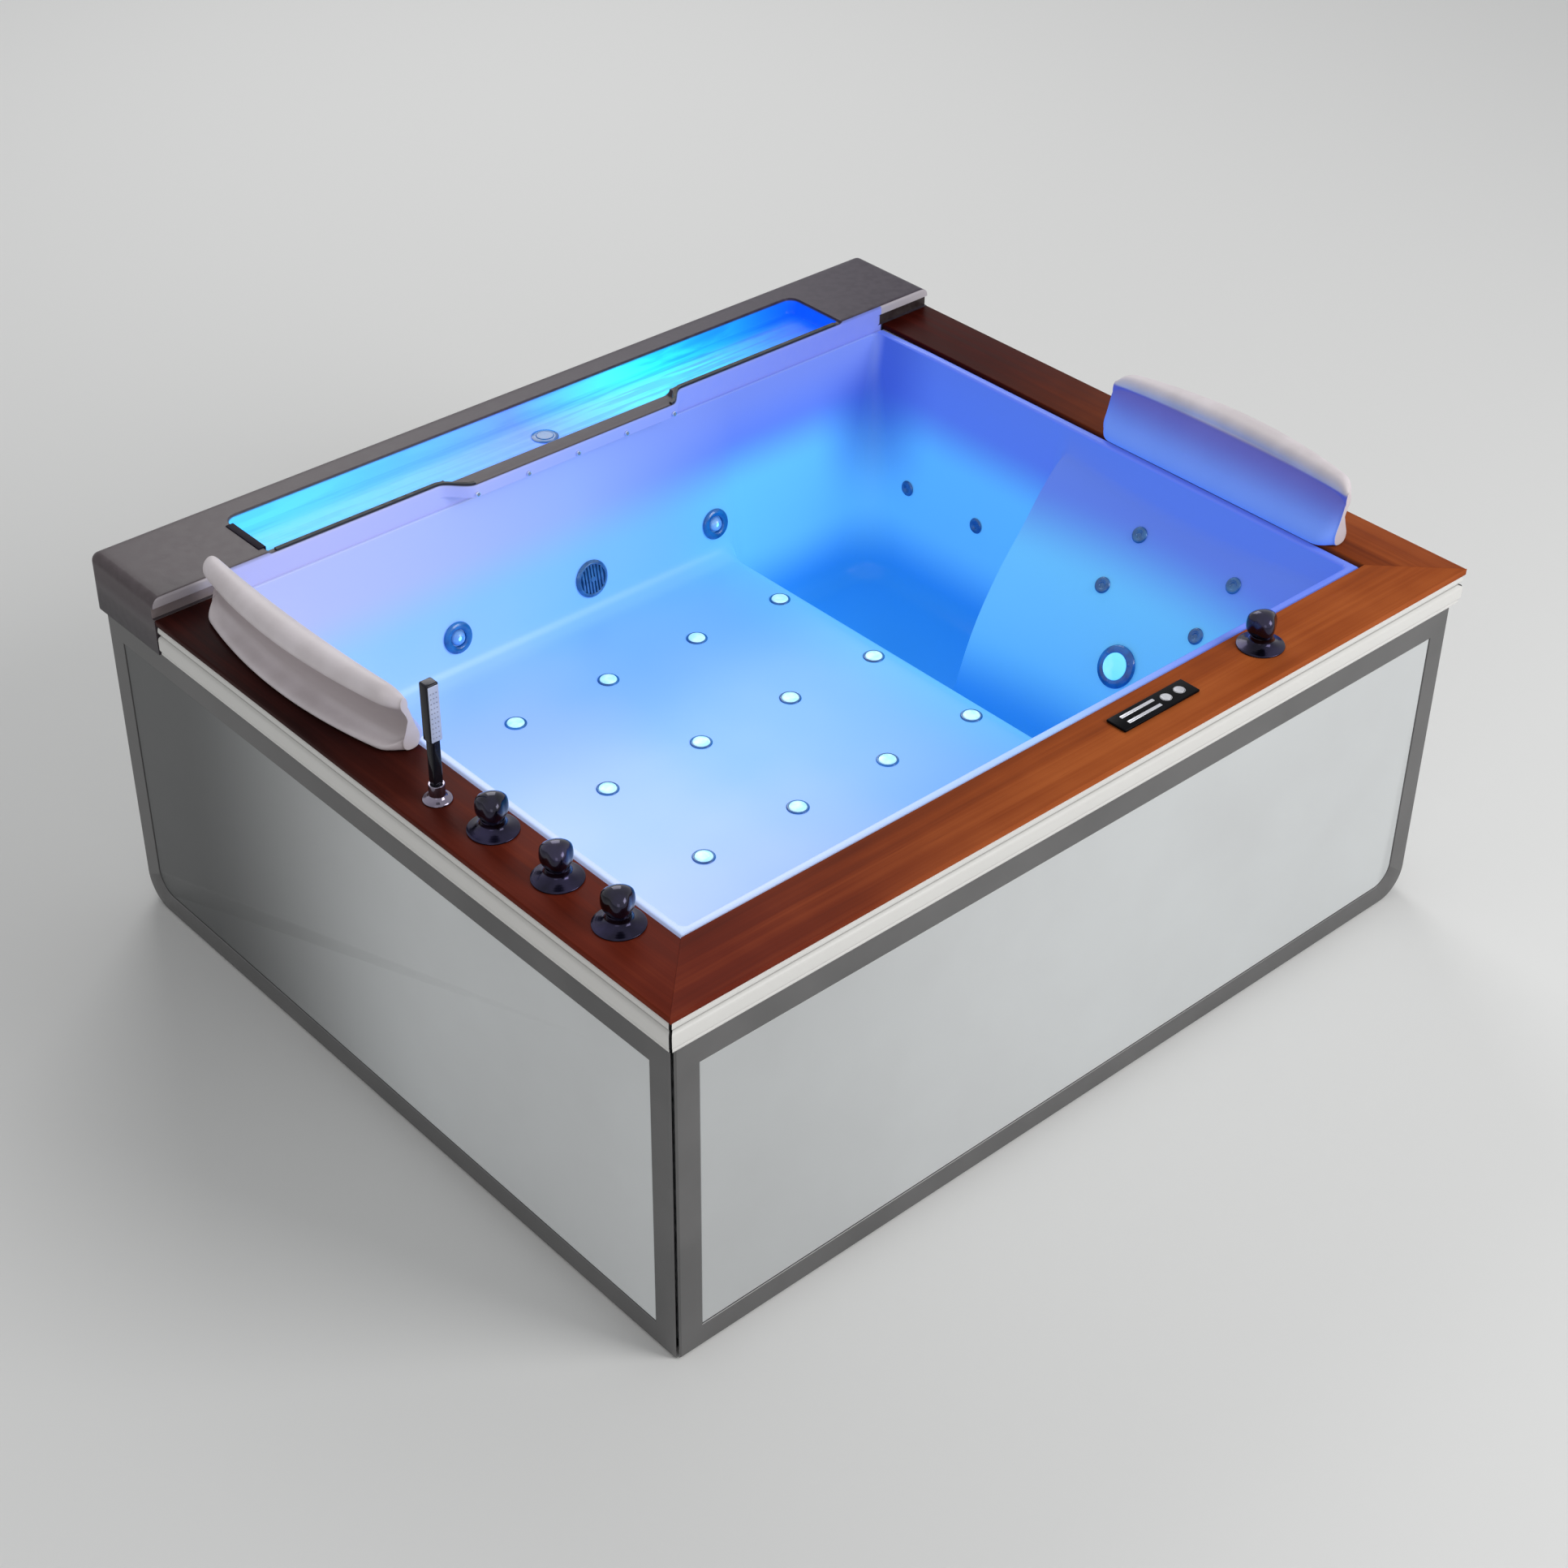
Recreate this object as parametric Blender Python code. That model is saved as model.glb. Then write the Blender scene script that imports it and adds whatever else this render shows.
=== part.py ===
"""Rectangular two-person jetted tub: a one-piece acrylic basin and a raised waterfall deck on a welded
steel cradle, hardwood deck boards, framed skirt panels, valves, jets, lights, pump and blower.
Metres, +Z up, X along the tub, the waterfall at +Y. The origin is on the floor under the middle."""

import math
from itertools import product

import bmesh
import bpy
from mathutils import Matrix, Vector
from mathutils.bvhtree import BVHTree

# Whole tub
LENGTH, WIDTH = 1.80, 1.55
DECK_TOP = 0.708
GAP = 0.0003
OVERRUN = 0.012
MERGE = 0.00001
FLAT_ANGLE = math.radians(0.2)

# Deck boards
WOOD_THICK, WOOD_WIDTH, WOOD_ROUND = 0.012, 0.125, 0.002

# Waterfall deck
FALL_DEPTH, FALL_RISE, FALL_WALL = 0.207, 0.039, 0.005
FALL_SKIRT, FALL_ROUND = 0.109, 0.016
TROUGH_END, TROUGH_BACK, TROUGH_DEPTH = 0.235, 0.058, 0.030
TROUGH_CORNER, DAM_THICK, DAM_DROP = 0.022, 0.014, 0.004
SPOUT_CENTRE, SPOUT_HALF, SPOUT_CURVE, SPOUT_REACH = -0.030, 0.255, 0.055, 0.040
SPOUT_DEEP, SPOUT_DROP = 0.024, 0.010
GROOVE_HIGH, GROOVE_DEEP, GROOVE_UP = 0.006, 0.0035, 0.024
FALL_SLOT_LONG, FALL_SLOT_HIGH, FALL_SLOT_DEEP = 0.080, 0.006, 0.010
STRIP_WIDE, STRIP_HIGH, STRIP_END = 0.008, 0.003, 0.014
NOZZLE_COUNT, NOZZLE_PITCH, NOZZLE_RADIUS, NOZZLE_OUT, NOZZLE_UP = 5, 0.114, 0.0045, 0.004, 0.0065
NOZZLE_BAR = 0.012
INLET_RADIUS, INLET_HIGH, INLET_FORWARD = 0.026, 0.004, 0.090
INLET_TAIL_RADIUS, INLET_TAIL = 0.014, 0.040

# Acrylic basin
SHELL_WALL = 0.005
LIP_FALL, LIP_BAND, LIP_LEDGE, LIP_ROUND = 0.0577, 0.036, 0.004, 0.003
BEAD_GROOVE, BEAD_WIDTH, BEAD_RISE, BEAD_ROUND = 0.003, 0.014, 0.008, 0.005
BEAD_FADE = 0.020
WALL_RUN, FILLET = 0.055, 0.046
CORNER_TOP, CORNER_LOW = 0.012, 0.090
PLATFORM_Z, FOOTWELL_Z = 0.380, 0.200
BACKREST_TOP, BACKREST_TOE, BACKREST_HOLLOW = 0.660, 0.180, 0.030
BACKREST_BLEND, FLANK_RUN, FLANK_FALL = 0.030, 0.050, 0.300

# Skirts
SKIRT_INSET, SKIRT_TUCK, SKIRT_CLEAR = 0.0098, 0.016, 0.003
BAND_TOP, BAND_FOOT, BAND_SIDE, BAND_THICK = 0.053, 0.045, 0.045, 0.014
BAND_BEVEL, BAND_JOINT, BAND_CORNER, BAND_LEDGE = 0.003, 0.006, 0.060, 0.008
PANEL_THICK, PANEL_SET = 0.006, 0.0015

# Steel cradle
TUBE, FLOOR_RAIL_Z = 0.030, 0.030
TOP_RAIL_FACE = 0.0003
FOOT_RADIUS, FOOT_PAD, FOOT_STEM, FOOT_SIDEWAYS = 0.021, 0.008, 0.006, 0.0075

# Valves and knobs
VALVE_INSET = 0.078
AIR_X, AIR_INSET = 0.442, 0.078
STEM_RADIUS, FLARE_RADIUS, FLARE_HIGH, NECK_RADIUS = 0.012, 0.041, 0.022, 0.019
VALVE_BODY_RADIUS, VALVE_BODY_LONG, SPINDLE_RADIUS, SPINDLE_UP = 0.018, 0.045, 0.005, 0.012
KNOB_RADIUS, KNOB_HIGH, KNOB_LOBE, KNOB_LOBES, KNOB_LIFT = 0.024, 0.043, 0.0035, 3, 0.0008

# Hand shower
SHOWER_INSET = 0.060
HOLDER_RADIUS, HOLDER_HIGH, HOLDER_SLEEVE, HOLDER_DEEP = 0.024, 0.030, 0.013, 0.030
BAR_WIDE, BAR_THICK, BAR_HEAD, BAR_GRIP = 0.030, 0.013, 0.105, 0.080
GRIP_WIDE, GRIP_THICK, BAR_STEM, BAR_ROUND = 0.019, 0.011, 0.0085, 0.002
BORE_PLAY = 0.0004
BAR_TURN = math.radians(-42)

# Control panel
PANEL_X, PANEL_INSET, PANEL_LONG, PANEL_WIDE = 0.172, 0.073, 0.178, 0.042
PLATE_HIGH, PLATE_SUNK, PLATE_ROUND = 0.005, 0.008, 0.0015
KEY_DEEP, KEY_PROUD, KEY_PLAY, KEY_TRAVEL = 0.004, 0.0012, 0.0005, 0.0010
BAR_KEY_LONG, BAR_KEY_WIDE, BAR_KEY_X, BAR_KEY_Y = 0.078, 0.0065, -0.030, 0.0085
ROUND_KEY_RADIUS, ROUND_KEY_X = 0.0085, (0.030, 0.062)

# Headrests
REST_TALL, REST_DEEP = 0.127, 0.108
REST_LIFT, REST_BACK = 0.0006, 0.015
REST_STATIONS, REST_END_SHARE, REST_TAPER_SHARE, REST_DROP_SHARE = 20, 0.12, 0.42, 0.07

# Wall fittings
RING_Z = 0.455
RING_RADIUS, RING_BODY, RING_HIGH, RING_TAIL = 0.031, 0.0215, 0.007, 0.042
RING_BALL, BALL_PLAY, BALL_OUT, NOZZLE_BORE, NOZZLE_DEEP = 0.0155, 0.0008, 0.004, 0.006, 0.003
SWIVEL_DEEP = 0.023
GRILLE_RADIUS, GRILLE_HIGH, GRILLE_TAIL = 0.037, 0.006, 0.050
GRILLE_BODY, SLOT_COUNT, SLOT_WIDE, SLOT_DEEP = 0.020, 5, 0.003, 0.003
SMALL_RADIUS, SMALL_BODY, SMALL_HIGH, SMALL_TAIL = 0.016, 0.009, 0.004, 0.036
SEAT_LIFT, HOLE_PLAY = 0.0012, 0.0006
FOOT_JET_Z, BACK_JET_Z = 0.413, (0.500, 0.500, 0.590, 0.590)
HEADER_RADIUS = 0.011
LIGHT_Z, LIGHT_RADIUS, LIGHT_BODY = 0.400, 0.041, 0.024
LIGHT_HIGH, LIGHT_TAIL, LENS_RADIUS, LENS_HIGH, LIGHT_LIFT = 0.008, 0.040, 0.026, 0.005, 0.0024

# Air jets in the platform
CAP_RADIUS, CAP_HIGH, CAP_STEM, AIR_PIPE_RADIUS, AIR_PIPE_Z = 0.014, 0.004, 0.007, 0.013, 0.338

# Drain
DRAIN_RADIUS, DRAIN_BODY = 0.030, 0.020
DRAIN_HIGH, DRAIN_BORE, DRAIN_LONG, STOPPER_RADIUS = 0.004, 0.015, 0.070, 0.022
STOPPER_HIGH, STOPPER_STEM = 0.005, 0.012

# Machinery on the cradle's floor rails
PUMP_X, PUMP_Y, MOTOR_RADIUS, MOTOR_LONG = -0.500, -0.300, 0.062, 0.200
VOLUTE_RADIUS, VOLUTE_LONG, PORT_RADIUS, PORT_OUT = 0.075, 0.070, 0.022, 0.040
PLINTH_HIGH, PLINTH_WIDE, FIN_COUNT, FIN_DEEP = 0.014, 0.150, 5, 0.004
BLOWER_X, BLOWER_Y, BLOWER_RADIUS, BLOWER_HIGH = -0.500, 0.240, 0.080, 0.150
BLOWER_NECK, BLOWER_NECK_HIGH = 0.022, 0.030
BOX_X, BOX_LONG, BOX_DEEP, BOX_HIGH = -0.050, 0.240, 0.080, 0.150
BOX_ROUND = 0.006
PIPE_RADIUS, PIPE_STEP, BLOW_RADIUS = 0.019, 0.060, 0.016
HEADER_PIPE, BRANCH_PIPE, BRANCH_LONG = 0.017, 0.013, 0.070
SUCTION_ROUTE = (
    (-0.030, 0.600, 0.260), (-0.100, 0.440, 0.140), (-0.230, 0.170, 0.130), (-0.400, -0.060, 0.140),
)
PRESSURE_ROUTE = (
    (-0.450, -0.230, 0.310), (-0.370, -0.100, 0.280), (-0.355, 0.200, 0.270), (-0.370, 0.460, 0.275),
)

# Places of the fittings, as shares of the tub's half length and half width
STEP_SHARE, STEP_RUN_SHARE, REACH_SHARE = 0.33556, 0.10889, 0.33333
BACKREST_LONG_SHARE, BACKREST_MIDDLE_SHARE = 0.81290, -0.36774
VALVE_SHARES, SHOWER_SHARE = (-0.34581, -0.54839, -0.73290), -0.19484
REST_LONG_SHARE, REST_MIDDLE_SHARE = 0.70968, -0.39355
RING_SHARES, GRILLE_SHARE, LIGHT_SHARE = (-0.36667, 0.32111), -0.02000, -0.37032
FOOT_JET_SHARES, BACK_JET_SHARES = (0.29290, 0.54452), (-0.52903, -0.23226, -0.55484, -0.25806)
AIR_COLUMN_SHARES, AIR_ROW_SHARES = (-0.39333, -0.15667, 0.08000, 0.31222), (-0.26194, 0.06968, 0.40903)
DRAIN_X_SHARE, DRAIN_Y_SHARE = 0.48000, -0.34839
LEG_X_SHARES, LEG_Y_SHARES = (-0.33333, 0.19556, 0.47778), (-0.45161, 0.24516)
DECK_X_SHARES, AIR_TRUNK_SHARE = (-0.62222, -0.48889), -0.27778

HALF_X, HALF_Y = LENGTH / 2, WIDTH / 2
STEP_X, STEP_RUN, BACKREST_REACH = HALF_X * STEP_SHARE, HALF_X * STEP_RUN_SHARE, HALF_X * REACH_SHARE
BACKREST_LONG, BACKREST_MIDDLE = HALF_Y * BACKREST_LONG_SHARE, HALF_Y * BACKREST_MIDDLE_SHARE
VALVE_Y, SHOWER_Y = [HALF_Y * share for share in VALVE_SHARES], HALF_Y * SHOWER_SHARE
REST_LONG, REST_MIDDLE = HALF_Y * REST_LONG_SHARE, HALF_Y * REST_MIDDLE_SHARE
RING_X, GRILLE_X = [HALF_X * share for share in RING_SHARES], HALF_X * GRILLE_SHARE
LIGHT_Y, FOOT_JET_Y = HALF_Y * LIGHT_SHARE, [HALF_Y * share for share in FOOT_JET_SHARES]
BACK_JETS = [(HALF_Y * share, z) for share, z in zip(BACK_JET_SHARES, BACK_JET_Z)]
AIR_COLUMNS = [HALF_X * share for share in AIR_COLUMN_SHARES]
AIR_ROWS = [HALF_Y * share for share in AIR_ROW_SHARES]
DRAIN_X, DRAIN_Y = HALF_X * DRAIN_X_SHARE, HALF_Y * DRAIN_Y_SHARE
LEG_X, LEG_Y = [HALF_X * share for share in LEG_X_SHARES], [HALF_Y * share for share in LEG_Y_SHARES]
DECK_X, AIR_TRUNK_X = [HALF_X * share for share in DECK_X_SHARES], HALF_X * AIR_TRUNK_SHARE
TROUGH_HALF = HALF_X - TROUGH_END
FLANGE_Z = DECK_TOP - WOOD_THICK - GAP
FALL_FRONT = HALF_Y - FALL_DEPTH
BACK_WALL = FALL_FRONT - GAP
FALL_TOP = DECK_TOP + FALL_RISE
LIP_FOOT = FLANGE_Z - LIP_FALL
WALL_INSET = WOOD_WIDTH + BEAD_GROOVE + BEAD_WIDTH
WALL_X, WALL_FRONT = HALF_X - WALL_INSET, WALL_INSET - HALF_Y
MIDDLE_Y = (WALL_FRONT + BACK_WALL) / 2
CRADLE_INSET = SKIRT_INSET + BAND_THICK + GAP
CRADLE_X, CRADLE_Y = HALF_X - CRADLE_INSET, HALF_Y - CRADLE_INSET
TOP_RAIL_Z = FALL_TOP - FALL_SKIRT - TOP_RAIL_FACE

OUTER_RINGS = (
    (LIP_LEDGE, LIP_FOOT),
    (LIP_LEDGE, LIP_FOOT + LIP_FALL - LIP_BAND),
    (0, LIP_FOOT + LIP_FALL - LIP_BAND + LIP_LEDGE),
    (0, FLANGE_Z - LIP_ROUND),
    (LIP_ROUND, FLANGE_Z),
    (WOOD_WIDTH + BEAD_GROOVE, FLANGE_Z),
    (WOOD_WIDTH + BEAD_GROOVE, FLANGE_Z + BEAD_RISE),
)
ARC_ANGLES = (0, math.radians(35), math.radians(65), math.radians(90))
WALL_RINGS = 7
STEP_SHARES = ((0, 1), (0.20, 0.96), (0.32, 0.84), (0.56, 0.17), (0.75, 0.03), (1, 0))
BACKREST_SHARES = ((0, 1), (0.10, 0.96), (0.23, 0.875), (0.39, 0.74), (0.62, 0.55), (0.81, 0.335), (1, 0))
REST_SHARES = (
    (-0.16, 0), (-0.18, 0.07), (-0.10, 0.22), (0.06, 0.44), (0.18, 0.65), (0.28, 0.82), (0.40, 0.95),
    (0.56, 1), (0.74, 0.97), (0.84, 0.86), (0.82, 0.74), (0.68, 0.66), (0.50, 0.57), (0.40, 0.42),
    (0.42, 0.26), (0.55, 0.16), (0.80, 0.125), (0.86, 0.06), (0.82, 0),
)


def clear_scene():
    for thing in list(bpy.data.objects):
        bpy.data.objects.remove(thing, do_unlink=True)


def finish(name, colour, roughness, metallic=0.0):
    material = bpy.data.materials.new(name)
    material.use_nodes = True
    shader = material.node_tree.nodes["Principled BSDF"]
    shader.inputs["Base Color"].default_value = (*colour, 1)
    shader.inputs["Roughness"].default_value = roughness
    shader.inputs["Metallic"].default_value = metallic
    return material


def add(name, bm, material, place=None, sharp=40, closed=True):
    """Makes one sub-part of a bmesh, set at a place given as a matrix or a point."""
    if closed:
        bmesh.ops.recalc_face_normals(bm, faces=bm.faces)
    mesh = bpy.data.meshes.new(name)
    bm.to_mesh(mesh)
    bm.free()
    mesh.shade_smooth()
    mesh.set_sharp_from_angle(angle=math.radians(sharp))
    part = bpy.data.objects.new(name, mesh)
    bpy.context.scene.collection.objects.link(part)
    part.data.materials.append(material)
    if place is not None:
        part.matrix_world = place if isinstance(place, Matrix) else Matrix.Translation(place)
    return part


def guide(name, bm):
    """A cutter or a piece to be joined on, which is no sub-part itself."""
    bmesh.ops.recalc_face_normals(bm, faces=bm.faces)
    mesh = bpy.data.meshes.new(name)
    bm.to_mesh(mesh)
    bm.free()
    tool = bpy.data.objects.new(name, mesh)
    bpy.context.scene.collection.objects.link(tool)
    tool.hide_render = True
    tool.display_type = "WIRE"
    return tool


def combine(part, tool, operation):
    change = part.modifiers.new(operation.lower(), "BOOLEAN")
    change.operation = operation
    change.object = tool
    change.solver = "EXACT"


def block(bm, low, high):
    low, high = Vector(low), Vector(high)
    size = high - low
    place = Matrix.Translation((low + high) / 2) @ Matrix.Diagonal((*size, 1))
    return bmesh.ops.create_cube(bm, size=1, matrix=place)["verts"]


def block_part(name, low, high, material, rounding=0):
    bm = bmesh.new()
    block(bm, low, high)
    part = add(name, bm, material)
    if rounding:
        soften(part, rounding)
    return part


def soften(part, width, segments=1):
    bevel = part.modifiers.new("soften", "BEVEL")
    bevel.width = width
    bevel.segments = segments
    bevel.limit_method = "ANGLE"


def turned(profile, steps, closed=False):
    """A profile of radius and height pairs, turned about Z."""
    bm = bmesh.new()
    points = [bm.verts.new((radius, 0, height)) for radius, height in profile]
    pairs = list(zip(points, points[1:])) + ([(points[-1], points[0])] if closed else [])
    edges = [bm.edges.new(pair) for pair in pairs]
    bmesh.ops.spin(bm, geom=points + edges, cent=(0, 0, 0), axis=(0, 0, 1), angle=math.tau, steps=steps,
                   use_merge=True)
    bmesh.ops.remove_doubles(bm, verts=bm.verts, dist=MERGE)
    return bm


def rod(bm, start, end, radius, sides=10):
    start, end = Vector(start), Vector(end)
    along = end - start
    place = Matrix.Translation((start + end) / 2) @ along.to_track_quat("Z", "Y").to_matrix().to_4x4()
    bmesh.ops.create_cone(bm, cap_ends=True, segments=sides, radius1=radius, radius2=radius,
                          depth=along.length, matrix=place)


def loft(loops, ring=False):
    """Skins a row of point loops. A ring joins the last loop to the first, or else both ends close."""
    bm = bmesh.new()
    rows = [[bm.verts.new(point) for point in loop] for loop in loops]
    pairs = list(zip(rows, rows[1:])) + ([(rows[-1], rows[0])] if ring else [])
    for first, second in pairs:
        for spot in range(len(first)):
            after = (spot + 1) % len(first)
            bm.faces.new((first[spot], first[after], second[after], second[spot]))
    if not ring:
        bm.faces.new(rows[0])
        bm.faces.new(rows[-1])
    return bm


def outline_solid(points, low, high):
    """A plan outline drawn up into a solid."""
    return loft([[(x, y, z) for x, y in points] for z in (low, high)])


def welded(boxes):
    """The joined outside of many square-set boxes, laid on the grid of all their faces."""
    cuts = [sorted({round(box[end][axis], 6) for box in boxes for end in (0, 1)}) for axis in range(3)]
    filled = set()
    for low, high in boxes:
        spans = [range(cut.index(round(first, 6)), cut.index(round(last, 6)))
                 for cut, first, last in zip(cuts, low, high)]
        filled.update(product(*spans))
    bm = bmesh.new()
    corners = {}

    def corner(*step):
        if step not in corners:
            corners[step] = bm.verts.new([cut[place] for cut, place in zip(cuts, step)])
        return corners[step]

    for cell in filled:
        for axis, side in product(range(3), (0, 1)):
            beside = list(cell)
            beside[axis] += 2 * side - 1
            if tuple(beside) in filled:
                continue
            square = []
            for one, two in ((0, 0), (1, 0), (1, 1), (0, 1)):
                step = list(cell)
                step[axis] += side
                step[axis - 1] += one
                step[axis - 2] += two
                square.append(corner(*step))
            bm.faces.new(square)
    bmesh.ops.dissolve_limit(bm, angle_limit=FLAT_ANGLE, verts=bm.verts, edges=bm.edges)
    return bm


def arc(centre, radius, start, end, steps):
    turns = [math.radians(start + (end - start) * step / steps) for step in range(steps + 1)]
    return [(centre[0] + radius * math.cos(turn), centre[1] + radius * math.sin(turn)) for turn in turns]


def smooth_step(share):
    share = min(max(share, 0.0), 1.0)
    return share * share * (3 - 2 * share)


def read_curve(table, value):
    """The height that a table of rising places and heights gives at a value."""
    if value <= table[0][0]:
        return table[0][1]
    for (left, first), (right, second) in zip(table, table[1:]):
        if value <= right:
            return first + (second - first) * (value - left) / (right - left)
    (left, first), (right, second) = table[-2:]
    return second + (second - first) * (value - right) / (right - left)


def blend_up(first, second, reach):
    """The larger of two heights, with a soft change between them."""
    near = max(reach - abs(first - second), 0)
    return max(first, second) + near * near / (4 * reach)


# The basin's inner form


def floor_height(x):
    share = min(max((x - STEP_X) / STEP_RUN, 0), 1)
    return FOOTWELL_Z + (PLATFORM_Z - FOOTWELL_Z) * read_curve(STEP_SHARES, share)


def backrest_height(x, y):
    """Two moulded backrests, the left one being the right one turned round half a turn."""
    heights = []
    for side in (1, -1):
        along = (y - MIDDLE_Y) * side - (BACKREST_MIDDLE - MIDDLE_Y)
        half = BACKREST_LONG / 2
        hollow = BACKREST_HOLLOW * max(1 - (along / half) ** 2, 0)
        share = (WALL_X - x * side + hollow) / BACKREST_REACH
        height = BACKREST_TOE + (BACKREST_TOP - BACKREST_TOE) * read_curve(BACKREST_SHARES, share)
        heights.append(height - FLANK_FALL / FLANK_RUN * max(abs(along) - half, 0))
    return max(heights)


def wall_ring(ring):
    """The inset of a wall ring and its corner's radius."""
    if ring <= 1:
        return ring * BEAD_ROUND, CORNER_TOP
    if ring == 2:
        return (BEAD_ROUND + WALL_RUN) / 2, (CORNER_TOP + CORNER_LOW) / 2
    if ring == WALL_RINGS:
        return WALL_RUN + CORNER_LOW, 0
    angle = ARC_ANGLES[ring - 3]
    return WALL_RUN + FILLET * (1 - math.cos(angle)), CORNER_LOW - FILLET * (1 - math.cos(angle))


def wall_height(ring, floor, y):
    top = FLANGE_Z + BEAD_RISE * min(max((BACK_WALL - y) / BEAD_FADE, 0), 1)
    if ring <= 1:
        return top - ring * BEAD_ROUND
    foot = floor + FILLET
    if ring == 2:
        return (top - BEAD_ROUND + foot) / 2
    return floor + FILLET * (1 - math.sin(ARC_ANGLES[ring - 3]))


def rim_inset(own, other):
    """How far in a rim line lies. Past the ring that the other direction sets, lines are spread evenly."""
    if own <= other:
        return OUTER_RINGS[own][0]
    first, last = OUTER_RINGS[other][0], OUTER_RINGS[-1][0]
    return first + (last - first) * (own - other) / (len(OUTER_RINGS) - 1 - other)


def floor_lines():
    """The grid lines over the basin's floor, laid where its form turns."""
    inset = WALL_RUN + CORNER_LOW
    left, right = inset - WALL_X, WALL_X - inset
    toe = WALL_X - BACKREST_REACH
    spread = (right - toe) / 3
    xs = [left, left + spread, left + 2 * spread, -toe]
    xs += [(STEP_X - toe) / 3 - toe / 3, STEP_X / 3 - toe / 3]
    xs += [STEP_X + STEP_RUN * share for share, _ in STEP_SHARES]
    xs += [toe - spread / 2, toe + spread / 2, right - spread, right]
    front, back = WALL_FRONT + inset, BACK_WALL - inset
    end = BACKREST_MIDDLE + BACKREST_LONG / 2
    ys = [front, (front + BACKREST_MIDDLE) / 2, BACKREST_MIDDLE, BACKREST_MIDDLE / 2 + front / 8]
    ys += [end, end + FLANK_RUN / 2, end + FLANK_RUN]
    mirrored = [2 * MIDDLE_Y - y for y in ys]
    return sorted(set(round(x, 6) for x in xs)), sorted(set(round(y, 6) for y in ys + mirrored))


def basin_surface():
    """The upper face of the basin: a grid whose outer lines are the rim, then wall rings round the floor."""
    xs, ys = floor_lines()
    outer, rings = len(OUTER_RINGS), WALL_RINGS
    columns = 2 * (outer + rings) + len(xs) - 1
    rows = outer + 2 * rings + len(ys) - 1
    bm = bmesh.new()
    bmesh.ops.create_grid(bm, x_segments=columns, y_segments=rows, size=1)

    def inside(i, j):
        """A place within the wall's top ring, by its steps past the floor's edge lines."""
        past_x = max(rings - i, 0) or -max(i - rings - len(xs) + 1, 0)
        past_y = max(rings - j, 0) or -max(j - rings - len(ys) + 1, 0)
        ring = rings - max(abs(past_x), abs(past_y))
        inset, radius = wall_ring(ring)
        side_x = (WALL_X - inset) * (-1 if past_x > 0 else 1)
        side_y = WALL_FRONT + inset if past_y > 0 else BACK_WALL - inset
        x = xs[min(max(i - rings, 0), len(xs) - 1)]
        y = ys[min(max(j - rings, 0), len(ys) - 1)]
        if past_x and past_y:
            steep = abs(past_y) / abs(past_x)
            turn = math.radians(45) * (steep if steep <= 1 else 2 - 1 / steep)
            toward_x, toward_y = math.copysign(1, side_x), -1 if past_y > 0 else 1
            x = side_x - toward_x * radius * (1 - math.cos(turn))
            y = side_y - toward_y * radius * (1 - math.sin(turn))
        elif past_x:
            x = side_x
        elif past_y:
            y = side_y
        floor = floor_height(x)
        z = floor if ring >= rings - 1 else wall_height(ring, floor, y)
        if ring >= 2:
            z = blend_up(z, backrest_height(x, y), BACKREST_BLEND)
        return x, y, z

    grid = {}
    for vert in bm.verts:
        grid[round((vert.co.x + 1) / 2 * columns), round((vert.co.y + 1) / 2 * rows)] = vert
    for (i, j), vert in grid.items():
        within_i = min(max(i - outer, 0), columns - 2 * outer)
        x, y, z = inside(within_i, max(j - outer, 0))
        rim = [OUTER_RINGS[step] for step in (i, columns - i, j) if step < outer]
        if rim:
            lowest = min(rim, key=lambda one: OUTER_RINGS.index(one))
            z = lowest[1]
            if lowest == OUTER_RINGS[-1]:
                z = FLANGE_Z + BEAD_RISE * min(max((BACK_WALL - y) / BEAD_FADE, 0), 1)
            side = min(i, columns - i)
            if side < outer:
                x = math.copysign(HALF_X - rim_inset(side, j), 2 * i - columns)
            if j < outer:
                y = rim_inset(j, side) - HALF_Y
        vert.co = (x, y, z)
    for step in range(outer):
        for near, far in ((step, step + 1), (columns - step, columns - step - 1)):
            bmesh.ops.connect_verts(bm, verts=[grid[near, step], grid[far, step + 1]])
    bmesh.ops.recalc_face_normals(bm, faces=bm.faces)
    bm.normal_update()
    if max(bm.faces, key=lambda face: face.calc_area() * abs(face.normal.z)).normal.z < 0:
        bmesh.ops.reverse_faces(bm, faces=bm.faces)
    return bm


def seat(tree, start, direction, lift=SEAT_LIFT):
    """Where a line from inside the basin meets its wall, as a matrix whose Z comes out of the wall."""
    spot, normal, _, _ = tree.ray_cast(Vector(start), Vector(direction))
    if normal.dot(Vector(direction)) > 0:
        normal = -normal
    turn = normal.to_track_quat("Z", "Y").to_matrix().to_4x4()
    return Matrix.Translation(spot + normal * lift) @ turn


def turned_half_round(place):
    """The same place on the other backrest."""
    middle = Matrix.Translation((0, MIDDLE_Y, 0))
    return middle @ Matrix.Rotation(math.pi, 4, "Z") @ middle.inverted() @ place


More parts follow.
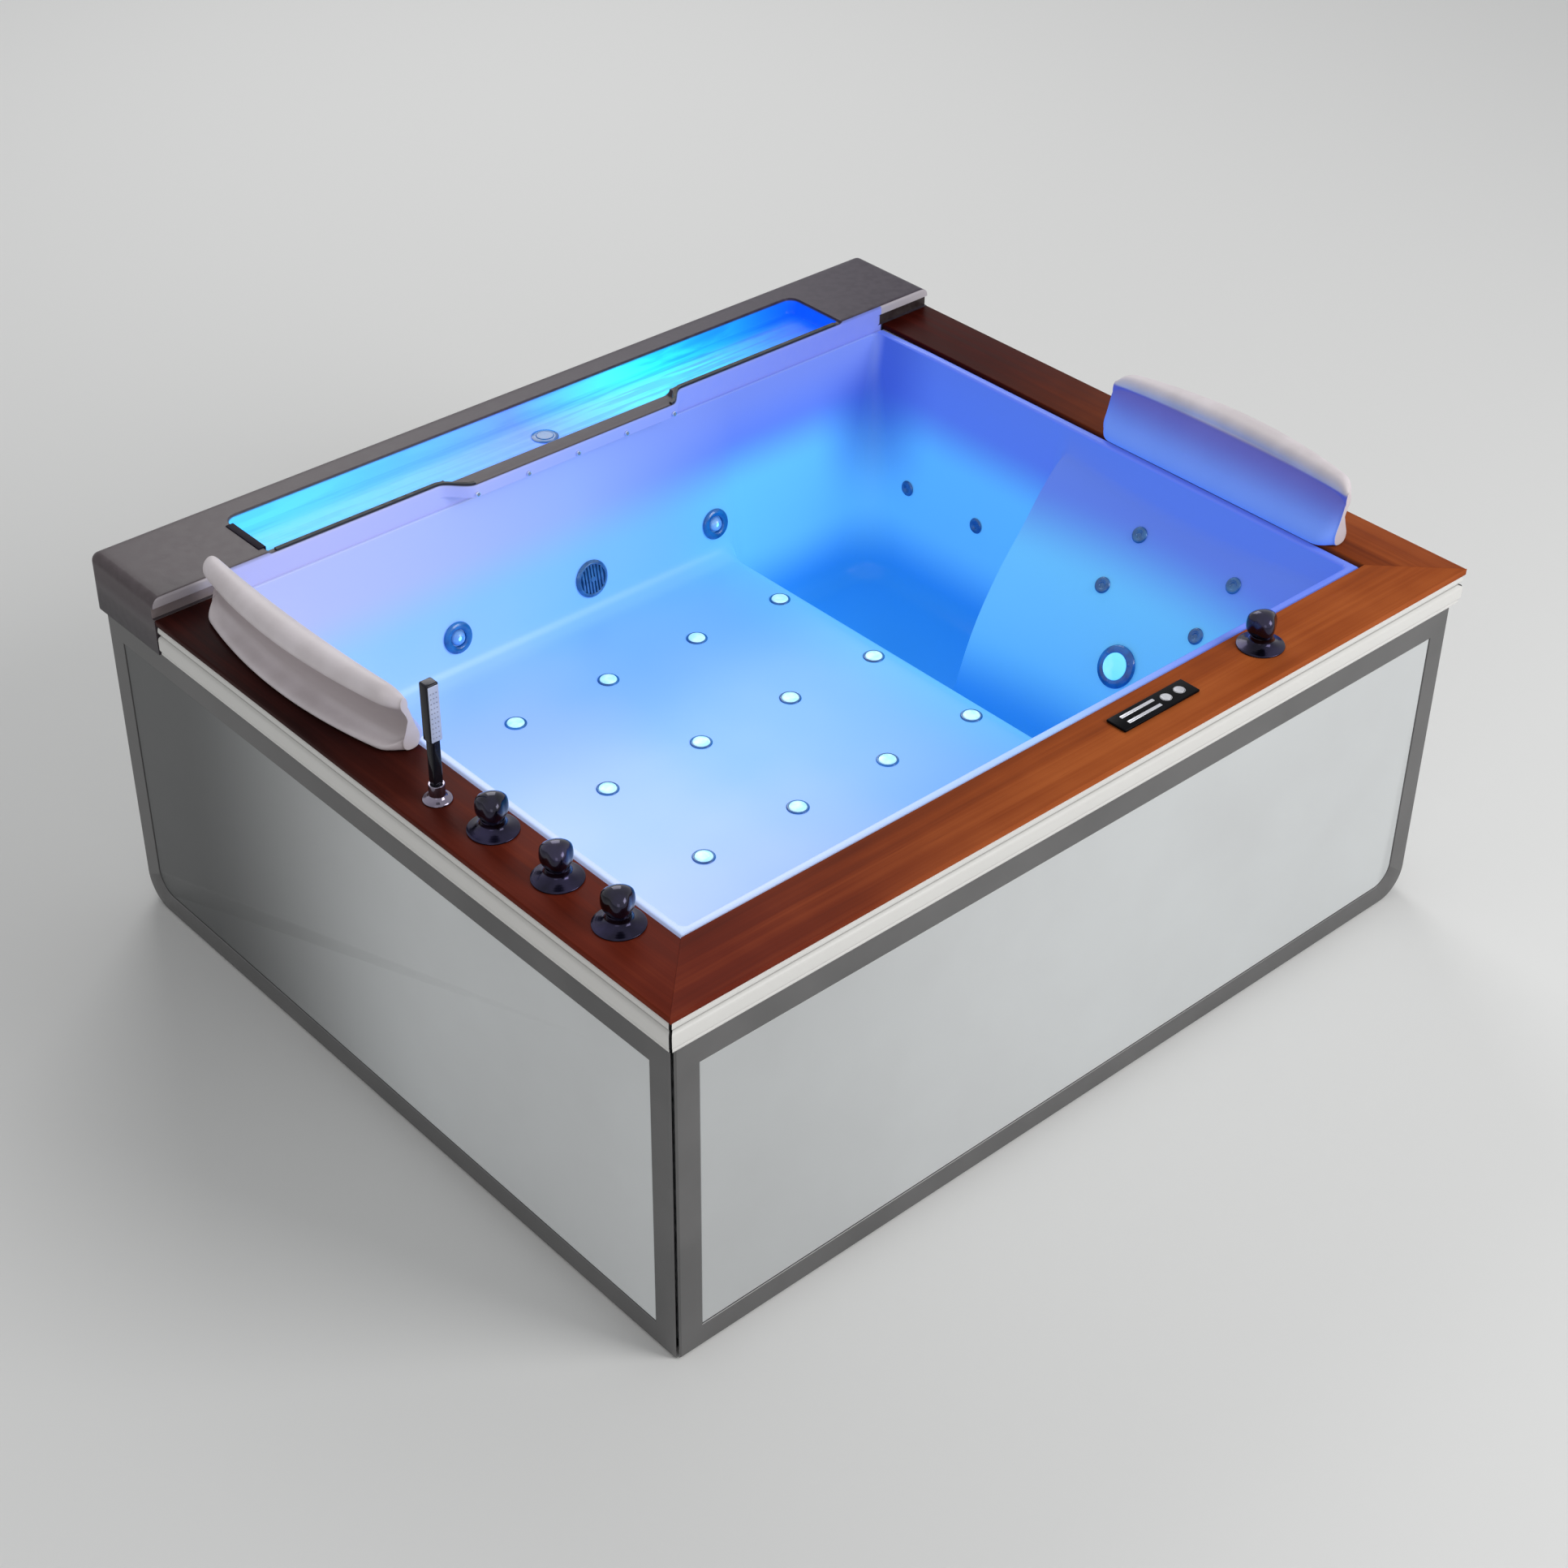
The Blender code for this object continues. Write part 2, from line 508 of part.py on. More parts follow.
def all_seats(tree):
    """Every wall and floor fitting's place."""
    high = DECK_TOP
    seats = {"ring": [seat(tree, (x, MIDDLE_Y, RING_Z), (0, 1, 0)) for x in RING_X]}
    seats["grille"] = [seat(tree, (GRILLE_X, MIDDLE_Y, RING_Z), (0, 1, 0))]
    seats["foot"] = [seat(tree, (0, y, FOOT_JET_Z), (1, 0, 0)) for y in FOOT_JET_Y]
    seats["right"] = [seat(tree, (0, y, z), (1, 0, 0)) for y, z in BACK_JETS]
    seats["left"] = [turned_half_round(place) for place in seats["right"]]
    seats["light"] = [seat(tree, (STEP_X, LIGHT_Y, LIGHT_Z), (1, 0, 0), LIGHT_LIFT)]
    seats["air"] = [Matrix.Translation((x, y, PLATFORM_Z + GAP)) for y in AIR_ROWS for x in AIR_COLUMNS]
    seats["drain"] = [seat(tree, (DRAIN_X, DRAIN_Y, high), (0, 0, -1))]
    return seats


def deck_holes():
    """The upright holes through the flange and the boards: valves, air valve and hand shower."""
    left = [(VALVE_INSET - HALF_X, y) for y in VALVE_Y] + [(SHOWER_INSET - HALF_X, SHOWER_Y)]
    return left + [(AIR_X, AIR_INSET - HALF_Y)]


def drill(part, places, radius, depth, sides=12):
    """Bores a row of holes, each along its place's Z, past the wall on both sides."""
    bm = bmesh.new()
    radius /= math.cos(math.pi / sides)
    for place in places:
        rod(bm, place @ Vector((0, 0, OVERRUN)), place @ Vector((0, 0, -depth)), radius, sides)
    combine(part, guide(part.name + "_bores", bm), "DIFFERENCE")


def make_basin(surface, seats, acrylic):
    basin = add("tub_shell", surface, acrylic, closed=False)
    thick = basin.modifiers.new("wall", "SOLIDIFY")
    thick.thickness = SHELL_WALL
    thick.offset = -1
    thick.use_even_offset = True
    flatten = basin.modifiers.new("flatten", "DECIMATE")
    flatten.decimate_type = "DISSOLVE"
    flatten.angle_limit = FLAT_ANGLE
    flatten.use_dissolve_boundaries = True
    basin.modifiers.new("triangles", "TRIANGULATE")
    behind = bmesh.new()
    end = HALF_X + OVERRUN
    block(behind, (-end, BACK_WALL, FOOTWELL_Z), (end, FALL_FRONT + OVERRUN, FALL_TOP))
    combine(basin, guide("behind_back_edge", behind), "DIFFERENCE")
    uprights = [Matrix.Translation((x, y, FLANGE_Z)) for x, y in deck_holes()]
    deep = OVERRUN + SHELL_WALL
    drill(basin, uprights, STEM_RADIUS + HOLE_PLAY, deep)
    drill(basin, seats["ring"], RING_BODY + HOLE_PLAY, deep, 14)
    drill(basin, seats["grille"], GRILLE_BODY + HOLE_PLAY, deep, 14)
    drill(basin, seats["foot"] + seats["right"] + seats["left"], SMALL_BODY + HOLE_PLAY, deep, 8)
    drill(basin, seats["light"], LIGHT_BODY + HOLE_PLAY, deep, 14)
    drill(basin, seats["air"], CAP_STEM + HOLE_PLAY, deep, 8)
    drill(basin, seats["drain"], DRAIN_BODY + HOLE_PLAY, deep, 14)
    return basin


# Waterfall deck


def spout_line(x):
    """How far the front of the deck comes forward over the basin."""
    away = abs(x - SPOUT_CENTRE) - (SPOUT_HALF - SPOUT_CURVE / 2)
    return SPOUT_REACH * smooth_step(1 - away / SPOUT_CURVE)


def spout_outline(front, back, past=0):
    """The plan of the spout between two distances from the deck's front, with its S-shaped shoulders."""
    half = SPOUT_HALF + SPOUT_CURVE / 2 + past
    steps = 7
    lefts = [SPOUT_CENTRE - half + (SPOUT_CURVE + past) * step / steps for step in range(steps + 1)]
    rights = [2 * SPOUT_CENTRE - x for x in reversed(lefts)]
    points = [(x, FALL_FRONT - spout_line(x) + front) for x in lefts + rights]
    return points + [(points[-1][0], FALL_FRONT + back), (points[0][0], FALL_FRONT + back)]


def trough_outline():
    """The plan of the trough behind the dam."""
    half, back = TROUGH_HALF, HALF_Y - TROUGH_BACK
    front = FALL_FRONT + DAM_THICK
    points = arc((half - TROUGH_CORNER, back - TROUGH_CORNER), TROUGH_CORNER, 0, 90, 4)
    points += [(-x, y) for x, y in reversed(points)]
    return points + [(-half, front), (half, front)]


def make_waterfall_deck(acrylic):
    bm = bmesh.new()
    block(bm, (-HALF_X, FALL_FRONT, FALL_TOP - FALL_SKIRT), (HALF_X, HALF_Y, FALL_TOP))
    top = [edge for edge in bm.edges if all(vert.co.z > DECK_TOP for vert in edge.verts)]
    rear = HALF_Y - GAP
    outer = [edge for edge in top if any(vert.co.y > rear for vert in edge.verts)]
    upright = [edge for edge in bm.edges if all(vert.co.y > rear for vert in edge.verts)
               and edge.verts[0].co.z != edge.verts[1].co.z]
    bmesh.ops.bevel(bm, geom=outer + upright, offset=FALL_ROUND, segments=4, profile=0.5, affect="EDGES")
    deck = add("waterfall_deck", bm, acrylic)
    lip = FALL_TOP - DAM_DROP
    spout = outline_solid(spout_outline(0, DAM_THICK), lip - SPOUT_DEEP, lip)
    combine(deck, guide("spout", spout), "UNION")
    trough = outline_solid(trough_outline(), FALL_TOP - TROUGH_DEPTH, FALL_TOP + OVERRUN)
    combine(deck, guide("trough", trough), "DIFFERENCE")
    dam = bmesh.new()
    half = TROUGH_HALF
    reach = SPOUT_REACH + OVERRUN
    block(dam, (-half, FALL_FRONT - reach, lip), (half, FALL_FRONT + 2 * DAM_THICK, FALL_TOP + OVERRUN))
    combine(deck, guide("dam", dam), "DIFFERENCE")
    pool = outline_solid(spout_outline(DAM_THICK, 2 * DAM_THICK), lip - SPOUT_DROP, FALL_TOP)
    combine(deck, guide("spout_pool", pool), "DIFFERENCE")
    hollow = bmesh.new()
    end, front = HALF_X - FALL_WALL, FALL_FRONT + FALL_WALL
    below = FALL_TOP - FALL_SKIRT - OVERRUN
    ceiling = FALL_TOP - FALL_WALL
    inner_back = HALF_Y - FALL_WALL
    block(hollow, (-end, front, below), (end, inner_back, ceiling - TROUGH_DEPTH))
    combine(deck, guide("hollow", hollow), "DIFFERENCE")
    for side in (-1, 1):
        room = bmesh.new()
        near, far = half + FALL_SLOT_DEEP + FALL_WALL, end - FALL_ROUND / 2
        low_x, high_x = sorted((side * near, side * far))
        block(room, (low_x, front + FALL_WALL, below), (high_x, inner_back - FALL_ROUND / 2, ceiling))
        combine(deck, guide("end_room", room), "DIFFERENCE")
        notch = bmesh.new()
        low_x, high_x = sorted((side * (HALF_X - SKIRT_INSET - BAND_THICK - SKIRT_CLEAR), side * end))
        block(notch, (low_x, FALL_FRONT - OVERRUN, below),
              (high_x, front + OVERRUN, LIP_FOOT + SKIRT_TUCK + SKIRT_CLEAR))
        combine(deck, guide("skirt_notch", notch), "DIFFERENCE")
        groove = bmesh.new()
        low_x, high_x = sorted((side * (WALL_X + BEAD_WIDTH), side * (HALF_X + OVERRUN)))
        block(groove, (low_x, FALL_FRONT - OVERRUN, FALL_TOP - GROOVE_UP),
              (high_x, FALL_FRONT + GROOVE_DEEP, FALL_TOP - GROOVE_UP + GROOVE_HIGH))
        combine(deck, guide("groove", groove), "DIFFERENCE")
    slot = bmesh.new()
    middle, level = HALF_Y - TROUGH_BACK - INLET_FORWARD / 2, FALL_TOP - TROUGH_DEPTH * 0.45
    block(slot, (-half - FALL_SLOT_DEEP, middle - FALL_SLOT_LONG / 2, level - FALL_SLOT_HIGH / 2),
          (OVERRUN - half, middle + FALL_SLOT_LONG / 2, level + FALL_SLOT_HIGH / 2))
    combine(deck, guide("end_slot", slot), "DIFFERENCE")
    bores = bmesh.new()
    low, high = nozzle_bar()
    for step in range(NOZZLE_COUNT):
        place = nozzle_place(step)
        rod(bores, place - Vector((0, OVERRUN, 0)), (place.x, (low.y + high.y) / 2, place.z),
            NOZZLE_RADIUS + HOLE_PLAY, 8)
    combine(deck, guide("nozzle_bores", bores), "DIFFERENCE")
    play = Vector((GAP, GAP, GAP))
    slot = bmesh.new()
    block(slot, low - play - Vector((0, 0, OVERRUN + SPOUT_DEEP)), high + play)
    combine(deck, guide("nozzle_slot", slot), "DIFFERENCE")
    drill(deck, [Matrix.Translation(inlet_place())], INLET_TAIL_RADIUS + HOLE_PLAY, OVERRUN + FALL_WALL, 12)
    return deck


def nozzle_place(step):
    """On the spout's front face, low enough to leave a floor under the pool behind the lip."""
    x = SPOUT_CENTRE + NOZZLE_PITCH * (step - (NOZZLE_COUNT - 1) / 2)
    return Vector((x, FALL_FRONT - spout_line(x), FALL_TOP - DAM_DROP - SPOUT_DEEP + NOZZLE_UP))


def nozzle_bar():
    """The two far corners of the bar that feeds the five nozzles, let into the spout from below."""
    middle = nozzle_place(NOZZLE_COUNT // 2)
    reach = NOZZLE_PITCH * (NOZZLE_COUNT - 1) / 2 + NOZZLE_BAR
    behind = middle.y + NOZZLE_BAR
    half = NOZZLE_RADIUS + GAP
    return (Vector((middle.x - reach, behind, middle.z - half)),
            Vector((middle.x + reach, behind + NOZZLE_BAR, middle.z + half)))


def inlet_place():
    return Vector((SPOUT_CENTRE, HALF_Y - TROUGH_BACK - INLET_FORWARD, FALL_TOP - TROUGH_DEPTH + GAP))


def make_fall_fittings(finishes):
    low, high = nozzle_bar()
    bar = block_part("spout_nozzles", low, high, finishes["lens"])
    for step in range(NOZZLE_COUNT):
        place = nozzle_place(step)
        bm = bmesh.new()
        rod(bm, place - Vector((0, NOZZLE_OUT, 0)), (place.x, (low.y + high.y) / 2, place.z), NOZZLE_RADIUS, 8)
        combine(bar, guide(f"nozzle_{step + 1}", bm), "UNION")
    inlet = (
        (0, INLET_HIGH), (INLET_RADIUS * 0.6, INLET_HIGH), (INLET_RADIUS, INLET_HIGH / 3), (INLET_RADIUS, 0),
        (INLET_TAIL_RADIUS, 0), (INLET_TAIL_RADIUS, -INLET_TAIL), (0, -INLET_TAIL),
    )
    add("trough_inlet", turned(inlet, 14), finishes["blue"], inlet_place())
    half = TROUGH_HALF
    for side, name in ((-1, "weir_strip_left"), (1, "weir_strip_right")):
        inner = SPOUT_CENTRE + side * (SPOUT_HALF - SPOUT_CURVE / 2)
        outer = side * (half - STRIP_END)
        curve_end = SPOUT_CENTRE + side * (SPOUT_HALF + SPOUT_CURVE / 2)
        xs = [inner + (curve_end - inner) * step / 6 for step in range(7)]
        xs += [curve_end + (outer - curve_end) * step / 2 for step in (1, 2)]
        front = [(x, FALL_FRONT - spout_line(x) + DAM_THICK / 4) for x in xs]
        back = [(x, y + STRIP_WIDE) for x, y in reversed(front)]
        low = FALL_TOP - DAM_DROP + GAP
        add(name, outline_solid(front + back, low, low + STRIP_HIGH), finishes["black"])


# Deck boards


def make_boards(wood):
    edge, back = HALF_X - WOOD_WIDTH, FALL_FRONT - GAP
    front, inner = -HALF_Y, WOOD_WIDTH - HALF_Y
    low, high = FLANGE_Z + GAP, DECK_TOP
    seam = GAP / 2
    left = ((-HALF_X, front + seam), (-edge - seam, inner), (-edge - seam, back), (-HALF_X, back))
    right = tuple((-x, y) for x, y in reversed(left))
    middle = ((-HALF_X + seam, front), (HALF_X - seam, front), (edge - seam, inner), (seam - edge, inner))
    outlines = {"deck_board_left": left, "deck_board_right": right, "deck_board_front": middle}
    boards = {}
    for name, outline in outlines.items():
        boards[name] = add(name, outline_solid(outline, low, high), wood)
        soften(boards[name], WOOD_ROUND)
    for x, y in deck_holes():
        board = boards["deck_board_front" if x > 0 else "deck_board_left"]
        place = Matrix.Translation((x, y, DECK_TOP))
        drill(board, [place], STEM_RADIUS + HOLE_PLAY, OVERRUN + WOOD_THICK)
    x, y = panel_centre()
    half_long, half_wide = PANEL_LONG / 2 - PLATE_HIGH, PANEL_WIDE / 2 - PLATE_HIGH
    pocket = bmesh.new()
    block(pocket, (x - half_long - GAP, y - half_wide - GAP, DECK_TOP - PLATE_SUNK - GAP),
          (x + half_long + GAP, y + half_wide + GAP, DECK_TOP + OVERRUN))
    combine(boards["deck_board_front"], guide("panel_pocket", pocket), "DIFFERENCE")


# Skirts


def skirt_loop(long, low, high, radius_left, radius_right, depth):
    """A skirt outline in its own plane, with its two lower corners rounded where a radius is given."""
    half = long / 2
    points = [(-half, high)]
    if radius_left:
        points += arc((-half + radius_left, low + radius_left), radius_left, 180, 270, 5)
    else:
        points += [(-half, low)]
    if radius_right:
        points += arc((half - radius_right, low + radius_right), radius_right, 270, 360, 5)
    else:
        points += [(half, low)]
    points += [(half, high)]
    return [(x, depth, z) for x, z in points]


def make_skirt(side, long, turn, distance, round_left, round_right, finishes):
    """A frame with a bevelled outer edge and a ledge behind its opening, and the panel on the ledge."""
    low, high = SKIRT_CLEAR, LIP_FOOT + SKIRT_TUCK
    outer = long - 2 * BAND_JOINT
    inner = outer - 2 * BAND_SIDE
    ledge = inner - 2 * BAND_LEDGE
    sill, head = low + BAND_FOOT, LIP_FOOT - BAND_TOP
    corner = [BAND_CORNER * flag for flag in (round_left, round_right)]
    tight = [max(radius - BAND_BEVEL, 0) for radius in corner]
    inside = [radius * 2 / 3 for radius in corner]
    narrow = [max(radius - BAND_LEDGE, 0) for radius in inside]
    seat_depth = PANEL_SET + PANEL_THICK + GAP
    loops = [
        skirt_loop(outer, low, high, *corner, BAND_BEVEL),
        skirt_loop(outer - 2 * BAND_BEVEL, low + BAND_BEVEL, high - BAND_BEVEL, *tight, 0),
        skirt_loop(inner, sill, head, *inside, 0),
        skirt_loop(inner, sill, head, *inside, seat_depth),
        skirt_loop(ledge, sill + BAND_LEDGE, head - BAND_LEDGE, *narrow, seat_depth),
        skirt_loop(ledge, sill + BAND_LEDGE, head - BAND_LEDGE, *narrow, BAND_THICK),
        skirt_loop(outer - 2 * BAND_THICK, low, high, *corner, BAND_THICK),
    ]
    place = Matrix.Rotation(turn, 4, "Z") @ Matrix.Translation((0, -distance, 0))
    add(f"{side}_skirt_frame", loft(loops, ring=True), finishes["aluminium"], place)
    plate = [skirt_loop(inner - 2 * GAP, sill + GAP, head - GAP, *inside, depth)
             for depth in (PANEL_SET, PANEL_SET + PANEL_THICK)]
    add(f"{side}_panel", loft(plate), finishes["panel"], place)


def make_skirts(finishes):
    long, wide = LENGTH - 2 * SKIRT_INSET, WIDTH - 2 * SKIRT_INSET
    quarter = math.pi / 2
    make_skirt("front", long, 0, wide / 2, 0, 1, finishes)
    make_skirt("right", wide, quarter, long / 2, 1, 1, finishes)
    make_skirt("rear", long, 2 * quarter, wide / 2, 1, 1, finishes)
    make_skirt("left", wide, -quarter, long / 2, 1, 0, finishes)


# Steel cradle


def make_cradle(steel):
    """Square tube welded up: floor rails, top rails, posts under the rim and legs under the basin."""
    x, y, z = CRADLE_X, CRADLE_Y, FLOOR_RAIL_Z
    t = TUBE
    rim = FLANGE_Z - SHELL_WALL - GAP
    top = TOP_RAIL_Z
    ceiling = FALL_TOP - FALL_WALL - GAP
    bars = []
    for low in (z, top - t):
        bars += [((-x, -y, low), (x, t - y, low + t)), ((-x, y - t, low), (x, y, low + t))]
        bars += [((-x, -y, low), (t - x, y, low + t)), ((x - t, -y, low), (x, y, low + t))]
    bars += [((-x, FALL_FRONT, top - t), (x, FALL_FRONT + t, top))]
    posts = [(-x, -y, rim), (x - t, -y, rim), (-t / 2, -y, rim), (-x, -t / 2, rim), (x - t, -t / 2, rim)]
    posts += [(-x, y - t, ceiling), (x - t, y - t, ceiling)]
    bars += [((left, front, z), (left + t, front + t, high)) for left, front, high in posts]
    for spot in LEG_X:
        under = (FOOTWELL_Z if spot > STEP_X else PLATFORM_Z) - SHELL_WALL - GAP
        bars += [((spot - t / 2, -y, z), (spot + t / 2, y, z + t))]
        bars += [((spot - t / 2, leg, z), (spot + t / 2, leg + t, under)) for leg in LEG_Y]
    for spot in DECK_X:
        bars += [((spot - t / 2, -y, z), (spot + t / 2, y, z + t))]
    add("steel_cradle", welded(bars), steel)


def make_feet(rubber):
    stem = FLOOR_RAIL_Z - GAP
    profile = (
        (0, 0), (FOOT_RADIUS, 0), (FOOT_RADIUS, FOOT_PAD / 2), (FOOT_STEM, FOOT_PAD), (FOOT_STEM, stem), (0, stem),
    )
    inward = TUBE / 2 + FOOT_SIDEWAYS
    x, y = CRADLE_X - inward, CRADLE_Y - inward
    spots = ((-x, -y), (x, -y), (-x, y), (x, y))
    for number, spot in enumerate(spots, 1):
        add(f"levelling_foot_{number}", turned(profile, 12), rubber, (*spot, 0))


# Valves, knobs, hand shower


def valve_profile():
    """From the spindle's tip down the flared base, through the boards and the flange to the valve body."""
    top = DECK_TOP + GAP
    under = FLANGE_Z - SHELL_WALL - GAP
    neck = top + FLARE_HIGH
    foot = under - VALVE_BODY_LONG
    return (
        (0, neck + SPINDLE_UP), (SPINDLE_RADIUS, neck + SPINDLE_UP), (SPINDLE_RADIUS, neck), (NECK_RADIUS, neck),
        (NECK_RADIUS, neck - FLARE_HIGH * 0.35), (FLARE_RADIUS * 0.66, top + FLARE_HIGH * 0.28),
        (FLARE_RADIUS, top + FLARE_HIGH * 0.10), (FLARE_RADIUS, top), (STEM_RADIUS, top), (STEM_RADIUS, under),
        (VALVE_BODY_RADIUS, under), (VALVE_BODY_RADIUS, foot), (0, foot),
    )


def knob_solid():
    """A domed knob with three soft lobes and a bore for its spindle."""
    steps = 18
    heights = ((0, 0.80), (0.16, 0.96), (0.45, 1.00), (0.72, 0.92), (0.90, 0.66), (1.00, 0.30))
    loops = []
    for height, share in heights:
        loop = []
        for step in range(steps):
            turn = math.tau * step / steps
            radius = KNOB_RADIUS * share + KNOB_LOBE * share * math.cos(KNOB_LOBES * turn)
            loop.append((radius * math.cos(turn), radius * math.sin(turn), KNOB_HIGH * height))
        loops.append(loop)
    return loft(loops)


def make_knob(name, x, y, finishes):
    foot = DECK_TOP + GAP + FLARE_HIGH + KNOB_LIFT
    knob = add(name, knob_solid(), finishes["dark"], (x, y, foot), sharp=50)
    bore = bmesh.new()
    rod(bore, (x, y, foot - OVERRUN), (x, y, foot + SPINDLE_UP), SPINDLE_RADIUS + BORE_PLAY, 12)
    combine(knob, guide(name + "_bore", bore), "DIFFERENCE")
    return knob


def make_valves(finishes):
    names = ("hot", "cold", "diverter")
    for name, y in zip(names, VALVE_Y):
        x = VALVE_INSET - HALF_X
        add(f"{name}_valve", turned(valve_profile(), 16), finishes["dark"], (x, y, 0))
        make_knob(f"{name}_knob", x, y, finishes)
    y = AIR_INSET - HALF_Y
    add("air_valve", turned(valve_profile(), 16), finishes["dark"], (AIR_X, y, 0))
    make_knob("air_knob", AIR_X, y, finishes)


def make_hand_shower(finishes):
    """A bar handset whose round foot stands in a holder on the left board."""
    x, y = SHOWER_INSET - HALF_X, SHOWER_Y
    top, under = DECK_TOP + GAP, FLANGE_Z - SHELL_WALL - GAP
    bore = BAR_STEM + BORE_PLAY
    floor = top + HOLDER_HIGH - HOLDER_DEEP
    brim, low = top + HOLDER_HIGH, under - VALVE_BODY_LONG / 2
    profile = (
        (0, floor), (bore, floor), (bore, brim), (HOLDER_SLEEVE, brim), (HOLDER_SLEEVE, top + HOLDER_HIGH * 0.3),
        (HOLDER_RADIUS, top + HOLDER_HIGH * 0.12), (HOLDER_RADIUS, top), (STEM_RADIUS, top), (STEM_RADIUS, under),
        (VALVE_BODY_RADIUS, under), (VALVE_BODY_RADIUS, low), (0, low),
    )
    add("shower_holder", turned(profile, 16), finishes["chrome"], (x, y, 0))
    foot = floor + GAP
    shoulder = brim + KNOB_LIFT
    head = shoulder + BAR_GRIP
    sections = (
        (shoulder, GRIP_WIDE, GRIP_THICK), (head, GRIP_WIDE, GRIP_THICK),
        (head + BAR_ROUND, BAR_WIDE, BAR_THICK), (head + BAR_HEAD, BAR_WIDE, BAR_THICK),
    )
    corners = ((-1, -1), (1, -1), (1, 1), (-1, 1))
    loops = [[(wide / 2 * x_side, thick / 2 * y_side, z) for x_side, y_side in corners]
             for z, wide, thick in sections]
    place = Matrix.Translation((x, y, 0)) @ Matrix.Rotation(BAR_TURN, 4, "Z")
    bar = add("hand_shower", loft(loops), finishes["chrome"], place)
    soften(bar, BAR_ROUND, 2)
    stem = bmesh.new()
    rod(stem, (0, 0, foot), (0, 0, shoulder + BAR_ROUND), BAR_STEM, 12)
    peg = guide("shower_foot", stem)
    peg.matrix_world = place
    combine(bar, peg, "UNION")


# Control panel


def panel_centre():
    return PANEL_X, PANEL_INSET - HALF_Y


def key_places():
    """Name, centre and half sizes of each key, None for the half width of a round one."""
    x, y = panel_centre()
    keys = []
    for name, side in (("air_key", 1), ("jet_key", -1)):
        keys.append((name, (x + BAR_KEY_X, y + side * BAR_KEY_Y), BAR_KEY_LONG / 2, BAR_KEY_WIDE / 2))
    for name, offset in zip(("light_key", "power_key"), ROUND_KEY_X):
        keys.append((name, (x + offset, y), ROUND_KEY_RADIUS, None))
    return keys


def key_body(bm, centre, half, wide, low, high, grow=0):
    x, y = centre
    if wide is None:
        rod(bm, (x, y, low), (x, y, high), half + grow, 14)
        return
    block(bm, (x - half - grow, y - wide - grow, low), (x + half + grow, y + wide + grow, high))


def make_control_panel(finishes):
    x, y = panel_centre()
    half_long, half_wide = PANEL_LONG / 2, PANEL_WIDE / 2
    plate_top = DECK_TOP + GAP + PLATE_HIGH
    plate = block_part("control_panel", (x - half_long, y - half_wide, DECK_TOP + GAP),
                       (x + half_long, y + half_wide, plate_top), finishes["black"], PLATE_ROUND)
    body = bmesh.new()
    step = PLATE_HIGH
    block(body, (x - half_long + step, y - half_wide + step, DECK_TOP - PLATE_SUNK),
          (x + half_long - step, y + half_wide - step, DECK_TOP + PLATE_HIGH / 2))
    combine(plate, guide("panel_body", body), "UNION")
    wells = bmesh.new()
    floor = plate_top + KEY_PROUD - KEY_DEEP - KEY_TRAVEL - GAP
    for _, centre, half, wide in key_places():
        key_body(wells, centre, half, wide, floor, plate_top + OVERRUN, KEY_PLAY)
    combine(plate, guide("key_wells", wells), "DIFFERENCE")
    for name, centre, half, wide in key_places():
        bm = bmesh.new()
        key_body(bm, (0, 0), half, wide, -KEY_DEEP, 0)
        add(name, bm, finishes["silver"], (*centre, plate_top + KEY_PROUD))


# Headrests


def make_headrests(foam):
    """A soft rest with a rolled top edge, a hollow front and a foot on the board, arched outward in plan."""
    loops = []
    for station in range(REST_STATIONS + 1):
        along = -math.cos(math.pi * station / REST_STATIONS)
        squeeze = 1 - REST_TAPER_SHARE * along ** 2
        close = max(abs(along) - 1 + REST_END_SHARE, 0) / REST_END_SHARE
        close = math.sqrt(max(1 - close ** 2, 0.25))
        tall = REST_TALL * (1 - REST_DROP_SHARE * along ** 2)
        middle = REST_DEEP * 0.30 * squeeze
        loop = []
        for out, up in REST_SHARES:
            reach = REST_DEEP * out * (squeeze if out > 0 else 1)
            reach = middle + (reach - middle) * close
            height = tall * (0.5 + (up - 0.5) * (0.5 + close / 2)) if up > 0 else 0
            loop.append((HALF_X - WOOD_WIDTH + reach, REST_LONG / 2 * along, DECK_TOP + REST_LIFT + height))
        loops.append(loop)
    for name, side in (("headrest_right", 1), ("headrest_left", -1)):
        y = REST_MIDDLE if side > 0 else 2 * MIDDLE_Y - REST_MIDDLE + REST_BACK
        place = Matrix.Translation((0, y, 0)) @ Matrix.Rotation(0 if side > 0 else math.pi, 4, "Z")
        add(name, loft(loops), foam, place, sharp=80)


# Wall fittings


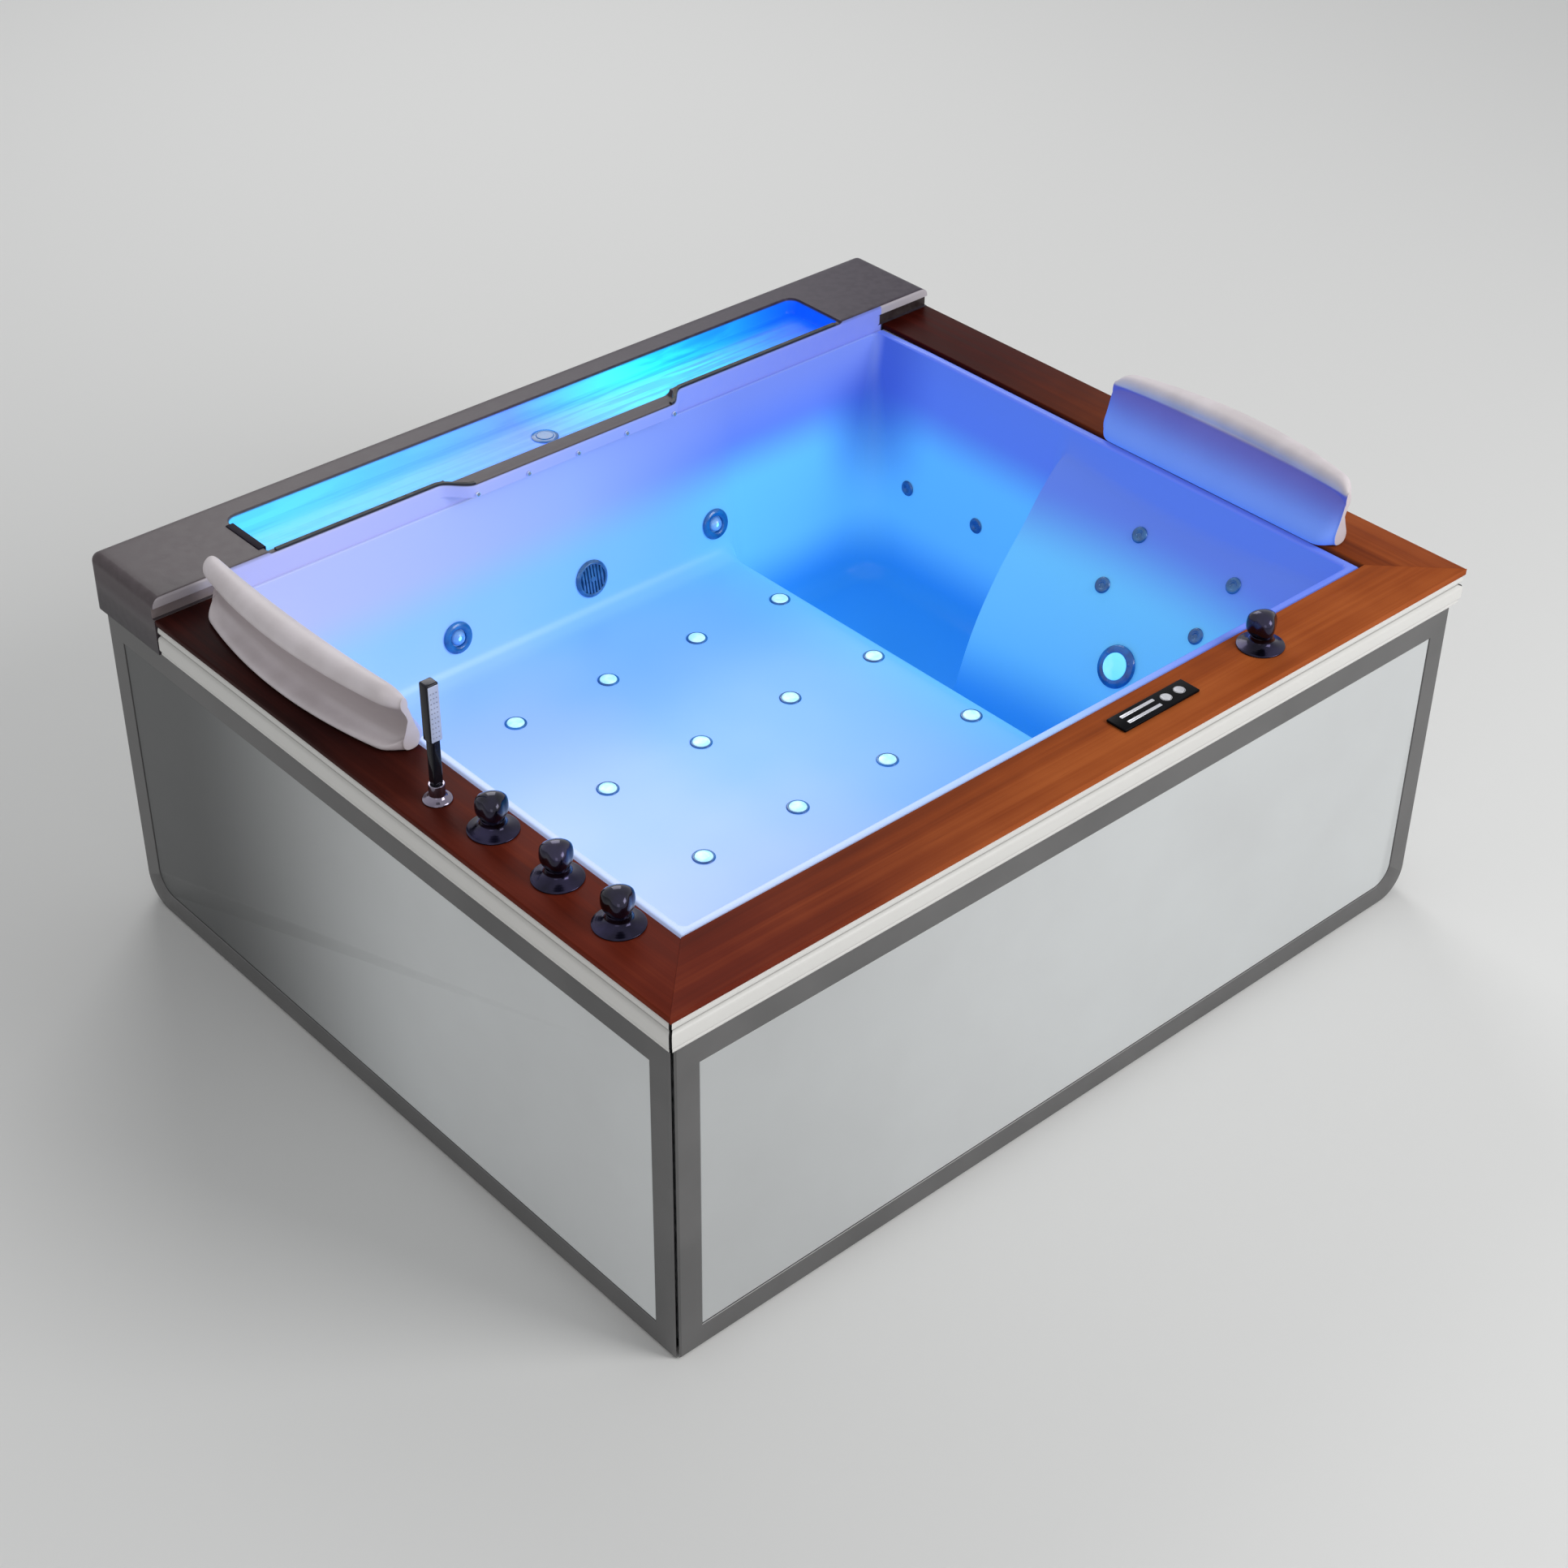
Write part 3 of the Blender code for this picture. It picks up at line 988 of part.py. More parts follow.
def make_ring_jets(seats, finishes):
    """A ring with a socket, and the nozzle ball that swivels in it."""
    socket = RING_BALL + BALL_PLAY
    for place, name in zip(seats["ring"], ("left", "right")):
        profile = (
            (0, BALL_OUT - SWIVEL_DEEP), (socket, BALL_OUT - SWIVEL_DEEP), (socket, RING_HIGH * 0.6),
            (RING_RADIUS * 0.75, RING_HIGH), (RING_RADIUS, RING_HIGH * 0.4), (RING_RADIUS, 0),
            (RING_BODY, 0), (RING_BODY, -RING_TAIL), (0, -RING_TAIL),
        )
        add(f"ring_jet_{name}", turned(profile, 16), finishes["chrome"], place)
        mouth = math.sqrt(RING_BALL ** 2 - NOZZLE_BORE ** 2)
        start = math.atan2(mouth, NOZZLE_BORE)
        turns = [start - (start + math.pi / 2) * step / 7 for step in range(7)]
        ball = [(0, mouth - NOZZLE_DEEP), (NOZZLE_BORE, mouth - NOZZLE_DEEP)]
        ball += [(RING_BALL * math.cos(turn), RING_BALL * math.sin(turn)) for turn in turns] + [(0, -RING_BALL)]
        centre = place @ Matrix.Translation((0, 0, BALL_OUT - SWIVEL_DEEP + RING_BALL + GAP))
        add(f"ring_nozzle_{name}", turned(ball, 14), finishes["lens"], centre)


def make_suction_grille(seats, finishes):
    place = seats["grille"][0]
    profile = (
        (0, GRILLE_HIGH), (GRILLE_RADIUS * 0.8, GRILLE_HIGH), (GRILLE_RADIUS, GRILLE_HIGH * 0.3),
        (GRILLE_RADIUS, 0), (GRILLE_BODY, 0), (GRILLE_BODY, -GRILLE_TAIL), (0, -GRILLE_TAIL),
    )
    grille = add("suction_grille", turned(profile, 16), finishes["grey"], place)
    slots = bmesh.new()
    pitch = GRILLE_RADIUS * 1.3 / SLOT_COUNT
    for step in range(SLOT_COUNT):
        centre = pitch * (step - (SLOT_COUNT - 1) / 2)
        reach = math.sqrt((GRILLE_RADIUS * 0.8) ** 2 - centre ** 2) - SLOT_WIDE
        left, right = centre - SLOT_WIDE / 2, centre + SLOT_WIDE / 2
        block(slots, (left, -reach, GRILLE_HIGH - SLOT_DEEP), (right, reach, OVERRUN))
    tool = guide("grille_slots", slots)
    tool.matrix_world = place
    combine(grille, tool, "DIFFERENCE")


def small_jet(face):
    return turned((
        (0, face), (SMALL_RADIUS * 0.5, face), (SMALL_RADIUS * 0.6, SMALL_HIGH), (SMALL_RADIUS, SMALL_HIGH / 3),
        (SMALL_RADIUS, 0), (SMALL_BODY, 0), (SMALL_BODY, -SMALL_TAIL), (0, -SMALL_TAIL)), 9)


def make_jet_set(name, places, material, links):
    """Small jets whose tails share a header behind the wall."""
    face = SMALL_HIGH / 2
    jets = add(name, small_jet(face), material, places[0])
    for number, place in enumerate(places[1:], 1):
        jet = guide(f"{name}_{number}", small_jet(face))
        jet.matrix_world = place
        combine(jets, jet, "UNION")
    for number, (first, second) in enumerate(links):
        ends = [places[end] @ Vector((0, 0, HEADER_RADIUS * 0.6 - SMALL_TAIL)) for end in (first, second)]
        pipe = bmesh.new()
        rod(pipe, *ends, HEADER_RADIUS, 8)
        combine(jets, guide(f"{name}_pipe_{number}", pipe), "UNION")


def make_wall_light(seats, finishes):
    place = seats["light"][0]
    profile = (
        (0, LIGHT_HIGH - LENS_HIGH), (LENS_RADIUS, LIGHT_HIGH - LENS_HIGH), (LENS_RADIUS, LIGHT_HIGH),
        (LIGHT_RADIUS * 0.8, LIGHT_HIGH), (LIGHT_RADIUS, LIGHT_HIGH * 0.4), (LIGHT_RADIUS, 0), (LIGHT_BODY, 0),
        (LIGHT_BODY, -LIGHT_TAIL), (0, -LIGHT_TAIL),
    )
    add("underwater_light", turned(profile, 18), finishes["blue"], place)
    rim = LENS_RADIUS - GAP
    low = LIGHT_HIGH - LENS_HIGH + GAP
    lens = turned(((0, low), (rim, low), (rim, LIGHT_HIGH), (rim / 2, LIGHT_HIGH + LENS_HIGH / 2),
                   (0, LIGHT_HIGH + LENS_HIGH * 0.6)), 18)
    add("underwater_lens", lens, finishes["lens"], place)


def make_air_jets(seats, finishes):
    """Twelve capped air jets on one pipe grid under the platform."""
    under = AIR_PIPE_Z - PLATFORM_Z - GAP
    cap = (
        (0, CAP_HIGH), (CAP_RADIUS * 0.8, CAP_HIGH), (CAP_RADIUS, CAP_HIGH / 3), (CAP_RADIUS, 0),
        (CAP_STEM, 0), (CAP_STEM, under), (0, under),
    )
    first, *others = seats["air"]
    jets = add("air_jet_manifold", turned(cap, 9), finishes["lens"], first)
    for number, place in enumerate(others):
        jet = guide(f"air_jet_{number}", turned(cap, 9))
        jet.matrix_world = place
        combine(jets, jet, "UNION")
    ends = AIR_COLUMNS[0] - 2 * AIR_PIPE_RADIUS, AIR_COLUMNS[-1] + 1.5 * AIR_PIPE_RADIUS
    for number, y in enumerate(AIR_ROWS):
        pipe = bmesh.new()
        rod(pipe, (ends[0], y, AIR_PIPE_Z), (ends[1], y, AIR_PIPE_Z), AIR_PIPE_RADIUS, 8)
        combine(jets, guide(f"air_row_{number}", pipe), "UNION")
    trunk = bmesh.new()
    deep = AIR_PIPE_Z - AIR_PIPE_RADIUS / 4
    near, far = AIR_ROWS[0] - 2 * AIR_PIPE_RADIUS, AIR_ROWS[-1] + 2 * AIR_PIPE_RADIUS
    rod(trunk, (AIR_TRUNK_X, near, deep), (AIR_TRUNK_X, far, deep), AIR_PIPE_RADIUS * 1.1, 8)
    combine(jets, guide("air_trunk", trunk), "UNION")


def make_drain(seats, finishes):
    place = seats["drain"][0]
    bore = DRAIN_BORE
    seat_z = -DRAIN_LONG * 0.6
    profile = (
        (0, seat_z), (bore, seat_z), (bore, DRAIN_HIGH * 0.2), (DRAIN_RADIUS * 0.8, DRAIN_HIGH),
        (DRAIN_RADIUS, DRAIN_HIGH * 0.4), (DRAIN_RADIUS, 0), (DRAIN_BODY, 0), (DRAIN_BODY, -DRAIN_LONG),
        (0, -DRAIN_LONG),
    )
    add("drain_body", turned(profile, 16), finishes["chrome"], place)
    stem = seat_z + GAP
    rim = DRAIN_HIGH + GAP
    dome = rim + STOPPER_HIGH
    stopper = (
        (0, dome), (STOPPER_RADIUS * 0.8, dome), (STOPPER_RADIUS, rim + STOPPER_HIGH / 2), (STOPPER_RADIUS, rim),
        (STOPPER_STEM, rim), (STOPPER_STEM, stem), (0, stem),
    )
    add("drain_stopper", turned(stopper, 16), finishes["chrome"], place)


# Machinery


def pump_axis():
    return FLOOR_RAIL_Z + TUBE + GAP + PLINTH_HIGH + VOLUTE_RADIUS - FIN_DEEP


def make_pump(finishes):
    """A close-coupled pump: finned motor, volute, ports and plinth, its shaft along Y."""
    base = FLOOR_RAIL_Z + TUBE + GAP
    axis = pump_axis()
    pitch = MOTOR_LONG / (2 * FIN_COUNT + 1)
    core = MOTOR_RADIUS - FIN_DEEP
    profile = [(0, -VOLUTE_LONG), (VOLUTE_RADIUS, -VOLUTE_LONG), (VOLUTE_RADIUS, 0), (core, 0)]
    for fin in range(FIN_COUNT):
        start = pitch * (2 * fin + 1)
        end = start + pitch / 2
        profile += [(core, start), (MOTOR_RADIUS, start), (MOTOR_RADIUS, end), (core, end)]
    profile += [(core, MOTOR_LONG), (0, MOTOR_LONG)]
    place = Matrix.Translation((PUMP_X, PUMP_Y, axis)) @ Matrix.Rotation(math.radians(90), 4, "X")
    pump = add("circulation_pump", turned(profile, 12), finishes["grey"], place)
    shoe = bmesh.new()
    half = PLINTH_WIDE / 2
    block(shoe, (PUMP_X - half, PUMP_Y - MOTOR_LONG * 0.7, base),
          (PUMP_X + half, PUMP_Y + VOLUTE_LONG / 2, base + PLINTH_HIGH))
    combine(pump, guide("pump_shoe", shoe), "UNION")
    web = bmesh.new()
    block(web, (PUMP_X - PORT_RADIUS, PUMP_Y - MOTOR_LONG * 0.6, base + PLINTH_HIGH / 2),
          (PUMP_X + PORT_RADIUS, PUMP_Y + VOLUTE_LONG / 3, axis - core / 2))
    combine(pump, guide("pump_web", web), "UNION")
    inlet = bmesh.new()
    face = PUMP_Y + VOLUTE_LONG
    rod(inlet, (PUMP_X, face - PORT_OUT, axis), (PUMP_X, face + PORT_OUT, axis), PORT_RADIUS, 12)
    combine(pump, guide("pump_inlet", inlet), "UNION")
    outlet = bmesh.new()
    middle = PUMP_Y + VOLUTE_LONG * 0.55
    rod(outlet, (PUMP_X, middle, axis), (PUMP_X, middle, axis + VOLUTE_RADIUS + PORT_OUT), PORT_RADIUS, 12)
    combine(pump, guide("pump_outlet", outlet), "UNION")


def make_blower(finishes):
    base = FLOOR_RAIL_Z + TUBE + GAP
    high, neck = base + BLOWER_HIGH, base + BLOWER_HIGH + BLOWER_NECK_HIGH
    profile = (
        (0, base), (BLOWER_RADIUS * 0.8, base), (BLOWER_RADIUS, base + BLOWER_HIGH * 0.15),
        (BLOWER_RADIUS, base + BLOWER_HIGH * 0.5), (BLOWER_RADIUS * 0.85, base + BLOWER_HIGH * 0.55),
        (BLOWER_RADIUS * 0.85, high - BLOWER_HIGH * 0.08), (BLOWER_RADIUS * 0.7, high), (BLOWER_NECK, high),
        (BLOWER_NECK, neck), (0, neck),
    )
    add("air_blower", turned(profile, 16), finishes["black"], (BLOWER_X, BLOWER_Y, 0))


def make_control_box(finishes):
    low = FLOOR_RAIL_Z + TUBE + GAP
    front = -CRADLE_Y
    block_part("control_box", (BOX_X - BOX_LONG, front, low), (BOX_X, front + BOX_DEEP, low + BOX_HIGH),
               finishes["grey"], BOX_ROUND)


def smooth_route(points):
    """Points along a curve through the route's own points, with its first and last stretch straight."""
    route = [points[0]]
    for before, start, end, after in zip(points, points[1:], points[2:], points[3:]):
        count = max(2, round((end - start).length / PIPE_STEP))
        for step in range(count):
            t = step / count
            bend = 2 * before - 5 * start + 4 * end - after
            swing = 3 * start - before - 3 * end + after
            route.append(start + ((end - before) * t + bend * t ** 2 + swing * t ** 3) / 2)
    return route + points[-2:]


def make_pipe(name, points, radius, material):
    curve = bpy.data.curves.new(name, "CURVE")
    curve.dimensions = "3D"
    curve.bevel_depth = radius
    curve.bevel_resolution = 2
    curve.use_fill_caps = True
    route = smooth_route([Vector(point) for point in points])
    spline = curve.splines.new("POLY")
    spline.points.add(len(route) - 1)
    for spot, point in zip(spline.points, route):
        spot.co = (*point, 1)
    bpy.context.scene.collection.objects.link(bpy.data.objects.new(name, curve))
    curve.materials.append(material)


def make_pipework(seats, finishes):
    """Suction from the grille, pressure to a header for both ring jets and the trough, air to the jets."""
    axis = pump_axis()
    inlet = PUMP_Y + VOLUTE_LONG + PORT_OUT + GAP
    tail = [seats["grille"][0] @ Vector((0, 0, -GRILLE_TAIL - reach)) for reach in (GAP, PIPE_RADIUS)]
    suction = [*tail, *SUCTION_ROUTE, (PUMP_X, inlet + 2 * PIPE_RADIUS, axis), (PUMP_X, inlet, axis)]
    make_pipe("suction_pipe", suction, PIPE_RADIUS, finishes["black"])
    ends = [place @ Vector((0, 0, -RING_TAIL - BRANCH_LONG)) for place in seats["ring"]]
    along = (ends[1] - ends[0]).normalized()
    start, finish_end = ends[0] - along * 2 * HEADER_PIPE, ends[1] + along * 2 * HEADER_PIPE
    bm = bmesh.new()
    rod(bm, start, finish_end, HEADER_PIPE, 10)
    header = add("jet_header", bm, finishes["grey"])
    for number, (place, end) in enumerate(zip(seats["ring"], ends)):
        branch = bmesh.new()
        rod(branch, place @ Vector((0, 0, -RING_TAIL - GAP)), end, BRANCH_PIPE, 9)
        combine(header, guide(f"branch_{number}", branch), "UNION")
    top = inlet_place() - Vector((0, 0, INLET_TAIL + GAP))
    riser = bmesh.new()
    foot = ends[0] + along * ((top.x - ends[0].x) / along.x)
    elbow = Vector((top.x, top.y, top.z - 3 * BRANCH_PIPE))
    rod(riser, top, elbow, BRANCH_PIPE, 9)
    combine(header, guide("riser_top", riser), "UNION")
    slant = bmesh.new()
    rod(slant, foot, elbow + Vector((0, 0, BRANCH_PIPE)), BRANCH_PIPE * 0.9, 9)
    combine(header, guide("riser", slant), "UNION")
    outlet = Vector((PUMP_X, PUMP_Y + VOLUTE_LONG * 0.55, axis + VOLUTE_RADIUS + PORT_OUT + GAP))
    lead = start - along * GAP
    pressure = [outlet, outlet + Vector((0, 0, PIPE_RADIUS)), *PRESSURE_ROUTE,
                lead - along * 3 * PIPE_RADIUS, lead]
    make_pipe("pressure_pipe", pressure, PIPE_RADIUS, finishes["black"])
    neck = Vector((BLOWER_X, BLOWER_Y, FLOOR_RAIL_Z + TUBE + 2 * GAP + BLOWER_HIGH + BLOWER_NECK_HIGH))
    row = Vector((AIR_COLUMNS[0] - 2 * AIR_PIPE_RADIUS - GAP, AIR_ROWS[-1], AIR_PIPE_Z))
    air = [neck, neck + Vector((0, 0, 2)) * BLOW_RADIUS, row - Vector((4, 1, 1)) * BLOW_RADIUS,
           row - Vector((1, 0, 0)) * BLOW_RADIUS, row]
    make_pipe("air_pipe", air, BLOW_RADIUS, finishes["black"])


def build():
    clear_scene()
    finishes = {
        "acrylic": finish("white_acrylic", (0.86, 0.87, 0.88), 0.15),
        "wood": finish("oiled_hardwood", (0.32, 0.08, 0.03), 0.35),
        "aluminium": finish("satin_aluminium", (0.22, 0.21, 0.205), 0.40, 0.7),
        "panel": finish("pale_panel", (0.58, 0.60, 0.59), 0.30),
        "steel": finish("galvanised_steel", (0.45, 0.46, 0.47), 0.45, 0.9),
        "chrome": finish("chrome", (0.80, 0.81, 0.83), 0.08, 1.0),
        "dark": finish("dark_chrome", (0.10, 0.10, 0.13), 0.12, 1.0),
        "silver": finish("silver_key", (0.62, 0.62, 0.66), 0.25, 0.8),
        "black": finish("black_plastic", (0.015, 0.015, 0.02), 0.25),
        "grey": finish("grey_plastic", (0.25, 0.27, 0.32), 0.40),
        "blue": finish("blue_plastic", (0.05, 0.20, 0.55), 0.30),
        "lens": finish("lit_lens", (0.75, 0.95, 1.0), 0.20),
        "foam": finish("soft_foam_skin", (0.72, 0.69, 0.68), 0.45),
        "rubber": finish("rubber", (0.03, 0.03, 0.03), 0.70),
    }
    surface = basin_surface()
    seats = all_seats(BVHTree.FromBMesh(surface))
    make_basin(surface, seats, finishes["acrylic"])
    make_waterfall_deck(finishes["acrylic"])
    make_fall_fittings(finishes)
    make_boards(finishes["wood"])
    make_skirts(finishes)
    make_cradle(finishes["steel"])
    make_feet(finishes["rubber"])
    make_valves(finishes)
    make_hand_shower(finishes)
    make_control_panel(finishes)
    make_headrests(finishes["foam"])
    make_ring_jets(seats, finishes)
    make_suction_grille(seats, finishes)
    make_jet_set("foot_jets", seats["foot"], finishes["grey"], ((0, 1),))
    make_jet_set("back_jets_right", seats["right"], finishes["grey"], ((0, 1), (2, 3), (0, 2)))
    make_jet_set("back_jets_left", seats["left"], finishes["grey"], ((0, 1), (2, 3), (0, 2)))
    make_wall_light(seats, finishes)
    make_air_jets(seats, finishes)
    make_drain(seats, finishes)
    make_pump(finishes)
    make_blower(finishes)
    make_control_box(finishes)
    make_pipework(seats, finishes)


build()
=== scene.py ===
import math

import bmesh
import bpy
from mathutils import Matrix, Vector
from mathutils.bvhtree import BVHTree


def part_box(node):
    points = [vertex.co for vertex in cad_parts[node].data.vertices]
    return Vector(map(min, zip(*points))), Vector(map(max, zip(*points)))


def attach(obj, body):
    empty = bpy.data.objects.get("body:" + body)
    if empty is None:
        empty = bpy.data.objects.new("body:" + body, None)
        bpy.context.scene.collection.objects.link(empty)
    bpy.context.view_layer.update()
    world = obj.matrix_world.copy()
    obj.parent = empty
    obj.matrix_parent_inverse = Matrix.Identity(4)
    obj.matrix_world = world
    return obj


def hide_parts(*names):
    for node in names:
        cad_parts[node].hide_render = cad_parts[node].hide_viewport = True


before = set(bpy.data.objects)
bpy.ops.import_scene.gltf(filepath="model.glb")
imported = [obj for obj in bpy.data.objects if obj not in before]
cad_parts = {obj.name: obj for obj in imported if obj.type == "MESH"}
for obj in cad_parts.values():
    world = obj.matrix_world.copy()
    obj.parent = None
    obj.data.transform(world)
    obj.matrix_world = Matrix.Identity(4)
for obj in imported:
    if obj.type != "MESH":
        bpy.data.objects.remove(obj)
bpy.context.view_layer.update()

# Camera at the photographer's place, in front of the corner between the two visible skirts, on a long lens.
# Its turn, height and tilt come from the tub's own straight edges.
CAMERA_PLACE = (-2.70965, -2.9996, 3.20169)
CAMERA_TURN, CAMERA_RISE, CAMERA_TILT = -42.198, 36.131, 0.6795
FOCAL_LENGTH, SENSOR = 63.017, 36

turn, rise, tilt = [math.radians(value) for value in (CAMERA_TURN, CAMERA_RISE, CAMERA_TILT)]
backward = Vector((math.sin(turn) * math.cos(rise), -math.cos(turn) * math.cos(rise), math.sin(rise)))
sideways = (-backward).cross(Vector((0, 0, 1))).normalized()
upward = sideways.cross(-backward)
across = sideways * math.cos(tilt) + upward * math.sin(tilt)
upright = upward * math.cos(tilt) - sideways * math.sin(tilt)
lens = bpy.data.cameras.new("camera")
lens.lens, lens.sensor_width = FOCAL_LENGTH, SENSOR
camera = bpy.data.objects.new("camera", lens)
bpy.context.scene.collection.objects.link(camera)
camera.matrix_world = (Matrix.Translation(CAMERA_PLACE)
                       @ Matrix((across, upright, backward)).transposed().to_4x4())
bpy.context.scene.camera = camera

# Studio: a plain pale floor, one broad soft lamp before the front skirt, a weaker one over the left, and
# an even pale surround. Nothing here is part of the tub.
FLOOR_SIZE, FLOOR_COLOUR, FLOOR_ROUGH = 60, (0.80, 0.80, 0.79), 0.8
SURROUND_COLOUR, SURROUND_LIGHT = (0.90, 0.91, 0.92), 0.46
LAMP_AIM = (0, 0, 0.4)
LAMPS = (
    ("front_lamp", (2.3, -4.8, 3.8), 3.0, 180),
    ("left_lamp", (-4.6, -3.4, 2.2), 2.4, 22),
    ("back_lamp", (2.5, 4.5, 4.5), 3.0, 90),
)


class Nodes:
    """The nodes of a material or of the surround, and the one at their end."""

    def __init__(self, holder, end="Principled BSDF"):
        holder.use_nodes = True
        self.holder, self.tree = holder, holder.node_tree
        self.end = self.tree.nodes[end]

    def fill(self, node, **inputs):
        """An input that is given a socket is joined to it, and any other value is set."""
        for key, value in inputs.items():
            socket = node.inputs[int(key[1:]) if key[1:].isdigit() else key.replace("_", " ")]
            if isinstance(value, bpy.types.NodeSocket):
                self.tree.links.new(value, socket)
            else:
                socket.default_value = (*value, 1) if socket.type == "RGBA" else value
        return node

    def add(self, kind, settings=(), **inputs):
        node = self.tree.nodes.new("ShaderNode" + kind)
        for key, value in dict(settings).items():
            setattr(node, key, value)
        return self.fill(node, **inputs)

    def give(self, **inputs):
        self.fill(self.end, **inputs)


floor_paint = Nodes(bpy.data.materials.new("studio_floor"))
floor_paint.give(Base_Color=FLOOR_COLOUR, Roughness=FLOOR_ROUGH)
ground = bmesh.new()
bmesh.ops.create_grid(ground, x_segments=1, y_segments=1, size=FLOOR_SIZE / 2)
floor_mesh = bpy.data.meshes.new("studio_floor")
ground.to_mesh(floor_mesh)
ground.free()
floor_mesh.materials.append(floor_paint.holder)
studio_floor = bpy.data.objects.new("studio_floor", floor_mesh)
bpy.context.scene.collection.objects.link(studio_floor)
for name, place, size, power in LAMPS:
    lamp = bpy.data.lights.new(name, "AREA")
    lamp.shape, lamp.size, lamp.energy = "SQUARE", size, power
    holder = bpy.data.objects.new(name, lamp)
    bpy.context.scene.collection.objects.link(holder)
    aim = (Vector(LAMP_AIM) - Vector(place)).to_track_quat("-Z", "Y")
    holder.matrix_world = Matrix.Translation(place) @ aim.to_matrix().to_4x4()
world = bpy.data.worlds.new("studio")
bpy.context.scene.world = world
surround = Nodes(world, "Background")
rays = surround.add("LightPath").outputs
seen = surround.add("Math", {"operation": "MAXIMUM"}, i0=rays["Is Camera Ray"], i1=rays["Is Glossy Ray"])
strength = surround.add("MapRange", Value=seen.outputs[0], To_Min=SURROUND_LIGHT, To_Max=1.0)
surround.give(Color=SURROUND_COLOUR, Strength=strength.outputs["Result"])
bpy.context.scene.view_settings.view_transform = "Standard"

# Basin: one sheet of white acrylic, drawn down over a mould and backed with fibreglass. Its rim carries the
# boards, two backrests are moulded in, and lamps under the water line fill it with blue light, which is
# painted into the acrylic's colour and glow.
HALF_LONG, HALF_WIDE, BASIN_BACK, MIDDLE_Y = 0.900, 0.775, 0.5677, -0.03265
FLANGE_TOP, SHEET, FLOOR_SPACING = 0.6957, 0.0045, 0.014
WALL_INSET, BEAD_RISE, BEAD_ROUND, BEAD_FADE, BEAD_ROWS = 0.142, 0.008, 0.005, 0.020, 5
WALL_RUN, FLOOR_FILLET, CORNER_TOP, CORNER_FLOOR = 0.055, 0.046, 0.012, 0.090
PLATFORM, FOOTWELL, STEP_START, STEP_RUN = 0.380, 0.200, 0.302, 0.098
REST_REACH, REST_TOP, REST_TOE, REST_MIDDLE = 0.300, 0.660, 0.180, -0.285
REST_LONG, REST_HOLLOW, REST_BLEND, FLANK_RUN, FLANK_FALL = 0.630, 0.030, 0.030, 0.050, 0.300
RIM_PROFILE = (
    (0.0090, 0.6380), (0.0050, 0.6383), (0.0034, 0.6392), (0.0026, 0.6410), (0.0026, 0.6435),
    (0.0038, 0.6450), (0.0036, 0.6462), (0.0012, 0.6478), (0.0002, 0.6500), (0.0000, 0.6530),
    (0.0000, 0.6690), (0.0004, 0.6718), (0.0016, 0.6740), (0.0050, 0.6756), (0.0068, 0.6772),
    (0.0068, 0.6796), (0.0040, 0.6812), (0.0022, 0.6828), (0.0014, 0.6852), (0.0014, 0.6895),
    (0.0024, 0.6930), (0.0042, 0.6950), (0.0070, 0.6957), (0.0600, 0.6957), (0.1270, 0.6957),
    (0.1312, 0.6962), (0.1316, 0.7008), (0.1324, 0.7028), (0.1338, 0.7037), (0.1368, 0.7037),
)
NOTCH_HALF, NOTCH_DEEP, NOTCH_LEAN, NOTCH_ROWS, NOTCH_FINISH = 0.0030, 0.0042, 0.0001, 23, 2
STEP_CURVE = ((0, 1), (0.20, 0.96), (0.32, 0.84), (0.56, 0.17), (0.75, 0.03), (1, 0))
REST_CURVE = ((0, 1), (0.10, 0.96), (0.23, 0.875), (0.39, 0.74), (0.62, 0.55), (0.81, 0.335), (1, 0))
BEAD_STEPS, WALL_STEPS, FILLET_STEPS, INNER_STEPS = 4, 8, 8, 4


def soft_curve(table, value):
    """A smooth line through a table of rising places and heights."""
    value = min(max(value, table[0][0]), table[-1][0])
    spot = next(i for i in range(len(table) - 1) if value <= table[i + 1][0])
    slopes = [(b[1] - a[1]) / (b[0] - a[0]) for a, b in zip(table, table[1:])]
    bends = [slopes[0], *[(a + b) / 2 for a, b in zip(slopes, slopes[1:])], slopes[-1]]
    (left, low), (right, high) = table[spot], table[spot + 1]
    wide = right - left
    t = (value - left) / wide
    return (low * (2 * t ** 3 - 3 * t ** 2 + 1) + high * (3 * t ** 2 - 2 * t ** 3)
            + wide * (bends[spot] * (t ** 3 - 2 * t ** 2 + t) + bends[spot + 1] * (t ** 3 - t ** 2)))


def backrest_height(x, y):
    """Each backrest falls away at one end and runs into the wall at the other."""
    heights = []
    for side in (1, -1):
        along = (y - MIDDLE_Y) * side - (REST_MIDDLE - MIDDLE_Y)
        half = REST_LONG / 2
        hollow = REST_HOLLOW * max(1 - (along / half) ** 2, 0)
        wall = HALF_LONG - WALL_INSET
        share = (wall - x * side + hollow) / REST_REACH
        height = REST_TOE + (REST_TOP - REST_TOE) * soft_curve(REST_CURVE, share)
        if share > 1:
            height -= share - 1
        heights.append(height - FLANK_FALL / FLANK_RUN * max(along - half, 0))
    return max(heights)


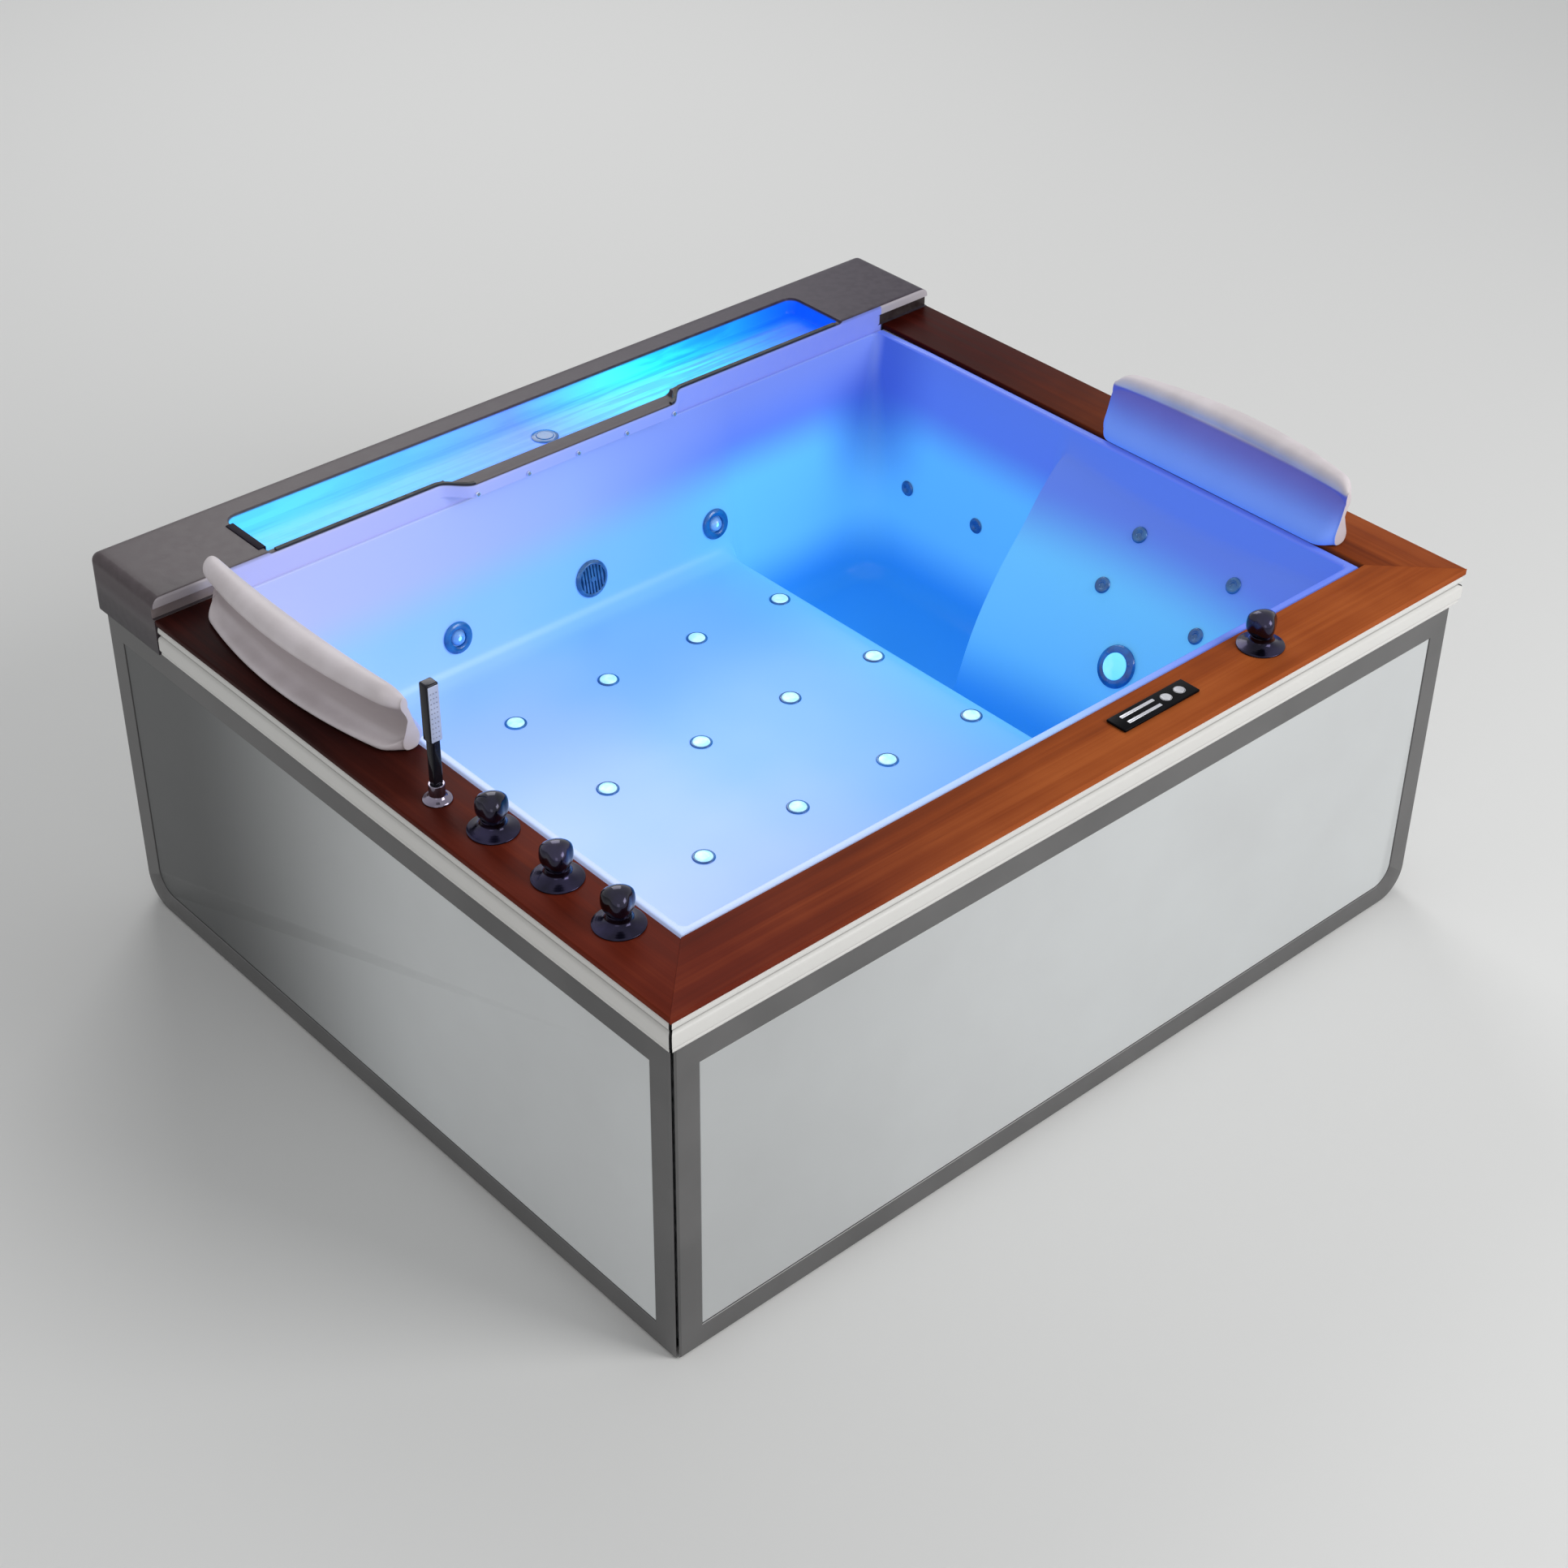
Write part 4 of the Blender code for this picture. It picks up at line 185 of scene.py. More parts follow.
def wall_profile():
    """From the bead down the wall and round the fillet: inset, corner radius, and how the height is made."""
    rows = []
    for step in range(BEAD_STEPS + 1):
        angle = math.pi / 2 * step / BEAD_STEPS
        rows.append((BEAD_ROUND * math.sin(angle), CORNER_TOP, "bead", BEAD_ROUND * (1 - math.cos(angle))))
    for step in range(1, WALL_STEPS):
        share = step / WALL_STEPS
        inset, radius = (a + (b - a) * share for a, b in ((BEAD_ROUND, WALL_RUN), (CORNER_TOP, CORNER_FLOOR)))
        rows.append((inset, radius, "wall", share))
    for step in range(FILLET_STEPS + 1):
        angle = math.pi / 2 * step / FILLET_STEPS
        inward = FLOOR_FILLET * (1 - math.cos(angle))
        rows.append((WALL_RUN + inward, CORNER_FLOOR - inward, "floor", FLOOR_FILLET * (1 - math.sin(angle))))
    inset, radius = rows[-1][:2]
    for step in range(1, INNER_STEPS + 1):
        rows.append((inset + radius * step / INNER_STEPS, radius * (1 - step / INNER_STEPS), "floor", 0))
    return rows


def wall_row_height(kind, amount, floor, y):
    top = FLANGE_TOP + BEAD_RISE * min(max((BASIN_BACK - y) / BEAD_FADE, 0), 1)
    if kind == "bead":
        return top - amount
    if kind == "floor":
        return floor + amount
    return (top - BEAD_ROUND) * (1 - amount) + (floor + FLOOR_FILLET) * amount


def spread(first, last, spacing):
    count = max(1, round((last - first) / spacing))
    return [first + (last - first) * step / count for step in range(count + 1)]


def basin_mesh():
    """A grid whose outer lines are the rim, then the wall and fillet, then the floor."""
    profile = wall_profile()
    rim, rows = len(RIM_PROFILE), len(profile) - 1
    inset = profile[-1][0]
    reach = HALF_LONG - WALL_INSET - inset
    front = WALL_INSET - HALF_WIDE + inset
    xs = spread(-reach, reach, FLOOR_SPACING)
    ys = spread(front, BASIN_BACK - inset, FLOOR_SPACING)
    columns, lines = 2 * (rim + rows) + len(xs) - 1, rim + 2 * rows + len(ys) - 1
    bm = bmesh.new()
    bmesh.ops.create_grid(bm, x_segments=columns, y_segments=lines, size=1)

    def notched(own, other):
        """Inset at a front corner, where the rim's moulding meets itself in a small notch."""
        inset = RIM_PROFILE[min(own, other)][0]
        if other >= NOTCH_ROWS:
            return RIM_PROFILE[own][0]
        if own < other:
            return inset
        if own > other:
            return inset + NOTCH_HALF + (own - other) * NOTCH_LEAN
        return inset + NOTCH_DEEP

    def within(i, j):
        past_x = max(rows - i, 0) or -max(i - rows - len(xs) + 1, 0)
        past_y = max(rows - j, 0) or -max(j - rows - len(ys) + 1, 0)
        row = rows - max(abs(past_x), abs(past_y))
        inward, radius, kind, amount = profile[row]
        edge_x = (HALF_LONG - WALL_INSET - inward) * (-1 if past_x > 0 else 1)
        edge_y = WALL_INSET - HALF_WIDE + inward if past_y > 0 else BASIN_BACK - inward
        x = xs[min(max(i - rows, 0), len(xs) - 1)]
        y = ys[min(max(j - rows, 0), len(ys) - 1)]
        if past_x and past_y:
            steep = abs(past_y) / abs(past_x)
            angle = math.radians(45) * (steep if steep <= 1 else 2 - 1 / steep)
            x = edge_x - math.copysign(radius * (1 - math.cos(angle)), edge_x)
            y = edge_y + radius * (1 - math.sin(angle)) * (1 if past_y > 0 else -1)
        elif past_x:
            x = edge_x
        elif past_y:
            y = edge_y
        share = min(max((x - STEP_START) / STEP_RUN, 0), 1)
        floor = FOOTWELL + (PLATFORM - FOOTWELL) * soft_curve(STEP_CURVE, share)
        z = wall_row_height(kind, amount, floor, y)
        if row > BEAD_STEPS:
            raised = backrest_height(x, y)
            near = max(REST_BLEND - abs(z - raised), 0)
            z = max(z, raised) + near * near / (4 * REST_BLEND)
        return x, y, z

    for vert in bm.verts:
        i = round((vert.co.x + 1) / 2 * columns)
        j = round((vert.co.y + 1) / 2 * lines)
        if min(i, columns - i) == j < NOTCH_ROWS:
            for face in vert.link_faces:
                face.material_index = NOTCH_FINISH
        x, y, z = within(min(max(i - rim, 0), columns - 2 * rim), max(j - rim, 0))
        side = min(i, columns - i)
        outer = min(side, j)
        if outer < rim:
            z = RIM_PROFILE[outer][1]
            if outer >= rim - BEAD_ROWS:
                z = FLANGE_TOP + (z - FLANGE_TOP) * min(max((BASIN_BACK - y) / BEAD_FADE, 0), 1)
            if side < rim:
                line = notched(side, j) if j < rim else RIM_PROFILE[side][0]
                x = math.copysign(HALF_LONG - line, 2 * i - columns)
            if j < rim:
                line = notched(j, side) if side < rim else RIM_PROFILE[j][0]
                y = line - HALF_WIDE
        vert.co = (x, y, z)
    bmesh.ops.recalc_face_normals(bm, faces=bm.faces)
    bm.normal_update()
    if max(bm.faces, key=lambda face: face.calc_area() * abs(face.normal.z)).normal.z < 0:
        bmesh.ops.reverse_faces(bm, faces=bm.faces)
    return bm


def piece(name, bm, body, slot, *finishes, nodes=(), sharp=40):
    """Makes a finished piece of a bmesh: it rides on a body and stands for the nodes given."""
    mesh = bpy.data.meshes.new(name)
    bm.to_mesh(mesh)
    bm.free()
    mesh.shade_smooth()
    mesh.set_sharp_from_angle(angle=math.radians(sharp))
    for finish in finishes:
        mesh.materials.append(finish.holder)
    made = bpy.data.objects.new(name, mesh)
    bpy.context.scene.collection.objects.link(made)
    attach(made, body)
    if nodes:
        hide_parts(*nodes)
    return made


class Finish(Nodes):
    """A material whose look follows the place on the tub."""

    def __init__(self, name):
        super().__init__(bpy.data.materials.new(name))
        self.spot = self.add("TexCoord").outputs["Object"]

    def axis(self, name):
        """X, y or z of the place, or how far it lies to either side of the middle."""
        axes = self.add("SeparateXYZ", Vector=self.spot).outputs
        return self.maths("ABSOLUTE", axes["X"]) if name == "side" else axes[name.upper()]

    def facing(self, number):
        """How far the surface faces along one axis."""
        return self.add("SeparateXYZ", Vector=self.add("TexCoord").outputs["Normal"]).outputs[number]

    def noise(self, scale, detail, vector=None, **more):
        vector = self.spot if vector is None else vector
        return self.add("TexNoise", Vector=vector, Scale=scale, Detail=detail, **more).outputs["Fac"]

    def bump(self, height, strength, distance):
        return self.add("Bump", Strength=strength, Distance=distance, Height=height).outputs["Normal"]

    def ramp(self, value, places, colours):
        band = self.add("ValToRGB", Fac=value)
        stops = band.color_ramp.elements
        for number, (place, colour) in enumerate(zip(places, colours)):
            stop = stops[number] if number < 2 else stops.new(place)
            stop.position, stop.color = place, (*colour, 1)
        return band.outputs["Color"]

    def mixed(self, share, first, second):
        """Blends two colours by a share from 0 to 1."""
        return self.add("Mix", {"data_type": "RGBA"}, i0=share, i6=first, i7=second).outputs[2]

    def between(self, value, low, high, to_low=0, to_high=1):
        """A share that goes softly from one end to the other as the value passes from low to high."""
        return self.add("MapRange", {"interpolation_type": "SMOOTHSTEP"}, Value=value, From_Min=low,
                        From_Max=high, To_Min=to_low, To_Max=to_high).outputs["Result"]

    def maths(self, operation, first, second=0.0, clamp=False):
        return self.add("Math", {"operation": operation, "use_clamp": clamp}, i0=first, i1=second).outputs[0]

    def plus(self, first, second):
        return self.maths("ADD", first, second, True)

    def times(self, *shares):
        whole = shares[0]
        for share in shares[1:]:
            whole = self.maths("MULTIPLY", whole, share, True)
        return whole

    def patch(self, *spans):
        """A soft-edged region of the tub. Each span is an axis, where it starts and where it is full."""
        return self.times(*[self.between(self.axis(name), *ends) for name, *ends in spans])


CLOUDY = (0.3, 0.7)
ACRYLIC_WHITE, ACRYLIC_GREY, GROOVE_SHADE_GREY = (0.75, 0.74, 0.715), (0.71, 0.70, 0.675), (0.20, 0.19, 0.18)
BEAD_TONES = (0.48, 0.60, 0.90), (0.33, 0.51, 0.93), (0.12, 0.20, 0.74)
FLOOR_TONES = (0.50, 0.60, 0.86), (0.22, 0.47, 0.92), (0.12, 0.41, 0.90)
UPPER_TONES = (0.42, 0.46, 0.72), (0.27, 0.38, 0.78), (0.105, 0.20, 0.68)
FALL_TONES = (*UPPER_TONES[:2], (0.165, 0.235, 0.64))
FOOTWELL_SHADE_BLUE, WALL_LIGHT_BLUE, CORNER_SHADE_BLUE = (0.026, 0.26, 0.70), (0.13, 0.50, 0.84), (0.045, 0.10, 0.50)
FIBRE_TONES = (0.42, 0.42, 0.34), (0.64, 0.64, 0.56)
NOTCH_SHADE_TONES = (0.005, 0.005, 0.006), (0.014, 0.014, 0.015)
ACRYLIC_GLOW, ACRYLIC_SHINE, ACRYLIC_ROUGH, CLOUD_DRIFT = 0.40, 0.28, (0.28, 0.31), (-0.06, 0.06)
RIGHT_LIGHT_SHARE, BACK_LIGHT_SHARE, GROOVE_SHADE_SHARE = 0.75, 0.28, 0.7
FLOOR_STOPS, UPPER_STOPS, BEAD_STOPS = (0, 0.45, 0.80), (0, 0.55, 0.92), (0, 0.6, 0.95)
TO_RIGHT, TO_BACK, PAST_STEP = ("x", -0.75, 0.60), ("y", -0.65, 0.50), ("x", 0.14, 0.40)
DEEP_SHADE, RAISED, ON_BEAD = ("z", 0.36, 0.215), ("z", 0.49, 0.61), ("z", 0.6975, 0.7000)
FAR_CORNER_SHADE = ("x", 0.56, 0.72), ("y", 0.36, 0.52), ("z", 0.34, 0.56, 0, 0.75)
BELOW_DECK = ("y", 0.530, 0.552), ("z", 0.56, 0.69)
INSIDE = ("side", 0.7740, 0.7725), ("y", -0.6490, -0.6475)
GROOVE_SHADE_BAND = ("z", 0.6752, 0.6772), ("z", 0.6822, 0.6800)

# Painted light: inside the rim the lamps' blue is painted into the base colour and a glow, pale at the front
# left and deeper toward the right and the back, with violet-blue on the upper walls, in the band under the
# deck and on the bead.
acrylic = Finish("lit_acrylic")
drift = acrylic.between(acrylic.noise(2.2, 2.0), *CLOUDY, *CLOUD_DRIFT)
to_right = acrylic.patch(TO_RIGHT)
to_left = acrylic.maths("SUBTRACT", 1.0, to_right)
lit_share = acrylic.plus(acrylic.times(to_right, RIGHT_LIGHT_SHARE),
                         acrylic.times(acrylic.patch(TO_BACK), BACK_LIGHT_SHARE, to_left))
low_tone = acrylic.ramp(acrylic.plus(lit_share, drift), FLOOR_STOPS, FLOOR_TONES)
# Painted light and shade: past the step the walls take a stronger blue, and the footwell floor a deep blue as
# painted shade.
low_tone = acrylic.mixed(acrylic.patch(PAST_STEP), low_tone, WALL_LIGHT_BLUE)
low_tone = acrylic.mixed(acrylic.patch(DEEP_SHADE), low_tone, FOOTWELL_SHADE_BLUE)
tone = acrylic.mixed(acrylic.patch(RAISED), low_tone, acrylic.ramp(to_right, UPPER_STOPS, UPPER_TONES))
# Painted shade: a darker blue wedge in the back wall near the far right corner.
tone = acrylic.mixed(acrylic.patch(*FAR_CORNER_SHADE), tone, CORNER_SHADE_BLUE)
tone = acrylic.mixed(acrylic.patch(*BELOW_DECK), tone, acrylic.ramp(to_right, UPPER_STOPS, FALL_TONES))
tone = acrylic.mixed(acrylic.patch(ON_BEAD), tone, acrylic.ramp(to_right, BEAD_STOPS, BEAD_TONES))
grime = acrylic.noise(9.0, 3.0)
outer_tone = acrylic.mixed(grime, ACRYLIC_GREY, ACRYLIC_WHITE)
# Painted shade: the groove in the outer lip is darkened.
outer_tone = acrylic.mixed(acrylic.times(acrylic.patch(*GROOVE_SHADE_BAND), GROOVE_SHADE_SHARE), outer_tone, GROOVE_SHADE_GREY)
inside = acrylic.patch(*INSIDE)
acrylic.give(Base_Color=acrylic.mixed(inside, outer_tone, tone), Emission_Color=tone,
             Emission_Strength=acrylic.times(inside, ACRYLIC_GLOW), Specular_IOR_Level=ACRYLIC_SHINE,
             Roughness=acrylic.between(grime, *CLOUDY, *ACRYLIC_ROUGH))

fibreglass = Finish("fibreglass_back")
strands = fibreglass.noise(120.0, 8.0, Distortion=2.0)
fibreglass.give(Base_Color=fibreglass.ramp(strands, (0.35, 0.65), FIBRE_TONES), Roughness=0.55,
                Normal=fibreglass.bump(strands, 0.6, 0.002))

# Painted shade: the walls of the small notch at each front corner of the rim are near black.
notch_shade = Finish("notch_shade")
notch_shade.give(Base_Color=notch_shade.mixed(notch_shade.noise(60.0, 3.0), *NOTCH_SHADE_TONES), Roughness=0.6,
                Specular_IOR_Level=0.1)

surface = basin_mesh()
basin_wall = BVHTree.FromBMesh(surface)
basin = piece("basin", surface, "tub", "acrylic", acrylic, fibreglass, notch_shade, fibreglass,
              nodes=["tub_shell"], sharp=60)
sheet = basin.modifiers.new("sheet", "SOLIDIFY")
sheet.thickness, sheet.offset, sheet.material_offset = SHEET, -1, 1

# Waterfall deck: a second moulding behind the basin. Its top is a sheet whose height follows the trough, the
# dam and the pool behind the S-shaped spout, and whose edge turns down past a groove over the boards.
DECK_FRONT, DECK_HIGH, DECK_EDGE, DECK_SKIRT_FOOT = 0.5680, 0.7470, 0.016, 0.638
TROUGH_HALF, TROUGH_FRONT, TROUGH_REAR, TROUGH_LOW, TROUGH_TURN = 0.665, 0.582, 0.717, 0.030, 0.022
DAM_LOW, POOL_LOW, LIP_WIDE, EDGE_SOFT = 0.004, 0.014, 0.014, 0.004
SPOUT_MIDDLE, SPOUT_HALF, SPOUT_CURVE, SPOUT_REACH = -0.030, 0.255, 0.055, 0.040
SPOUT_FOOT, RECESS_START, RECESS_IN, RECESS_LOW, RECESS_TOP = 0.719, 0.772, 0.0065, 0.7072, 0.7290
FRONT_ROUND, GROOVE_EDGE, TIP_EDGE, GROOVE_RUN = 0.0058, 0.0004, 0.0012, 0.002
WELD, ARC_REACH = 0.00002, 0.45
EDGE_STEPS, BANK_STEPS, FRONT_OFFSETS = 7, 14, (0, 0.0005, 0.0016, 0.0034, 0.0060, 0.0120)
BANK_START, BANK_RUN, POOL_BACK, POOL_RUN, SPOUT_START, SPOUT_RUN = 0.0015, 0.0085, 0.001, 0.004, 0.008, 0.012
BANK_OUT, BANK_IN, FRONT_BANK, REAR_IN, REAR_OUT = 0.015, 0.025, 0.030, 0.002, 0.006
END_LINES, BANK_LINES, LONG_LINES, REAR_LINES, BACK_LINES = 0.012, 0.0015, 0.0055, 0.0018, 0.008
SLOT_LONG, SLOT_HIGH, SLOT_LEVEL, SLOT_Y = 0.104, 0.017, 0.7402, 0.640


def eased(value):
    value = min(max(value, 0), 1)
    return value * value * (3 - 2 * value)


def spout_reach(x):
    """How far the deck's front comes forward over the basin."""
    return SPOUT_REACH * eased(1 - (abs(x - SPOUT_MIDDLE) - SPOUT_HALF + SPOUT_CURVE / 2) / SPOUT_CURVE)


def trough_depth(x, y, past_front):
    """How far the deck's top lies below its highest plane, past its rounded outer edges."""
    middle, half = (TROUGH_FRONT + TROUGH_REAR) / 2, (TROUGH_REAR - TROUGH_FRONT) / 2
    turn = TROUGH_TURN if y > middle else EDGE_SOFT
    far_x, far_y = abs(x) - TROUGH_HALF + turn, abs(y - middle) - half + turn
    outside = math.hypot(max(far_x, 0), max(far_y, 0)) + min(max(far_x, far_y), 0) - turn
    depth = TROUGH_LOW * eased((BANK_START - outside) / BANK_RUN)
    within = eased((TROUGH_HALF + EDGE_SOFT - abs(x)) / (2 * EDGE_SOFT))
    before = eased((TROUGH_FRONT + 2 * EDGE_SOFT - y) / EDGE_SOFT)
    behind_lip = eased((past_front - LIP_WIDE + POOL_BACK) / POOL_RUN)
    pool = POOL_LOW * behind_lip * eased((spout_reach(x) - SPOUT_START) / SPOUT_RUN)
    lowered = max(DAM_LOW, pool if y < TROUGH_FRONT + EDGE_SOFT else 0)
    return max(depth, lowered * within * before)


def deck_mesh():
    """A grid: outer lines are the upright faces, then the rounded edges, then the top."""
    skirt = ((0, DECK_SKIRT_FOOT, 0), (0, RECESS_LOW, 0), (1, RECESS_LOW + GROOVE_EDGE, 0),
             (1, SPOUT_FOOT - GROOVE_EDGE, 0), (1, SPOUT_FOOT, 1), (1, SPOUT_FOOT + TIP_EDGE, 1),
             (1, RECESS_TOP - GROOVE_EDGE, 1), (0, RECESS_TOP, 1))
    under, rings = len(skirt), EDGE_STEPS
    outer = under + rings
    outer_bank, inner_bank = -TROUGH_HALF - BANK_OUT, BANK_IN - TROUGH_HALF
    left = spread(DECK_EDGE - HALF_LONG, outer_bank, END_LINES)[:-1]
    left += spread(outer_bank, inner_bank, BANK_LINES)
    middle = spread(inner_bank, -inner_bank, LONG_LINES)[1:-1]
    xs = [round(x, 6) for x in (*left, *middle, *(-x for x in reversed(left)))]
    bank = DECK_FRONT + FRONT_BANK
    rear = [bank]
    for end, spacing in ((TROUGH_REAR - TROUGH_TURN - REAR_IN, END_LINES),
                         (TROUGH_REAR + REAR_OUT, REAR_LINES), (HALF_WIDE - DECK_EDGE, BACK_LINES)):
        rear += spread(rear[-1], end, spacing)[1:]
    rear = rear[1:]
    front_rows = under + len(FRONT_OFFSETS) + BANK_STEPS
    columns, lines = 2 * outer + len(xs) - 1, front_rows + len(rear) + outer - 1
    bm = bmesh.new()
    bmesh.ops.create_grid(bm, x_segments=columns, y_segments=lines, size=1)

    def edge(steps):
        """Inset and drop of the rounded edge's line, counted from its foot."""
        turn = math.pi / 2 * min(steps, rings) / rings
        return DECK_EDGE * (1 - math.cos(turn)), DECK_EDGE * (1 - math.sin(turn))

    def place(i, j):
        side = min(i, columns - i)
        back = lines - j
        sign = -1 if 2 * i < columns else 1
        inset_x, drop_x = edge(side - under) if side >= under else edge(0)
        inset_y, drop_y = edge(back - under) if back >= under else edge(0)
        x = xs[i - outer] if side >= outer else sign * (HALF_LONG - inset_x)
        offset = 0
        if j < under:
            forward = spout_reach(x)
            recess, z, spout = skirt[min(side, j)]
            groove = RECESS_IN * recess * eased((abs(x) - RECESS_START) / GROOVE_RUN)
            return x, DECK_FRONT - forward * spout + groove, min(z, DECK_HIGH - drop_x)
        if j < under + len(FRONT_OFFSETS):
            offset = FRONT_OFFSETS[j - under]
            y = DECK_FRONT - spout_reach(x) + offset
        elif j < front_rows:
            share = (j - under - len(FRONT_OFFSETS) + 1) / BANK_STEPS
            start = DECK_FRONT - spout_reach(x) + FRONT_OFFSETS[-1]
            y = start + (bank - start) * share
            offset = y - DECK_FRONT + spout_reach(x)
        elif back >= outer:
            y = rear[j - front_rows]
            offset = 1
        else:
            y = HALF_WIDE - inset_y
            offset = 1
        if side < under and back >= outer:
            y = max(y, DECK_FRONT + RECESS_IN * skirt[side][0])
            return x, y, skirt[side][1]
        if back < outer and side < outer:
            steep = (outer - back) / (outer - side)
            angle = math.radians(45) * (steep if steep <= 1 else 2 - 1 / steep)
            ring = min(side, back)
            inset, drop = edge(max(ring - under, 0))
            radius = DECK_EDGE - inset
            x = sign * (HALF_LONG - inset - radius * (1 - math.cos(angle)))
            y = HALF_WIDE - inset - radius * (1 - math.sin(angle))
            return x, y, skirt[ring][1] if ring < under else DECK_HIGH - drop
        if back < under:
            return x, y, min(skirt[back][1], DECK_HIGH - drop_y)
        soft = FRONT_ROUND - math.sqrt(max(FRONT_ROUND ** 2 - max(FRONT_ROUND - offset, 0) ** 2, 0))
        if side < outer or back < outer:
            return x, y, DECK_HIGH - max(drop_x, drop_y, soft)
        return x, y, DECK_HIGH - trough_depth(x, y, offset) - soft

    for vert in bm.verts:
        vert.co = place(round((vert.co.x + 1) / 2 * columns), round((vert.co.y + 1) / 2 * lines))
    bmesh.ops.remove_doubles(bm, verts=bm.verts, dist=WELD)
    bmesh.ops.recalc_face_normals(bm, faces=bm.faces)
    bm.normal_update()
    if max(bm.faces, key=lambda face: face.calc_center_median().z).normal.z < 0:
        bmesh.ops.reverse_faces(bm, faces=bm.faces)
    return bm


def softened(bm, edges, offset, steps):
    bmesh.ops.bevel(bm, geom=edges, offset=offset, offset_type="OFFSET", segments=steps, profile=0.5,
                    affect="EDGES", material=-1)
    return bm


def slab(low, high, soft=0.001, steps=3):
    """A box between two corners with rounded edges."""
    bm = bmesh.new()
    size = [b - a for a, b in zip(low, high)]
    middle = [(a + b) / 2 for a, b in zip(low, high)]
    bmesh.ops.create_cube(bm, size=1, matrix=Matrix.Translation(middle) @ Matrix.Diagonal((*size, 1)))
    return softened(bm, bm.edges[:], soft, steps)


def rounded(points, radius, steps):
    """Rounds the inner corners of a (radius, height) line with short arcs."""
    path = [points[0]]
    for before, corner, after in zip(points, points[1:], points[2:]):
        corner_at, arms = Vector(corner), [Vector(before) - Vector(corner), Vector(after) - Vector(corner)]
        reach = min(radius, *[arm.length * ARC_REACH for arm in arms])
        first, last = [corner_at + arm.normalized() * reach for arm in arms]
        for step in range(steps + 1):
            share = step / steps
            path.append(tuple(first * (1 - share) ** 2 + corner_at * 2 * share * (1 - share)
                              + last * share ** 2))
    return path + [points[-1]]


def lathe(profile, around=48, place=None, soft=0, arcs=2):
    """Turns a line of (radius, height) points about Z, its corners rounded first, and puts it in place."""
    bm = bmesh.new()
    line = rounded(profile, soft, arcs) if soft else profile
    points = [bm.verts.new((radius, 0, height)) for radius, height in line]
    edges = [bm.edges.new(pair) for pair in zip(points, points[1:])]
    bmesh.ops.spin(bm, geom=points + edges, axis=(0, 0, 1), cent=(0, 0, 0), angle=math.tau, steps=around,
                   use_merge=True)
    bmesh.ops.remove_doubles(bm, verts=bm.verts, dist=WELD)
    bmesh.ops.recalc_face_normals(bm, faces=bm.faces)
    if place:
        bm.transform(place)
    return bm


DECK_SHADE_TONE, DECK_SHADE_RIGHT = (0.090, 0.072, 0.078), (0.034, 0.023, 0.040)
DECK_FOOT_SHADE, DECK_PALE = (0.050, 0.042, 0.050), (0.50, 0.46, 0.49)
FACE_LIGHT_TONES = (0.42, 0.43, 0.70), (0.26, 0.34, 0.74), (0.180, 0.225, 0.62)
RECESS_SHADE_TONES = (0.30, 0.25, 0.25), (0.030, 0.020, 0.020)
TROUGH_LIGHT_TONES = (0.09, 0.52, 0.93), (0.13, 0.28, 0.92), (0.035, 0.74, 0.99), (0.003, 0.080, 0.66)
TROUGH_STOPS, FACE_STOPS = (0, 0.45, 0.80, 1), (0, 0.5, 1)
TROUGH_GLOW, FACE_GLOW, DECK_SHINE, DECK_ROUGH = 0.75, 0.40, 0.14, (0.28, 0.36)
DECK_ALONG, DECK_SHADE_ALONG, FOOT_SHADE_SPAN = ("x", -0.70, 0.70), ("x", -0.75, 0.65), ("z", 0.64, 0.745)
RECESS_ALONG, OVER_RECESS, OVER_FOOT = ("x", -0.75, 0.0), ("z", 0.7276, 0.7292), ("z", 0.7050, 0.7066)
OVER_BOARD, NEAR_FRONT, UNDER_EDGE = ("side", 0.770, 0.774), ("y", 0.5900, 0.5850), ("z", 0.7455, 0.7400)
TROUGH_PATCH = ("z", 0.7445, 0.7405), ("side", 0.669, 0.663), ("y", 0.5800, 0.5830), ("y", 0.7230, 0.7190)
STREAKED, RIPPLED, RIPPLE_SCALE = ("x", -0.2, 0.5, 0.12, 0.50), (0.42, 0.62), (1.6, 26.0, 8.0)
FACING_FRONT, FLECKED = (-0.35, -0.70), (0, 0.04)

# The deck is white acrylic. Its colour is painted shade: a dim taupe top that darkens to the right and toward
# its foot.
deck_skin = Finish("deck_acrylic")
along = deck_skin.patch(DECK_ALONG)
fleck = deck_skin.noise(60.0, 5.0)
deck_light_and_shade = deck_skin.mixed(deck_skin.patch(DECK_SHADE_ALONG), DECK_SHADE_TONE, DECK_SHADE_RIGHT)
deck_light_and_shade = deck_skin.mixed(deck_skin.patch(FOOT_SHADE_SPAN), DECK_FOOT_SHADE, deck_light_and_shade)
# Painted shade: the recess over the boards is dark, lighter only near its left end.
moulding = deck_skin.mixed(deck_skin.patch(RECESS_ALONG), *RECESS_SHADE_TONES)
moulding = deck_skin.mixed(deck_skin.patch(OVER_RECESS), moulding, DECK_PALE)
moulding = deck_skin.mixed(deck_skin.patch(OVER_FOOT), deck_light_and_shade, moulding)
over_board = deck_skin.patch(OVER_BOARD)
# Painted light: the deck's face over the basin takes the basin's blue light, with a glow below its top edge.
lit_inner_face = deck_skin.ramp(along, FACE_STOPS, FACE_LIGHT_TONES)
front_face = deck_skin.times(deck_skin.between(deck_skin.facing(1), *FACING_FRONT),
                             deck_skin.patch(NEAR_FRONT))
deck_light_and_shade = deck_skin.mixed(front_face, deck_light_and_shade, deck_skin.mixed(over_board, lit_inner_face, moulding))
deck_light_and_shade = deck_skin.mixed(deck_skin.between(fleck, *CLOUDY, *FLECKED), deck_light_and_shade, DECK_PALE)
